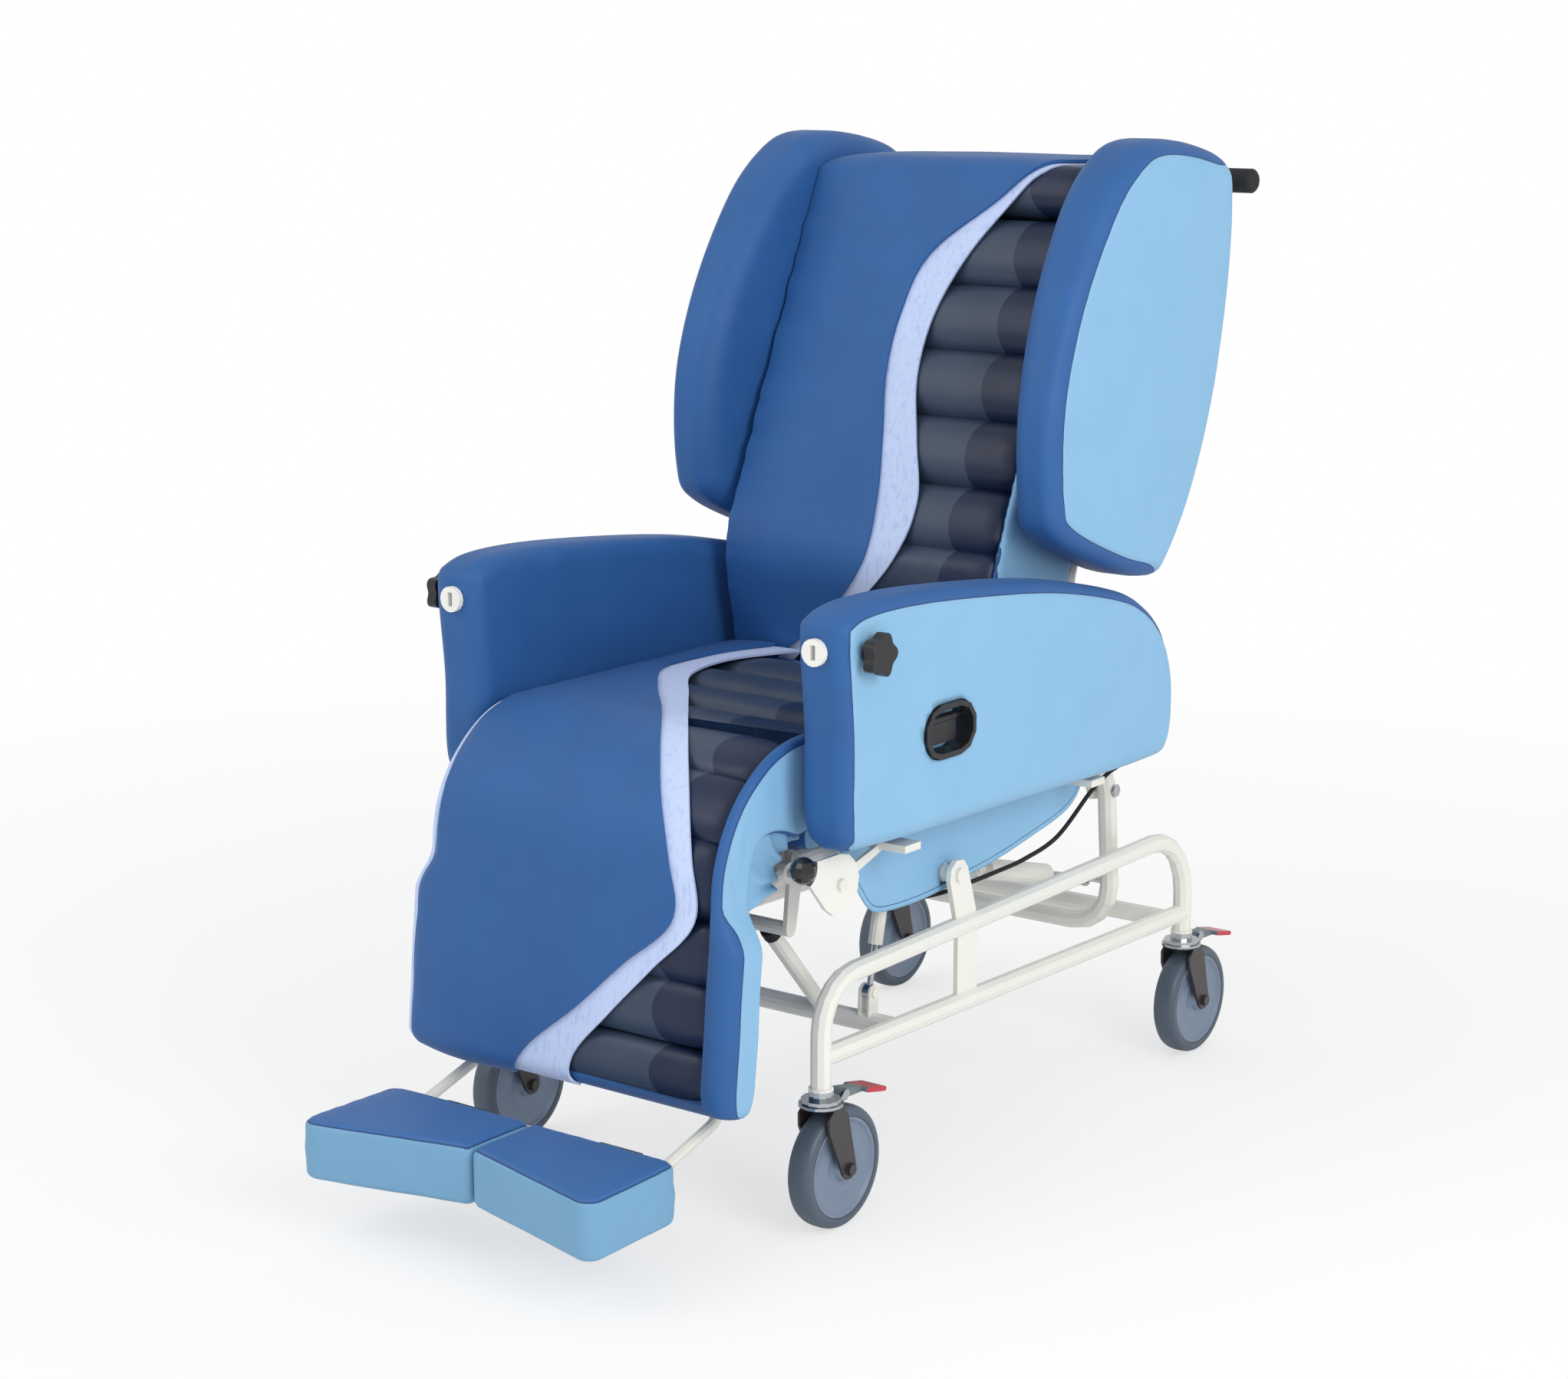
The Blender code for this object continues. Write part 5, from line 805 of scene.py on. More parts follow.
def thin_front(mesh, side):
    """A wing is thinner and reaches a little further forward along its front edge."""
    full = place(0, WING_FULL_Y, 0).y
    reach = full - place(0, WING_FRONT_Y, 0).y
    for vert in mesh.vertices:
        share = min(max((full - vert.co.y) / reach, 0.0), 1.0) ** 2
        inner = min(max((WING_OUTER - abs(vert.co.x)) / (WING_OUTER - WING_INNER), 0.0), 1.0)
        vert.co.x += side * WING_THINNED * share * inner
        vert.co.y -= WING_REACHED * share


print("a wing's front is", WING_THINNED / MM, "mm thinner than its rear")


# %% Build each board and cut its holes
SIDES = ((1, "left"), (-1, "right"))
ARM_EDGE, ARM_SEAM, ARM_SEED = 24 * MM, 13 * MM, 3.0
WING_EDGE, WING_SEAM, WING_SEED = 30 * MM, 19 * MM, 7.0
# A round hole has two ends and a radius; the handle's has a middle, a length, a height and a depth
SOCKET_HOLE = ((277, -520, 709), (277, -380, 709), 13.4 * MM)
SCREW_HOLE = ((290, -420, 706), (340, -420, 706), 4.6 * MM)
HANDLE_HOLE = (place(318, -255, 589), 105.4 * MM, 66.4 * MM, 25 * MM)

for side, word in SIDES:
    arm = board("arm_padding_" + word, arm_outline, (ARM_INNER, ARM_OUTER), ARM_EDGE, ARM_SEAM, ARM_OPEN,
                ARM_SEED * side, side)
    cutters = [rod_cutter("socket_hole", SOCKET_HOLE, side), rod_cutter("screw_hole", SCREW_HOLE, side)]
    if side == 1:
        cutters.append(slot_cutter("handle_hole", *HANDLE_HOLE))
    cut_holes(arm, cutters)
    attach(arm, "seat")
    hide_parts("arm_" + word)
    wing = board("wing_padding_" + word, wing_outline, (WING_INNER, WING_OUTER), WING_EDGE, WING_SEAM,
                 WING_OPEN, WING_SEED * side, side)
    thin_front(wing.data, side)
    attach(wing, "backrest")
    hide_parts("wing_" + word)
    print(word, "arm and wing:", len(arm.data.polygons), "+", len(wing.data.polygons), "faces")

# %% [markdown]
# ## The lines the padding follows
#
# Seen from the side, the back's skin runs over its top, down the lean and in at the lumbar bend,
# and the seat's skin runs forward, over the knee and down the legrest. Every cover, layer and air
# cell is placed by its length along one of these lines and its depth under it.


# %% Skin lines, measured by length and depth
class SkinLine:
    """A side-view line; a spot on it is found by length along it and depth under it."""

    def __init__(self, points):
        self.points = np.array(points)
        steps = np.linalg.norm(np.diff(self.points, axis=0), axis=1)
        self.marks = np.concatenate([[0], np.cumsum(steps)])
        along = np.gradient(self.points, axis=0)
        along /= np.linalg.norm(along, axis=1)[:, None]
        self.out = np.stack([along[:, 1], -along[:, 0]], axis=1)
        self.length = self.marks[-1]

    def spot(self, length, depth):
        """The place at this length along the line and this depth under it."""
        y = np.interp(length, self.marks, self.points[:, 0])
        z = np.interp(length, self.marks, self.points[:, 1])
        out_y = np.interp(length, self.marks, self.out[:, 0])
        out_z = np.interp(length, self.marks, self.out[:, 1])
        size = math.hypot(out_y, out_z)
        return Vector((0, y - out_y / size * depth, z - out_z / size * depth))

    def turn(self, length):
        """The angle about X that lays a cell's own up along the line's outward side."""
        out_y = np.interp(length, self.marks, self.out[:, 0])
        out_z = np.interp(length, self.marks, self.out[:, 1])
        return math.atan2(-out_y, out_z)


def rounded_path(corners, radii, steps=24):
    """A path whose inner corners are arcs, in places of the model as (y, z)."""
    path = [corners[0]]
    for before, corner, after, radius in zip(corners, corners[1:], corners[2:], radii):
        to_a, to_b = (before - corner).normalized(), (after - corner).normalized()
        half = to_a.angle(to_b) / 2
        centre = corner + (to_a + to_b).normalized() * (radius / math.sin(half))
        start, end = corner + to_a * (radius / math.tan(half)), corner + to_b * (radius / math.tan(half))
        first, last = (start - centre).normalized(), (end - centre).normalized()
        for k in range(steps + 1):
            path.append(centre + first.slerp(last, k / steps) * radius)
    path.append(corners[-1])
    return path


def flat_place(y, z):
    """A place on the drawing's side view, as (y, z) in the model."""
    spot = place(0, y, z)
    return Vector((spot.y, spot.z))


print("skin line helpers ready")


# %% The back's line, and the seat's with the knee and the shin
KNEE_CENTRE = (-405, 427)
KNEE_RADIUS = 173
SHIN_SLOPE = math.radians(5.5)
KNEE_STEPS = 40
SHIN_FOOT_Z, FOOT_TUCK, FOOT_RADIUS = 172 * MM, 65.7 * MM, 28 * MM
BACK_TOP_Z, BACK_TUCK_Z = 1.229, 1.203
BACK_CORNERS = ((195.8, 1229), (-22.5, 724.5), (29, 480))
BACK_RADII = (14 * MM, 45 * MM, 120 * MM)
back_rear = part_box("back_casing")[1][1] + 9 * MM
back_top = Vector((back_rear, BACK_TOP_Z))
back_tuck = Vector((back_rear, BACK_TUCK_Z))
back_path = rounded_path([back_tuck, back_top] + [flat_place(*at) for at in BACK_CORNERS], BACK_RADII)
BACK_START = (back_top - flat_place(320, 1229)).length + 18 * MM
sweep_end = math.pi / 2 - SHIN_SLOPE
knee_path = [flat_place(KNEE_CENTRE[0] - KNEE_RADIUS * math.sin(sweep_end * k / KNEE_STEPS),
                        KNEE_CENTRE[1] + KNEE_RADIUS * math.cos(sweep_end * k / KNEE_STEPS))
             for k in range(KNEE_STEPS + 1)]
shin_top = knee_path[-1]
drop = (shin_top.y - SHIN_FOOT_Z) * math.tan(SHIN_SLOPE)
shin_corner = Vector((shin_top.x - drop, SHIN_FOOT_Z))
shin_path = rounded_path([shin_top, shin_corner, shin_corner + Vector((FOOT_TUCK, 0))], (FOOT_RADIUS,))[1:]
BACK_LINE = SkinLine(back_path)
SEAT_LINE = SkinLine([flat_place(-2, 600)] + knee_path + shin_path)
SEAT_END = 403 * MM
KNEE_END = SEAT_END + KNEE_RADIUS * MM * sweep_end + 41 * MM
print("skin lines:", round(BACK_LINE.length, 3), "and", round(SEAT_LINE.length, 3), "m")

# %% [markdown]
# ## Where the padding is cut away
#
# A wavy cut runs from the top of the back to the foot of the legrest. The cover ends at it, and
# the pale padding layer shows as a ribbon beyond. Each edge is a smooth curve through a few
# places, each given as a length along the skin line and a share of the half width.

# %% Cut edges as curves over the panels
# Shares of the half width, at even lengths; those of the seat are for its top, its knee and its shin
BACK_COVER_CUT = (0.78, 0.76, 0.46, 0.03, -0.08, -0.08, 0.01, 0.08, 0.07, -0.24, -0.72, -0.72)
BACK_LAYER_CUT = (0.80, 0.80, 0.54, 0.29, 0.15, 0.14, 0.25, 0.36, 0.26, -0.12, -0.60, -0.60)
SEAT_COVER_CUT = ((-0.6, -0.72, -0.7, -0.38, 0.02), (0.27, 0.48, 0.65, 0.68), (0.36, 0.09, -0.21, -0.35))
SEAT_LAYER_CUT = ((-0.42, -0.58, -0.5, -0.16, 0.2), (0.45, 0.66, 0.79, 0.8), (0.52, 0.28, 0.07, 0.08))
BACK_HALF, SEAT_HALF, SHIN_HALF = 213 * MM, 224 * MM, 250 * MM


NARROWING_Z, NARROWING_HEIGHT = 0.37, 0.058


def back_half(length):
    """The back is equally wide all the way down."""
    return BACK_HALF


def leg_half(length):
    """The legrest is wider than the seat, and narrows to it under the arms."""
    z = SEAT_LINE.spot(length, 0).z
    share = min(max((z - NARROWING_Z) / NARROWING_HEIGHT, 0), 1)
    share = share * share * (3 - 2 * share)
    return SHIN_HALF + (SEAT_HALF - SHIN_HALF) * share


def cut_curve(marks, half_at):
    """A function from length to the edge's x, smooth through the given marks."""
    curve = spline([(length, share * half_at(length)) for length, share in marks], False, 6 * MM)
    order = np.argsort(curve[:, 0])
    return lambda length: float(np.interp(length, curve[order, 0], curve[order, 1]))


def even_marks(table, start, end, skip_first=False):
    """A table's shares at even lengths; one that carries on from another skips its first length."""
    steps = len(table) if skip_first else len(table) - 1
    first = 1 if skip_first else 0
    return [(start + (end - start) * (k + first) / steps, share) for k, share in enumerate(table)]


def leg_marks(tables):
    """The marks of the seat, the knee and the shin, one after another."""
    seat, knee, shin = tables
    return (even_marks(seat, 0, SEAT_END) + even_marks(knee, SEAT_END, KNEE_END, True)
            + even_marks(shin, KNEE_END, SEAT_LINE.length - 30 * MM, True))


BACK_EDGES = [cut_curve(even_marks(table, BACK_START, BACK_LINE.length), back_half)
              for table in (BACK_COVER_CUT, BACK_LAYER_CUT)]
LEG_EDGES = [cut_curve(leg_marks(tables), leg_half) for tables in (SEAT_COVER_CUT, SEAT_LAYER_CUT)]
print("cut at the seat's rear:", round(LEG_EDGES[0](0) / MM), "mm")

# %% [markdown]
# ## Covers and padding layers
#
# A cover is one sheet, 4 mm thick with its own backing foam, that is stretched over the panel. The
# long one also wraps round its far side. Under each cover lies a layer 3 mm thick. Both end at
# their cut edge, where their thickness shows. The rows follow the skin line closely, and the
# columns crowd towards the cut, so that the edge is a clean curve. Small gathers run in from the
# far side, where the back's cover is tucked in behind the wing. Each sheet's cut size is printed:
# its widest span with the wrap and a hem, by its length.


# %% A panel's section, and places across it
WRAP_R = 20 * MM
SHEET_COLUMNS = 34
CROWN_FROM, CROWN_DROP_MM = 0.62, 9
FOLD_LENGTH, FOLD_HEIGHT_MM = 90 * MM, 2.0
GATHER_LENGTH, GATHER_REACH = 17 * MM, 26 * MM
CALM_WIDTH = 60 * MM


def panel_crown(x, half):
    """How far a panel drops towards its sides."""
    share = max(0.0, abs(x) / half - CROWN_FROM) / (1 - CROWN_FROM)
    return CROWN_DROP_MM * MM * share * share


def wrapped(x, half, depth, wrap):
    """A place on the section: x past the wrap's start goes round the far side's edge."""
    start = -half + WRAP_R
    over = start - x
    if not wrap or over <= 0:
        return x, depth + panel_crown(x, half)
    turn = min(over / WRAP_R, math.pi / 2)
    rest = max(0.0, over - WRAP_R * math.pi / 2)
    round_r = WRAP_R - depth
    return (start - round_r * math.sin(turn),
            depth + panel_crown(start, half) + round_r * (1 - math.cos(turn)) + rest)


def sheet_row(line, length, half, edge, depth, wrap_down, gather, seed):
    """Places across one face of a sheet, from its far side to its cut edge."""
    far = -half - (WRAP_R * (math.pi / 2 - 1) + wrap_down if wrap_down else 0)
    row = []
    for column in range(SHEET_COLUMNS + 1):
        share = 1 - (1 - column / SHEET_COLUMNS) ** 1.5
        x = far + (edge - far) * share
        px, down = wrapped(x, half, depth, bool(wrap_down))
        fold = noise.noise(Vector((x, length, seed)) / FOLD_LENGTH) * FOLD_HEIGHT_MM * MM
        near_far = math.exp(-max(0.0, x + half) / GATHER_REACH)
        fold += gather * near_far * noise.noise(Vector((0, length, seed)) / GATHER_LENGTH)
        fade = min(1.0, max(0.0, (edge - x)) / CALM_WIDTH) * 0.85 + 0.15
        spot = line.spot(length, down - fold * fade)
        row.append(Vector((px, spot.y, spot.z)))
    return row


print("a panel drops", CROWN_DROP_MM, "mm at its sides")


# %% The faces of a closed sheet
CRISP_ANGLE = math.radians(50)


def sheet_faces(rows):
    """Faces over, under and round a sheet whose rows hold their upper and then their lower places."""
    columns = SHEET_COLUMNS
    ring = 2 * (columns + 1)
    faces = []
    for row in range(rows):
        a, b = row * ring, (row + 1) * ring
        low_a, low_b = a + columns + 1, b + columns + 1
        for k in range(columns):
            faces.append((a + k, a + k + 1, b + k + 1, b + k))
            faces.append((low_a + k + 1, low_a + k, low_b + k, low_b + k + 1))
        faces.append((a + columns, a + ring - 1, b + ring - 1, b + columns))
        faces.append((low_a, a, b, low_b))
    for row in (0, rows):
        a = row * ring
        for k in range(columns):
            cap = (a + k, a + columns + 1 + k, a + columns + 2 + k, a + k + 1)
            faces.append(cap if row == 0 else tuple(reversed(cap)))
    return faces


def crisp_edges(mesh):
    """Point the faces outwards and keep the cut edges sharp."""
    shape = bmesh.new()
    shape.from_mesh(mesh)
    bmesh.ops.recalc_face_normals(shape, faces=shape.faces)
    for edge in shape.edges:
        if len(edge.link_faces) == 2 and edge.calc_face_angle(0) > CRISP_ANGLE:
            edge.smooth = False
    shape.to_mesh(mesh)
    shape.free()


print("edges sharper than", round(math.degrees(CRISP_ANGLE)), "degrees stay crisp")


# %% Lay a sheet along a skin line
ROW_LENGTH = 7 * MM


def strip_area(before, after):
    """The area between two rows of places."""
    return sum(((b - a).length + (d - c).length) / 2 * ((c - a).length + (d - b).length) / 2
               for a, b, c, d in zip(before, before[1:], after, after[1:]))


def laid_sheet(name, line, end, half_at, edge_at, depth, thickness, wrap_down, gather, seed):
    """A closed sheet from its far side as far as its cut edge, and the area of its upper face."""
    rows = max(2, round(end / ROW_LENGTH))
    places, uppers = [], []
    for row in range(rows + 1):
        length = end * row / rows
        half, edge = half_at(length), edge_at(length)
        upper, lower = (sheet_row(line, length, half, edge, down, wrap_down, gather, seed)
                        for down in (depth, depth + thickness))
        uppers.append(upper)
        places += upper + lower
    mesh = bpy.data.meshes.new(name)
    mesh.from_pydata(places, [], sheet_faces(rows))
    mesh.update()
    crisp_edges(mesh)
    seam = mesh.attributes.new("seam", "FLOAT", "POINT")
    seam.data.foreach_set("value", [ALL_DARK] * len(mesh.vertices))
    return mesh, sum(strip_area(before, after) for before, after in zip(uppers, uppers[1:]))


print("rows", ROW_LENGTH / MM, "mm apart,", SHEET_COLUMNS, "columns")

# %% [markdown]
# The pale layer is a thin knitted padding. A faint slanted fleck runs through it, which a noise
# makes that is turned and stretched before its peaks are taken, and it is matt.


# %% The padding layer's cloth
LAYER_PALE = "#c6d6f8"
LAYER_SHADE = "#b5c8f1"
FLECK_SCALE = 190.0
FLECK_TURN = (math.radians(38), 0, math.radians(20))
FLECK_STRETCH = (1.0, 1.0, 0.22)
FELT_MM, FELT_FOLD_MM, FELT_DEPTH_MM = 1.3, 60.0, 0.6


def padding_cloth(name):
    """Pale matt knit with a slanted fleck."""
    material, output = new_material(name)
    tree = material.node_tree
    spot = add_node(tree, "ShaderNodeTexCoord")
    twist = add_node(tree, "ShaderNodeMapping", {"Vector": spot.outputs["Object"], "Rotation": FLECK_TURN,
                                                 "Scale": FLECK_STRETCH})
    flecks = add_node(tree, "ShaderNodeTexNoise", {"Vector": twist.outputs["Vector"],
                                                   "Scale": FLECK_SCALE, "Detail": 3.0,
                                                   "Roughness": 0.6})
    thin = add_node(tree, "ShaderNodeMapRange", {"Value": flecks.outputs["Fac"], "From Min": 0.52,
                                                 "From Max": 0.66})
    tint = add_node(tree, "ShaderNodeMix", {0: thin.outputs[0], COLOUR_A: linear(LAYER_PALE),
                                            COLOUR_B: linear(LAYER_SHADE)}, data_type="RGBA")
    bump = fabric_bump(tree, FELT_MM, FELT_FOLD_MM, FELT_DEPTH_MM)
    shader = add_node(tree, "ShaderNodeBsdfPrincipled", {
        "Base Color": tint.outputs[COLOUR_MIXED], "Roughness": 0.85, "Sheen Weight": 0.15,
        "Normal": bump.outputs["Normal"]})
    return finish_material(material, output, shader)


PADDING_CLOTH = padding_cloth("thin_padding_layer")
print("padding cloth:", len(PADDING_CLOTH.node_tree.nodes), "nodes")


# %% Lay the two back sheets and the two long ones that cross the knee
COVER_T, LAYER_T, SHEET_GAP = 4 * MM, 3 * MM, 1 * MM
HEM = 12 * MM


def lay(name, line, end, half_at, edge_at, depth, thickness, finish, wrap_down, gather, seed):
    """A sheet as a piece of its own; its flat size and the area of its upper face are printed."""
    mesh, area = laid_sheet(name, line, end, half_at, edge_at, depth, thickness, wrap_down, gather, seed)
    piece = add_object(name, mesh, finish)
    widest = max(edge_at(end * k / 60) + half_at(end * k / 60) for k in range(61)) + wrap_down + HEM
    print(name, "cut from", round(widest, 2), "x", round(end, 2), "m, area", round(area, 3))
    return piece


back_cover = lay("back_cover_sheet", BACK_LINE, BACK_LINE.length, back_half, BACK_EDGES[0], 0.0, COVER_T,
                 COVER_CLOTH, 0.0, 3.2 * MM, 2.0)
back_layer = lay("back_layer_sheet", BACK_LINE, BACK_LINE.length, back_half, BACK_EDGES[1],
                 COVER_T + SHEET_GAP, LAYER_T, PADDING_CLOTH, 0.0, 0.0, 2.0)
leg_cover = lay("seat_and_leg_cover_sheet", SEAT_LINE, SEAT_LINE.length, leg_half, LEG_EDGES[0], 0.0, COVER_T,
                COVER_CLOTH, 26 * MM, 0.6 * MM, 5.0)
leg_layer = lay("seat_and_leg_layer_sheet", SEAT_LINE, SEAT_LINE.length - 40 * MM, leg_half, LEG_EDGES[1],
                COVER_T + SHEET_GAP, LAYER_T, PADDING_CLOTH, 0.0, 0.0, 5.0)
for piece in (back_cover, back_layer):
    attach(piece, "backrest")
for piece in (leg_cover, leg_layer):
    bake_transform(piece)
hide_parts("back_cover")
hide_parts("back_layer")
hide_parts("seat_cover", "knee_cover", "legrest_cover")
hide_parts("seat_layer", "knee_layer", "legrest_layer")

# %% [markdown]
# ## Air cells
#
# Under the layer lies a row of tubes of welded film, each as wide as the panel and full of air.
# They repeat along the skin line, so Geometry Nodes place them: the points of a small mesh are
# the cell middles, each with its turn and its size as attributes, and one tube with rounded ends
# is put at every point. A seeded random scale keeps the row from looking stamped.


# %% One tube
# Place along the half tube and radius there, as shares
CELL_ENDS = ((0.0, 1.0), (0.80, 1.0), (0.87, 0.985), (0.92, 0.955), (0.955, 0.90), (0.98, 0.80),
             (0.993, 0.62), (1.0, 0.30))
SQUARENESS = 2.7
TUBE_SIDES = 32
CREASES, CREASE_FROM, CREASE_DEPTH = 9, 0.86, 0.05
SAG, SAG_FROM = 1.1, 0.8


def unit_tube():
    """A tube along X, from -1 to 1 and with a radius of 1, whose ends are gathered and sag."""
    stations = [(-x, r) for x, r in reversed(CELL_ENDS[1:])] + [(x, r) for x, r in CELL_ENDS]
    shape = bmesh.new()
    around = shape.verts.layers.float.new("around")
    rings = []
    for x, r in stations:
        ring = []
        sag = SAG * max(0, abs(x) - SAG_FROM) ** 1.5
        gathered = max(0.0, abs(x) - CREASE_FROM) / (1 - CREASE_FROM)
        for k in range(TUBE_SIDES):
            turn = 2 * math.pi * k / TUBE_SIDES
            u, v = math.sin(turn), math.cos(turn)
            squared = (abs(u) ** SQUARENESS + abs(v) ** SQUARENESS) ** (-1 / SQUARENESS)
            reach = r * squared * (1 + CREASE_DEPTH * math.sin(CREASES * turn) * gathered)
            vert = shape.verts.new((x, u * reach, v * reach - sag))
            vert[around] = u
            ring.append(vert)
        rings.append(ring)
    for a, b in zip(rings, rings[1:]):
        for k in range(TUBE_SIDES):
            n = (k + 1) % TUBE_SIDES
            shape.faces.new((a[k], a[n], b[n], b[k]))
    shape.faces.new(rings[0])
    shape.faces.new(list(reversed(rings[-1])))
    bmesh.ops.recalc_face_normals(shape, faces=shape.faces)
    return mesh_of(shape, "unit_tube")


print("a tube has", TUBE_SIDES, "sides and", CREASES, "creases at each end")


# %% The nodes that repeat it
def cell_row_tree(film):
    """A Geometry Nodes tree that puts a tube at each point, by its turn and size."""
    tree = bpy.data.node_groups.new("air_cell_row", "GeometryNodeTree")
    tree.interface.new_socket("Middles", in_out="INPUT", socket_type="NodeSocketGeometry")
    tree.interface.new_socket("Tube", in_out="INPUT", socket_type="NodeSocketObject")
    tree.interface.new_socket("Unevenness", in_out="INPUT", socket_type="NodeSocketFloat")
    tree.interface.new_socket("Seed", in_out="INPUT", socket_type="NodeSocketInt")
    tree.interface.new_socket("Cells", in_out="OUTPUT", socket_type="NodeSocketGeometry")
    ways = add_node(tree, "NodeGroupInput")
    tube = add_node(tree, "GeometryNodeObjectInfo", {"Object": ways.outputs["Tube"]},
                    transform_space="ORIGINAL")
    turn = add_node(tree, "GeometryNodeInputNamedAttribute", {"Name": "turn"}, data_type="FLOAT")
    size = add_node(tree, "GeometryNodeInputNamedAttribute", {"Name": "size"}, data_type="FLOAT_VECTOR")
    angles = add_node(tree, "ShaderNodeCombineXYZ", {"X": turn.outputs["Attribute"]})
    least = add_node(tree, "ShaderNodeMath", {0: 1.0, 1: ways.outputs["Unevenness"]}, operation="SUBTRACT")
    chance = add_node(tree, "FunctionNodeRandomValue", {2: least.outputs[0], 3: 1.0,
                                                        "Seed": ways.outputs["Seed"]}, data_type="FLOAT")
    scaled = add_node(tree, "ShaderNodeVectorMath", {0: size.outputs["Attribute"]}, operation="SCALE")
    tree.links.new(chance.outputs[1], scaled.inputs["Scale"])
    placed = add_node(tree, "GeometryNodeInstanceOnPoints", {
        "Points": ways.outputs["Middles"], "Instance": tube.outputs["Geometry"],
        "Rotation": angles.outputs["Vector"], "Scale": scaled.outputs["Vector"]})
    real = add_node(tree, "GeometryNodeRealizeInstances", {"Geometry": placed.outputs["Instances"]})
    finished = add_node(tree, "GeometryNodeSetMaterial", {"Geometry": real.outputs["Geometry"],
                                                          "Material": film})
    result = add_node(tree, "NodeGroupOutput")
    tree.links.new(finished.outputs["Geometry"], result.inputs["Cells"])
    return tree


def set_inputs(modifier, values):
    """Give a Geometry Nodes modifier its inputs, each by its socket's identifier."""
    for item in modifier.node_group.interface.items_tree:
        if item.in_out == "INPUT" and item.name in values:
            modifier[item.identifier] = values[item.name]


print("cell row helpers ready")

# %% [markdown]
# The film is a slate colour, and each tube's near end is wrapped in a second, navy film. Its edge
# bows along the tube, so the shader compares the place's x with a limit that depends on how far
# round the tube the point lies. The film has a soft gloss with small creases.


# %% Film with a wrapped end
SLATE, SLATE_SHADE = "#3d4c61", "#2f3c50"
NAVY, NAVY_SHADE = "#182848", "#121f39"
FILM_PATCH_MM = 55.0
FILM_MM, CREASE_MM, CREASE_DEPTH_MM = 1.4, 24.0, 0.5


def film_finish(name, edge_mm, bow_mm):
    """Slate film, and navy film from this x on, whose edge bows out by so much at the tube's sides."""
    material, output = new_material(name)
    tree = material.node_tree
    spot = add_node(tree, "ShaderNodeTexCoord")
    parts = add_node(tree, "ShaderNodeSeparateXYZ", {0: spot.outputs["Object"]})
    around = add_node(tree, "ShaderNodeAttribute", attribute_name="around")
    squared = add_node(tree, "ShaderNodeMath", {0: around.outputs["Fac"], 1: around.outputs["Fac"]},
                       operation="MULTIPLY")
    limit = add_node(tree, "ShaderNodeMath", {0: squared.outputs[0], 1: bow_mm * MM, 2: edge_mm * MM},
                     operation="MULTIPLY_ADD")
    over = add_node(tree, "ShaderNodeMath", {0: parts.outputs["X"], 1: limit.outputs[0]},
                    operation="GREATER_THAN")
    slate = shade_pair(tree, SLATE, SLATE_SHADE, FILM_PATCH_MM)
    navy = shade_pair(tree, NAVY, NAVY_SHADE, FILM_PATCH_MM)
    tint = add_node(tree, "ShaderNodeMix", {0: over.outputs[0], COLOUR_A: slate.outputs[COLOUR_MIXED],
                                            COLOUR_B: navy.outputs[COLOUR_MIXED]}, data_type="RGBA")
    creases = fabric_bump(tree, FILM_MM, CREASE_MM, CREASE_DEPTH_MM)
    shader = add_node(tree, "ShaderNodeBsdfPrincipled", {
        "Base Color": tint.outputs[COLOUR_MIXED], "Roughness": 0.4, "Specular IOR Level": 0.4,
        "Normal": creases.outputs["Normal"]})
    return finish_material(material, output, shader)


BACK_FILM = film_finish("welded_film_back", 128, 20)
SEAT_FILM = film_finish("welded_film_seat", 82, 26)
LEG_FILM = film_finish("welded_film_leg", 132, 24)
print("films:", BACK_FILM.name, SEAT_FILM.name, LEG_FILM.name)


# %% A row of tubes along a skin line
tube_object = new_object("unit_tube", unit_tube())
CELL_TOP = COVER_T + SHEET_GAP + LAYER_T + 2 * MM
STEP_DEPTH = CELL_TOP + 12 * MM
OVERLAP, UNEVENNESS = 1.1, 0.018
CELL_TREES = {"back": cell_row_tree(BACK_FILM), "seat": cell_row_tree(SEAT_FILM),
              "leg": cell_row_tree(LEG_FILM)}


def cell_row(name, kind, line, start, end, count, half, deep, seed):
    """A row of tubes between two lengths of a skin line, made real as one mesh."""
    step = (end - start) / count
    middles, turns, sizes = [], [], []
    for k in range(count):
        length = start + step * (k + 0.5)
        before = line.spot(length - step / 2, STEP_DEPTH)
        after = line.spot(length + step / 2, STEP_DEPTH)
        middles.append(line.spot(length, CELL_TOP + deep / 2))
        turns.append(line.turn(length))
        sizes += [half, (after - before).length / 2 * OVERLAP, deep / 2]
    mesh = bpy.data.meshes.new(name)
    mesh.from_pydata(middles, [], [])
    mesh.attributes.new("turn", "FLOAT", "POINT").data.foreach_set("value", turns)
    mesh.attributes.new("size", "FLOAT_VECTOR", "POINT").data.foreach_set("vector", sizes)
    row = new_object(name, mesh)
    nodes = row.modifiers.new("cells", "NODES")
    nodes.node_group = CELL_TREES[kind]
    set_inputs(nodes, {"Tube": tube_object, "Unevenness": UNEVENNESS, "Seed": seed})
    apply_modifiers(row)
    print(name, count, "cells,", len(row.data.polygons), "faces")
    return row


print("cells lie", round(CELL_TOP / MM, 1), "mm under the skin")

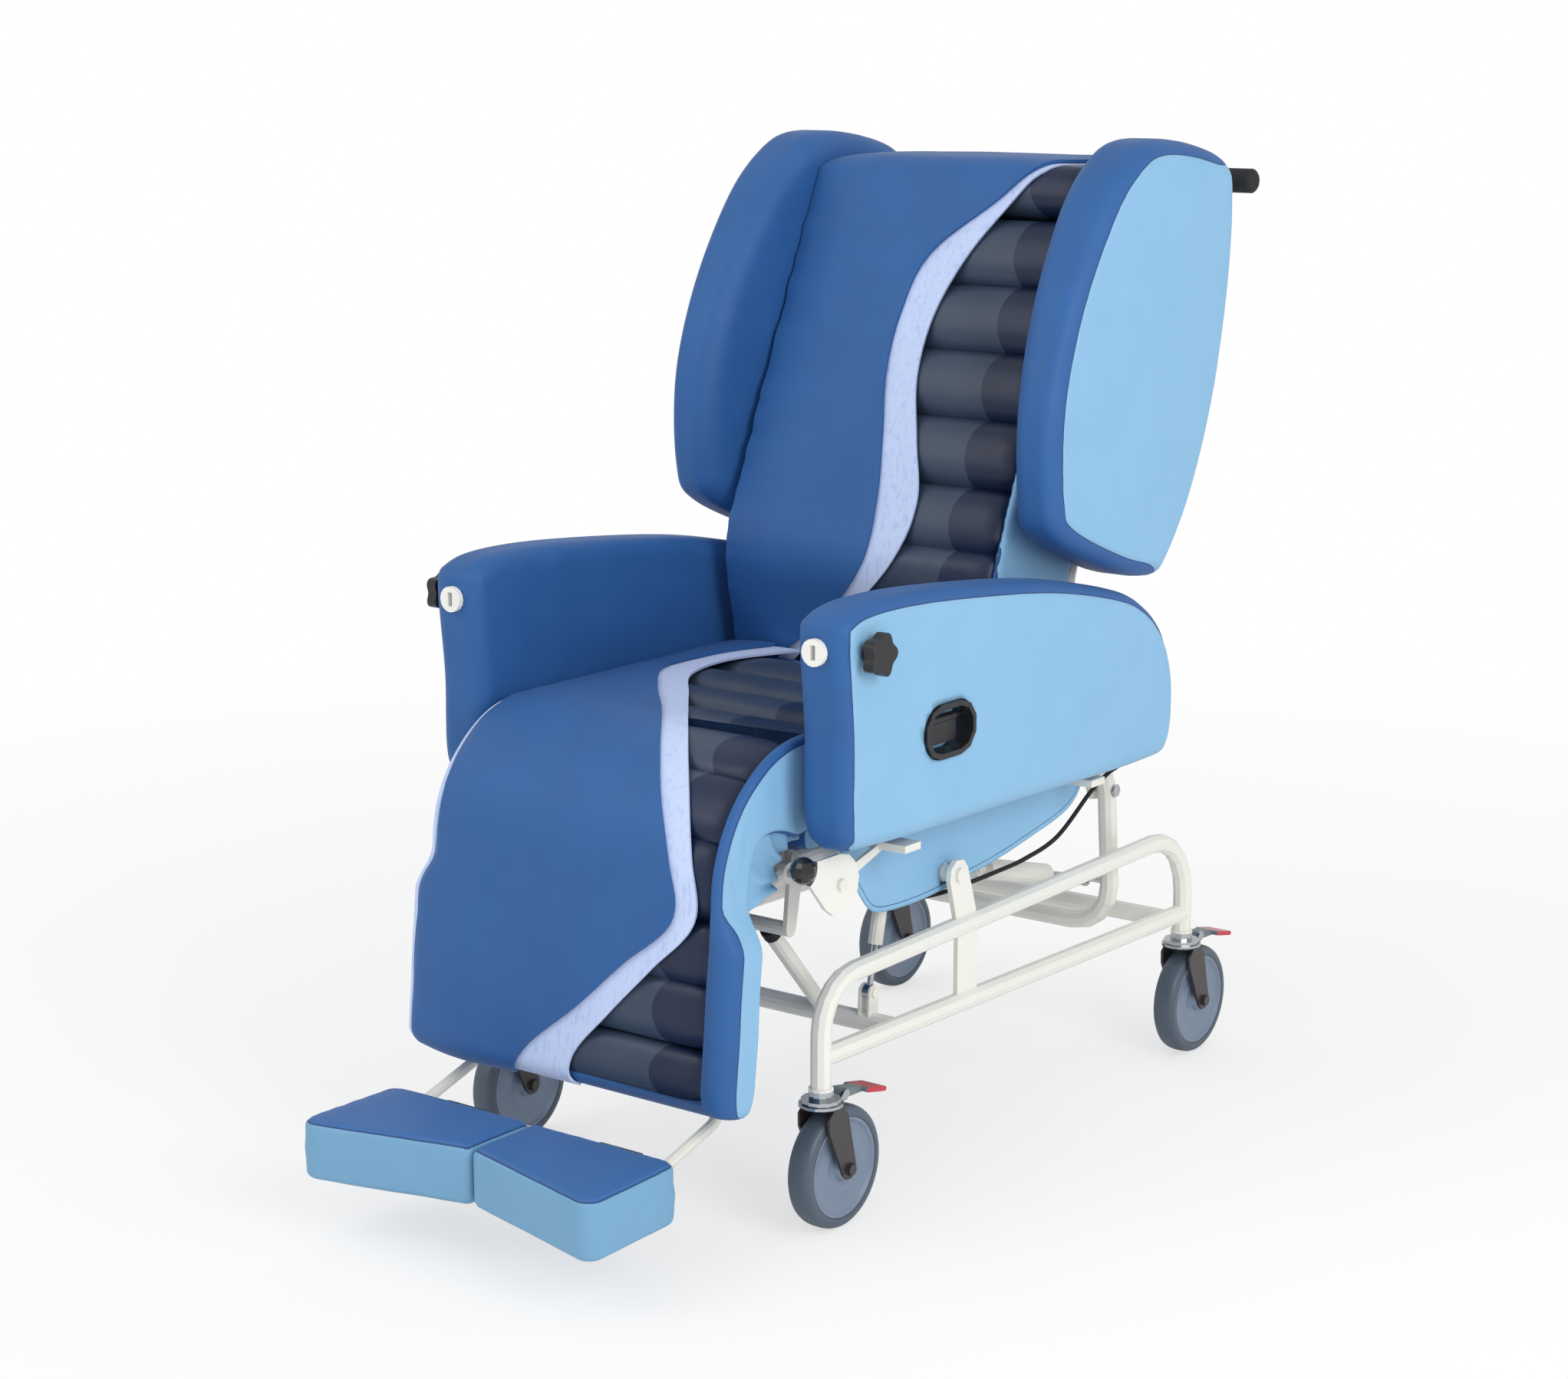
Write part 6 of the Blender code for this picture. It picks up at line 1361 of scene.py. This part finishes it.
# %% Rows for the back, the seat, the knee and the legrest
# After the two lengths: how many cells, their half width, their depth and the seed
back_row = cell_row("back_air_cells", "back", BACK_LINE, BACK_START + 104 * MM, BACK_LINE.length - 12 * MM,
                    9, 209 * MM, 80 * MM, 3)
seat_row = cell_row("seat_air_cells", "seat", SEAT_LINE, 14 * MM, SEAT_END, 4, 221 * MM, 80 * MM, 4)
knee_row = cell_row("knee_air_cells", "leg", SEAT_LINE, SEAT_END, KNEE_END, 3, 211 * MM, 66 * MM, 5)
shin_row = cell_row("legrest_air_cells", "leg", SEAT_LINE, KNEE_END, SEAT_LINE.length - 66 * MM,
                    3, 213 * MM, 44 * MM, 6)
bpy.data.objects.remove(tube_object)
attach(back_row, "backrest")
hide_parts("back_cells")
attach(seat_row, "seat")
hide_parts("seat_cells")
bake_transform(knee_row)
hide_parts("knee_cells")
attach(shin_row, "legrest")
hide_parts("legrest_cells")
print("cell faces:", sum(len(row.data.polygons) for row in (back_row, seat_row, knee_row, shin_row)))

# %% [markdown]
# ## The legrest's casing
#
# The cells of the knee and the legrest lie in a shallow tray of foam in the same cloth. From the
# front only its rim shows, as a dark strip beside the cells that comes out from under the arm and
# widens as it turns down. Its side is light cloth, slack enough to hang in upright folds. It is a
# loft of one section along the skin line, so that it bends where the legrest does.


# %% The tray's section
CASING_T, KNEE_THICKER = 66 * MM, 56 * MM
CELL_HALF = 214 * MM
RIM_FAR, RIM_NEAR = 9 * MM, 4 * MM
SIDE_ROWS, CORNER_STEPS = 12, 6
BOTTOM_ROUND, FAR_ROUND = 8 * MM, 14 * MM


def smooth_step(value, low, high):
    """A soft change from 0 to 1 as the value goes from low to high."""
    share = min(max((value - low) / (high - low), 0), 1)
    return share * share * (3 - 2 * share)


def near_side(half, rim, corner, inner, thick):
    """The near rim, its round corner and the side, each place with its distance from the seam."""
    places = [(inner, rim), (half - corner, rim)]
    number = [-(corner * 0.9 + half - corner - inner), -corner * 0.9]
    for k in range(1, CORNER_STEPS):
        turn = math.pi / 2 * k / CORNER_STEPS
        places.append((half - corner + corner * math.sin(turn), rim + corner * (1 - math.cos(turn))))
        number.append(-corner * 0.9 * (1 - k / CORNER_STEPS))
    for k in range(SIDE_ROWS + 1):
        down = rim + corner + (thick - BOTTOM_ROUND - rim - corner) * k / SIDE_ROWS
        places.append((half, down))
        number.append(min(down - rim - corner, thick - down) + 0.1 * MM)
    return places, number


def tray_section(half, rim_far, rim_near, corner, inner, deep, thick):
    """The section as (x, depth), from the near inner edge round under it, and its seam numbers."""
    near, number = near_side(half, rim_near, corner, inner, thick)
    under = [(half - BOTTOM_ROUND, thick), (half * 0.5, thick), (0, thick), (-half * 0.5, thick),
             (-half + 13 * MM, thick)]
    far_half = half - 5.5 * MM
    far_drop = thick - BOTTOM_ROUND - rim_far - FAR_ROUND
    far = [(-far_half, thick - BOTTOM_ROUND - far_drop * k / SIDE_ROWS) for k in range(SIDE_ROWS + 1)]
    far += [(-far_half + 4 * MM, rim_far + 4 * MM), (-far_half + FAR_ROUND, rim_far), (-inner, rim_far)]
    well = [(-inner, rim_far + deep * 0.5), (-inner, rim_far + deep), (0, rim_far + deep),
            (inner, rim_far + deep), (inner, rim_near + (rim_far - rim_near + deep) * 0.5)]
    number += [-0.02] * len(under) + [0.01] * SIDE_ROWS + [0.002] * 4 + [-0.03] * len(well)
    return near + under + far + well, number


print("the tray's side has", SIDE_ROWS, "rows")


# %% Sections along the knee and the shin, and round the foot
CASING_START, CASING_STOP = SEAT_END - 1 * MM, SEAT_LINE.length - 96 * MM
CASING_STEP = 8 * MM
CASING_FOOT_Z, FOOT_STEPS, FOOT_ROUND = 176 * MM, 8, 20 * MM


def knee_section(length):
    """The tray's section at this length: thicker at the knee, and shallower on the shin."""
    half = leg_half(length)
    sweep = (length - SEAT_END) / (KNEE_RADIUS * MM)
    thick = CASING_T + KNEE_THICKER * (1 - smooth_step(sweep, 0.25, 1.1))
    deep = 66 * MM - 20 * MM * smooth_step(sweep, 1.2, 1.6)
    inner = min(CELL_HALF, half - 10 * MM)
    corner = min(20 * MM, half - inner - 2 * MM)
    return tray_section(half, RIM_FAR, RIM_NEAR, corner, inner, min(deep, thick - 16 * MM), thick)


def foot_section(half, share):
    """The section at this share of the foot, where the tray closes and its edges turn in."""
    turned_in = FOOT_ROUND * (1 - math.sqrt(max(0.0, 1 - share ** 2)))
    deep = 46 * MM * (1 - smooth_step(share, 0.35, 0.6)) + 0.5 * MM
    return tray_section(half - turned_in * 0.4, RIM_FAR + turned_in * 0.8, RIM_NEAR + turned_in, 20 * MM,
                        CELL_HALF, deep, CASING_T - turned_in * 0.4)


def casing_rings():
    """All sections as rings of (x, place), with their seam numbers."""
    lengths = list(np.arange(CASING_START, CASING_STOP, CASING_STEP))
    rings, numbers = [], []
    for length in lengths:
        section, number = knee_section(length)
        rings.append([(x, SEAT_LINE.spot(length, down)) for x, down in section])
        numbers.append(number)
    last = lengths[-1]
    fall = min(spot.z for x, spot in rings[-1]) - CASING_FOOT_Z
    slope = Vector((0, -math.sin(SHIN_SLOPE), -math.cos(SHIN_SLOPE)))
    for step in range(1, FOOT_STEPS + 1):
        share = step / FOOT_STEPS
        section, number = foot_section(leg_half(last), share)
        rings.append([(x, SEAT_LINE.spot(last, down) + slope * (fall * share)) for x, down in section])
        numbers.append(number)
    return rings, numbers


print("the casing's foot is", CASING_FOOT_Z / MM, "mm above the floor")


# %% Loft the tray and let its light side hang in folds
FOLD_FROM, FOLD_FADE, FOLD_DEPTH_MM = 3 * MM, 10 * MM, 3.4
FOLD_WIDTH, FOLD_TALL = 26 * MM, 120 * MM
DENT_LENGTH, DENT_MM = 60 * MM, 1.2


def slack_side(x, spot, value):
    """A place's x with the folds of the slack side and the foam's own unevenness."""
    fold = 0.0
    if value > FOLD_FROM:
        here = Vector((spot.y / FOLD_WIDTH, spot.z / FOLD_TALL, 4.0 if x > 0 else 9.0))
        fold = noise.noise(here) * FOLD_DEPTH_MM * MM * min(1, (value - FOLD_FROM) / FOLD_FADE)
    dent = noise.noise(Vector((x, spot.y, spot.z)) / DENT_LENGTH) * DENT_MM * MM
    return x + math.copysign(fold, x) + dent


def leg_casing_mesh():
    """The tray as one closed loft through its sections."""
    shape = bmesh.new()
    layer = shape.verts.layers.float.new("seam")
    rows = []
    for ring, number in zip(*casing_rings()):
        row = []
        for (x, spot), value in zip(ring, number):
            vert = shape.verts.new((slack_side(x, spot, value), spot.y, spot.z))
            vert[layer] = value
            row.append(vert)
        rows.append(row)
    count = len(rows[0])
    for a, b in zip(rows, rows[1:]):
        for k in range(count):
            n = (k + 1) % count
            shape.faces.new((a[k], a[n], b[n], b[k]))
    shape.faces.new(rows[0])
    shape.faces.new(list(reversed(rows[-1])))
    bmesh.ops.triangulate(shape, faces=[face for face in shape.faces if len(face.verts) > 4])
    bmesh.ops.recalc_face_normals(shape, faces=shape.faces)
    return mesh_of(shape, "leg_casing")


print("folds", FOLD_WIDTH / MM, "mm wide and", FOLD_DEPTH_MM, "mm deep")

# %% [markdown]
# Beside the knee the light cloth has room for the lift: a fan of it hangs between the casing's
# side and the hinge, in soft folds that run out from the hinge.


# %% A fan of folds round the hinge
FAN_OUTER, FAN_INNER = 112 * MM, 44 * MM
FAN_FOLDS = 7.5
FAN_STEPS, FAN_ROWS = 96, 12
FAN_START, FAN_SWEEP = 0.04, 1.72
FAN_FOLD_MM = 4.2


def fan_mesh(name, side):
    """A fan of folded cloth round the hinge, and its area."""
    centre = place(0, *KNEE_CENTRE)
    shape = bmesh.new()
    layer = shape.verts.layers.float.new("seam")
    rows, area = [], 0.0
    for step in range(FAN_STEPS + 1):
        sweep = FAN_START + FAN_SWEEP * step / FAN_STEPS
        row = []
        for k in range(FAN_ROWS + 1):
            share = k / FAN_ROWS
            radius = FAN_OUTER + (FAN_INNER - FAN_OUTER) * share
            wander = noise.noise(Vector((sweep * 2.5, share * 1.5, 3.0 * side)))
            fold = math.sin(FAN_FOLDS * 2 * sweep + wander * 3.2) * FAN_FOLD_MM * MM * (0.25 + 0.75 * share)
            length = SEAT_END + KNEE_RADIUS * MM * min(sweep, 1.5)
            x = leg_half(length) - 8 * MM - 9 * MM * share + fold
            y, z = centre.y - radius * math.sin(sweep), centre.z + radius * math.cos(sweep)
            vert = shape.verts.new((side * x, y, z))
            vert[layer] = ALL_LIGHT
            row.append(vert)
        rows.append(row)
    for a, b in zip(rows, rows[1:]):
        for k in range(FAN_ROWS):
            area += shape.faces.new((a[k], a[k + 1], b[k + 1], b[k])).calc_area()
    bmesh.ops.recalc_face_normals(shape, faces=shape.faces)
    return mesh_of(shape, name), area


def thicken(piece, thickness):
    """Give a thin sheet its thickness, half to each side."""
    solid = piece.modifiers.new("thickness", "SOLIDIFY")
    solid.thickness = thickness
    solid.offset = 0.0
    apply_modifiers(piece)


print("a fan of", FAN_STEPS, "by", FAN_ROWS, "faces")


# %% The casing and its folded gussets
GUSSET_T = 1.6 * MM

for side, word in SIDES:
    mesh, area = fan_mesh("knee_fan_" + word, side)
    fan = add_object("knee_gusset_" + word, mesh, COVER_CLOTH)
    thicken(fan, GUSSET_T)
    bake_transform(fan)
    print(word, "gusset area", round(area, 4))

leg_casing = add_object("leg_casing_padding", leg_casing_mesh(), COVER_CLOTH)
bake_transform(leg_casing)
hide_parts("legrest_casing")
print("leg casing:", len(leg_casing.data.polygons), "faces")

# %% [markdown]
# ## Foot pads
#
# The footrest is two thick pads side by side, deeper at their outer ends. The top is dark and the
# sides are light, with the seam right at the top's edge. They are boards too, so the same function
# makes them lying down: its thickness runs upward instead of sideways. A cloth of the same recipe
# with its colours the other way round puts the light one outside the seam.


# %% The pads' cloth and outline
PAD_CLOTH = cloth("coated_stretch_cloth_on_pads", dark=("#78a9cb", "#6fa0c3"), light=("#3b6dab", "#3566a2"))
PAD_CORNERS = ((2, -640), (220, -640), (227, -805), (2, -748))
PAD_RADII = (8 * MM, 20 * MM, 20 * MM, 8 * MM)
PAD_ROUND_STEPS = 8


def even_loop(path, spacing):
    """Points at an even spacing round a closed path."""
    spots = np.array([tuple(spot) for spot in path] + [tuple(path[0])])
    gone = np.concatenate([[0], np.cumsum(np.linalg.norm(np.diff(spots, axis=0), axis=1))])
    marks = np.linspace(0, gone[-1], round(gone[-1] / spacing) + 1)[:-1]
    return np.stack([np.interp(marks, gone, spots[:, 0]), np.interp(marks, gone, spots[:, 1])], axis=1)


def pad_loop(side):
    """The pad's outline from above, with its outer corners rounded."""
    spots = [Vector((x * MM, y * MM + DRAWING_Y)) for x, y in PAD_CORNERS]
    middle = spots[0].lerp(spots[-1], 0.5)
    path = rounded_path([middle] + spots + [middle], PAD_RADII, PAD_ROUND_STEPS)
    if side < 0:
        path = [Vector((-spot.x, spot.y)) for spot in reversed(path)]
    return even_loop(path[:-1], 6 * MM)


print("pad outline:", len(pad_loop(1)), "points")


# %% Make the pads lying down
PAD_FOOT_Z, PAD_TOP_Z = 75 * MM, 145 * MM
PAD_EDGE, PAD_SWELL, PAD_SEAM, PAD_SEED = 7 * MM, 2.4 * MM, 3 * MM, 11.0
PAD_MIDDLE = (112, -712)
BULGE_LENGTH, BULGE_MM, SIDE_PUSH = 34 * MM, 2.4, 1.2 * MM
BULGE_MIDDLE_Z, BULGE_HALF = 110 * MM, 33 * MM


def lay_down(mesh, side):
    """Turn a board's thickness upward, and let its sides bulge, but not towards the other pad."""
    middle = Vector((side * PAD_MIDDLE[0] * MM, PAD_MIDDLE[1] * MM + DRAWING_Y))
    for vert in mesh.vertices:
        up, x, y = vert.co
        bulge = noise.noise(Vector((x, y, up * 2)) / BULGE_LENGTH) * BULGE_MM * MM
        side_share = max(0.0, 1 - abs(up - BULGE_MIDDLE_Z) / BULGE_HALF)
        away = (Vector((x, y)) - middle).normalized()
        push = side_share * (SIDE_PUSH + bulge) * (1 if away.x * side > -0.6 else 0)
        vert.co = (x + away.x * push, y + away.y * push, up)


for side, word in SIDES:
    mesh = board_mesh("foot_pad_" + word, pad_loop(side), PAD_FOOT_Z, PAD_TOP_Z, PAD_EDGE, PAD_SWELL,
                      PAD_SEAM, (), PAD_SEED * side)
    lay_down(mesh, side)
    pad = add_object("foot_pad_cover_" + word, mesh, PAD_CLOTH)
    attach(pad, "footrest")
    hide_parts("footrest_pad_" + word)
    print(word, "pad:", len(mesh.polygons), "faces")

# %% [markdown]
# ## Back and seat casings
#
# Behind the cells each cushion has a firm foam body in its own cover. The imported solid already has
# its shape, so a copy of it is remeshed to small even faces and relaxed: its hard edges turn into
# the soft ones of covered foam. The seam number is then written from each point's place, so that
# the sides come out light and the front rim and the rear dark.


# %% A soft copy of a packed casing
RELAX_PASSES = 3
FOAM_LENGTH, FOAM_MM = 70 * MM, 1.2


def soft_copy(node, name, voxel, seam_at):
    """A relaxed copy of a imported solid, with the seam number worked out from each place."""
    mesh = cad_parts[node].data.copy()
    mesh.materials.clear()
    piece = add_object(name, mesh, COVER_CLOTH)
    remesh = piece.modifiers.new("even", "REMESH")
    remesh.mode = "VOXEL"
    remesh.voxel_size = voxel
    relax = piece.modifiers.new("relax", "SMOOTH")
    relax.factor = 0.5
    relax.iterations = RELAX_PASSES
    apply_modifiers(piece)
    mesh = piece.data
    values = [seam_at(vert.co) for vert in mesh.vertices]
    moves = [vert.normal * noise.noise(vert.co / FOAM_LENGTH) * FOAM_MM * MM for vert in mesh.vertices]
    places = [tuple(vert.co + move) for vert, move in zip(mesh.vertices, moves)]
    mesh.vertices.foreach_set("co", np.array(places).ravel())
    mesh.attributes.new("seam", "FLOAT", "POINT").data.foreach_set("value", values)
    print(name, len(mesh.polygons), "faces")
    return piece


print("casings are relaxed", RELAX_PASSES, "times")


# %% The back's and the seat's casings
BACK_SIDE_X, SEAT_SIDE_X = 207 * MM, 218 * MM
BACK_RIM, BACK_SEAM_MOST = 20 * MM, 40 * MM


def back_seam(spot):
    """Light on the sides, from a little behind the front edge."""
    if abs(spot.x) < BACK_SIDE_X:
        return ALL_DARK
    gap = np.linalg.norm(BACK_LINE.points - np.array((spot.y, spot.z)), axis=1).min()
    return float(min(gap - BACK_RIM, BACK_SEAM_MOST))


def seat_seam(spot):
    """Light on the sides."""
    return ALL_LIGHT if abs(spot.x) > SEAT_SIDE_X else ALL_DARK


back_body = soft_copy("back_casing", "back_casing_padding", 6 * MM, back_seam)
seat_body = soft_copy("seat_casing", "seat_casing_padding", 7 * MM, seat_seam)
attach(back_body, "backrest")
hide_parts("back_casing")
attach(seat_body, "seat")
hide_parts("seat_casing")
print("casing faces:", len(back_body.data.polygons) + len(seat_body.data.polygons))

# %% [markdown]
# ## Skirts
#
# A skirt of the light cloth hangs under each arm and hides the seat's rails. It is a single sheet,
# straight along its top and cut in a curve below, with a hem. Shallow upright waves run through it,
# wider towards the hem, and a hole lets the tilt pivot through.


# %% A skirt's outline and mesh
# Shares of the skirt's box along its lower edge, from the front to the rear
SKIRT_SHARES = ((0.0, 1.0), (0.06, 0.45), (0.13, 0.06), (0.28, 0.0), (0.45, 0.06), (0.68, 0.22),
                (0.92, 0.52), (1.0, 1.0))
SKIRT_TOP, SKIRT_X = 447.2, 230 * MM
SKIRT_HEM, SKIRT_PLAIN_TOP = 7 * MM, 8 * MM
WAVE_LENGTH, WAVE_TALL, WAVE_MM = 60 * MM, 220 * MM, 3.2
skirt_low, skirt_high = place(0, -352, 352), place(0, 192, SKIRT_TOP)


def skirt_outline():
    """The curved lower edge, closed by a straight top."""
    low, high = np.array((skirt_low.y, skirt_low.z)), np.array((skirt_high.y, skirt_high.z))
    lower = spline([low + (high - low) * np.array(share) for share in SKIRT_SHARES], False, 7 * MM)
    lower[:, 1] = np.minimum(lower[:, 1], high[1])
    top = np.stack([np.linspace(high[0], low[0], 78)[1:-1], np.full(76, high[1])], axis=1)
    return np.concatenate([lower, top])


def hem_number(gap, z):
    """The hem's line along the edge, but not along the top."""
    if gap >= SKIRT_HEM + 0.5 * MM:
        return ALL_LIGHT
    return gap - SKIRT_HEM if z < skirt_high.z - SKIRT_PLAIN_TOP else 0.02


def skirt_mesh(name, side, seed):
    """A thin sheet in upright waves, and its area."""
    outline = skirt_outline()
    places, faces = filled_panel(outline, [0, 3 * MM, SKIRT_HEM], 9 * MM)
    gap = edge_distance(places, outline)[0]
    shape = bmesh.new()
    layer = shape.verts.layers.float.new("seam")
    verts, area = [], 0.0
    for (u, v), near in zip(places, gap):
        hang = (skirt_high.z - v) / (skirt_high.z - skirt_low.z)
        wave = noise.noise(Vector((u / WAVE_LENGTH, v / WAVE_TALL, seed))) * WAVE_MM * MM * hang
        vert = shape.verts.new((side * (SKIRT_X + wave), u, v))
        vert[layer] = hem_number(near, v)
        verts.append(vert)
    for face in faces:
        made = shape.faces.new([verts[k] for k in face])
        area += made.calc_area()
    bmesh.ops.recalc_face_normals(shape, faces=shape.faces)
    return mesh_of(shape, name), area


print("skirt outline:", len(skirt_outline()), "points")


# %% Hang the skirts
SKIRT_T, SKIRT_SEED = 1.8 * MM, 2.0
PIVOT_HOLE = ((215, -136, 376), (245, -136, 376), 11.8 * MM)
SKIRT_CLOTH = cloth("coated_stretch_cloth_on_skirts", dark=(LIGHT_BLUE, LIGHT_SHADE),
                    light=(LIGHT_BLUE, LIGHT_SHADE))

for side, word in SIDES:
    mesh, area = skirt_mesh("skirt_" + word, side, SKIRT_SEED * side)
    skirt = add_object("skirt_sheet_" + word, mesh, SKIRT_CLOTH)
    thicken(skirt, SKIRT_T)
    cut_holes(skirt, [rod_cutter("pivot_hole", PIVOT_HOLE, side)])
    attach(skirt, "seat")
    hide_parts("seat_skirt_" + word)
    print(word, "skirt area", round(area, 4))

# %% [markdown]
# ## Release cable
#
# A thin black cable runs from the release handle, out under the arm, along behind the skirt and
# up to the head of the tilt's gas spring. It is a curve with a round section, and its route
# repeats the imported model's own.


# %% Run the cable
CABLE_ROUTE = ((272, 200, 459.9), (271, 202, 452), (250, 214, 438), (226, 210, 410), (222, 137, 364),
               (222, 60, 350), (222, -6, 347), (222, -70, 346), (222, -118, 346), (222, -160, 349),
               (222, -192, 353), (221.5, -204, 362), (221.5, -212, 376), (221.5, -216, 392))
CABLE_RADIUS = 2.9 * MM
cable_points = spline([tuple(place(*spot)) for spot in CABLE_ROUTE], False, 6 * MM)
cable_curve = bpy.data.curves.new("release_cable", "CURVE")
cable_curve.dimensions = "3D"
cable_curve.bevel_depth = CABLE_RADIUS
cable_curve.bevel_resolution = 3
cable_curve.use_fill_caps = True
run = cable_curve.splines.new("POLY")
run.points.add(len(cable_points) - 1)
run.points.foreach_set("co", np.concatenate([cable_points, np.ones((len(cable_points), 1))], axis=1).ravel())
cable_curve.materials.append(RUBBER)
cable = new_object("release_cable_run", cable_curve)
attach(cable, "seat")
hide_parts("release_cable")

# %% [markdown]
# ## Floor and light
#
# The picture is a cut-out on white, so the floor is white and plain, and the world behind it is
# white to the camera and a little dimmer as a light. The floor glows white to the camera too, fully
# at a distance and less near the chair, so that the chair's shadow stays. A broad lamp at the
# sitter's front right and a stronger one at their left give the soft gradients on the covers, and
# the world fills the rest evenly.


# %% White floor
FLOOR_HALF = 60.0
SHADOW_LIFT = 0.62
SHADOW_REACH, WHITE_FROM = 0.9, 3.2

floor_shape = bmesh.new()
bmesh.ops.create_grid(floor_shape, x_segments=1, y_segments=1, size=FLOOR_HALF)
floor = new_object("floor", mesh_of(floor_shape, "floor"))
floor_paint, floor_output = new_material("matt_white_floor")
floor_tree = floor_paint.node_tree
floor_shader = add_node(floor_tree, "ShaderNodeBsdfPrincipled", {"Base Color": linear("#fafafa"),
                                                                 "Roughness": 0.9})
floor_spot = add_node(floor_tree, "ShaderNodeTexCoord")
floor_away = add_node(floor_tree, "ShaderNodeVectorMath", {0: floor_spot.outputs["Object"]},
                      operation="LENGTH")
floor_fade = add_node(floor_tree, "ShaderNodeMapRange", {
    "Value": floor_away.outputs["Value"], "From Min": SHADOW_REACH, "From Max": WHITE_FROM,
    "To Min": SHADOW_LIFT, "To Max": 1.0})
floor_path = add_node(floor_tree, "ShaderNodeLightPath")
floor_seen = add_node(floor_tree, "ShaderNodeMath", {0: floor_path.outputs["Is Camera Ray"],
                                                     1: floor_fade.outputs[0]}, operation="MULTIPLY")
floor_glow = add_node(floor_tree, "ShaderNodeEmission", {"Color": linear("#ffffff"), "Strength": 1.0})
floor_mix = add_node(floor_tree, "ShaderNodeMixShader", {0: floor_seen.outputs[0], 1: floor_shader.outputs[0],
                                                         2: floor_glow.outputs[0]})
floor.data.materials.append(finish_material(floor_paint, floor_output, floor_mix))
print("floor:", 2 * FLOOR_HALF, "m square")


# %% White world and two soft lamps
WORLD_LIGHT = 0.74
# Place in metres, size in metres and power in watts
FRONT_RIGHT_LAMP = ((-1.6, -3.4, 3.4), 2.2, 36.0)
LEFT_LAMP = ((3.6, -1.2, 2.2), 2.0, 62.0)
LAMPS_LOOK_AT = Vector((0, 0, 0.6))

world = bpy.data.worlds.new("white_studio")
world.use_nodes = True
scene.world = world
sky = world.node_tree
sky.nodes.clear()
sky_out = add_node(sky, "ShaderNodeOutputWorld")
seen = add_node(sky, "ShaderNodeLightPath")
strength = add_node(sky, "ShaderNodeMapRange", {"Value": seen.outputs["Is Camera Ray"], "To Min": WORLD_LIGHT,
                                                "To Max": 1.0})
white = add_node(sky, "ShaderNodeBackground", {"Color": linear("#ffffff"),
                                               "Strength": strength.outputs[0]})
sky.links.new(white.outputs[0], sky_out.inputs["Surface"])


def soft_lamp(name, at, size, watts):
    """A square lamp that looks at the middle of the chair."""
    data = bpy.data.lights.new(name, "AREA")
    data.size = size
    data.energy = watts
    lamp = new_object(name, data)
    lamp.location = at
    lamp.rotation_euler = (Vector(at) - LAMPS_LOOK_AT).to_track_quat("Z", "Y").to_euler()


soft_lamp("front_right_lamp", *FRONT_RIGHT_LAMP)
soft_lamp("left_lamp", *LEFT_LAMP)
scene.view_settings.view_transform = "Standard"
print("lamps:", FRONT_RIGHT_LAMP[2], "and", LEFT_LAMP[2], "W; world", WORLD_LIGHT)
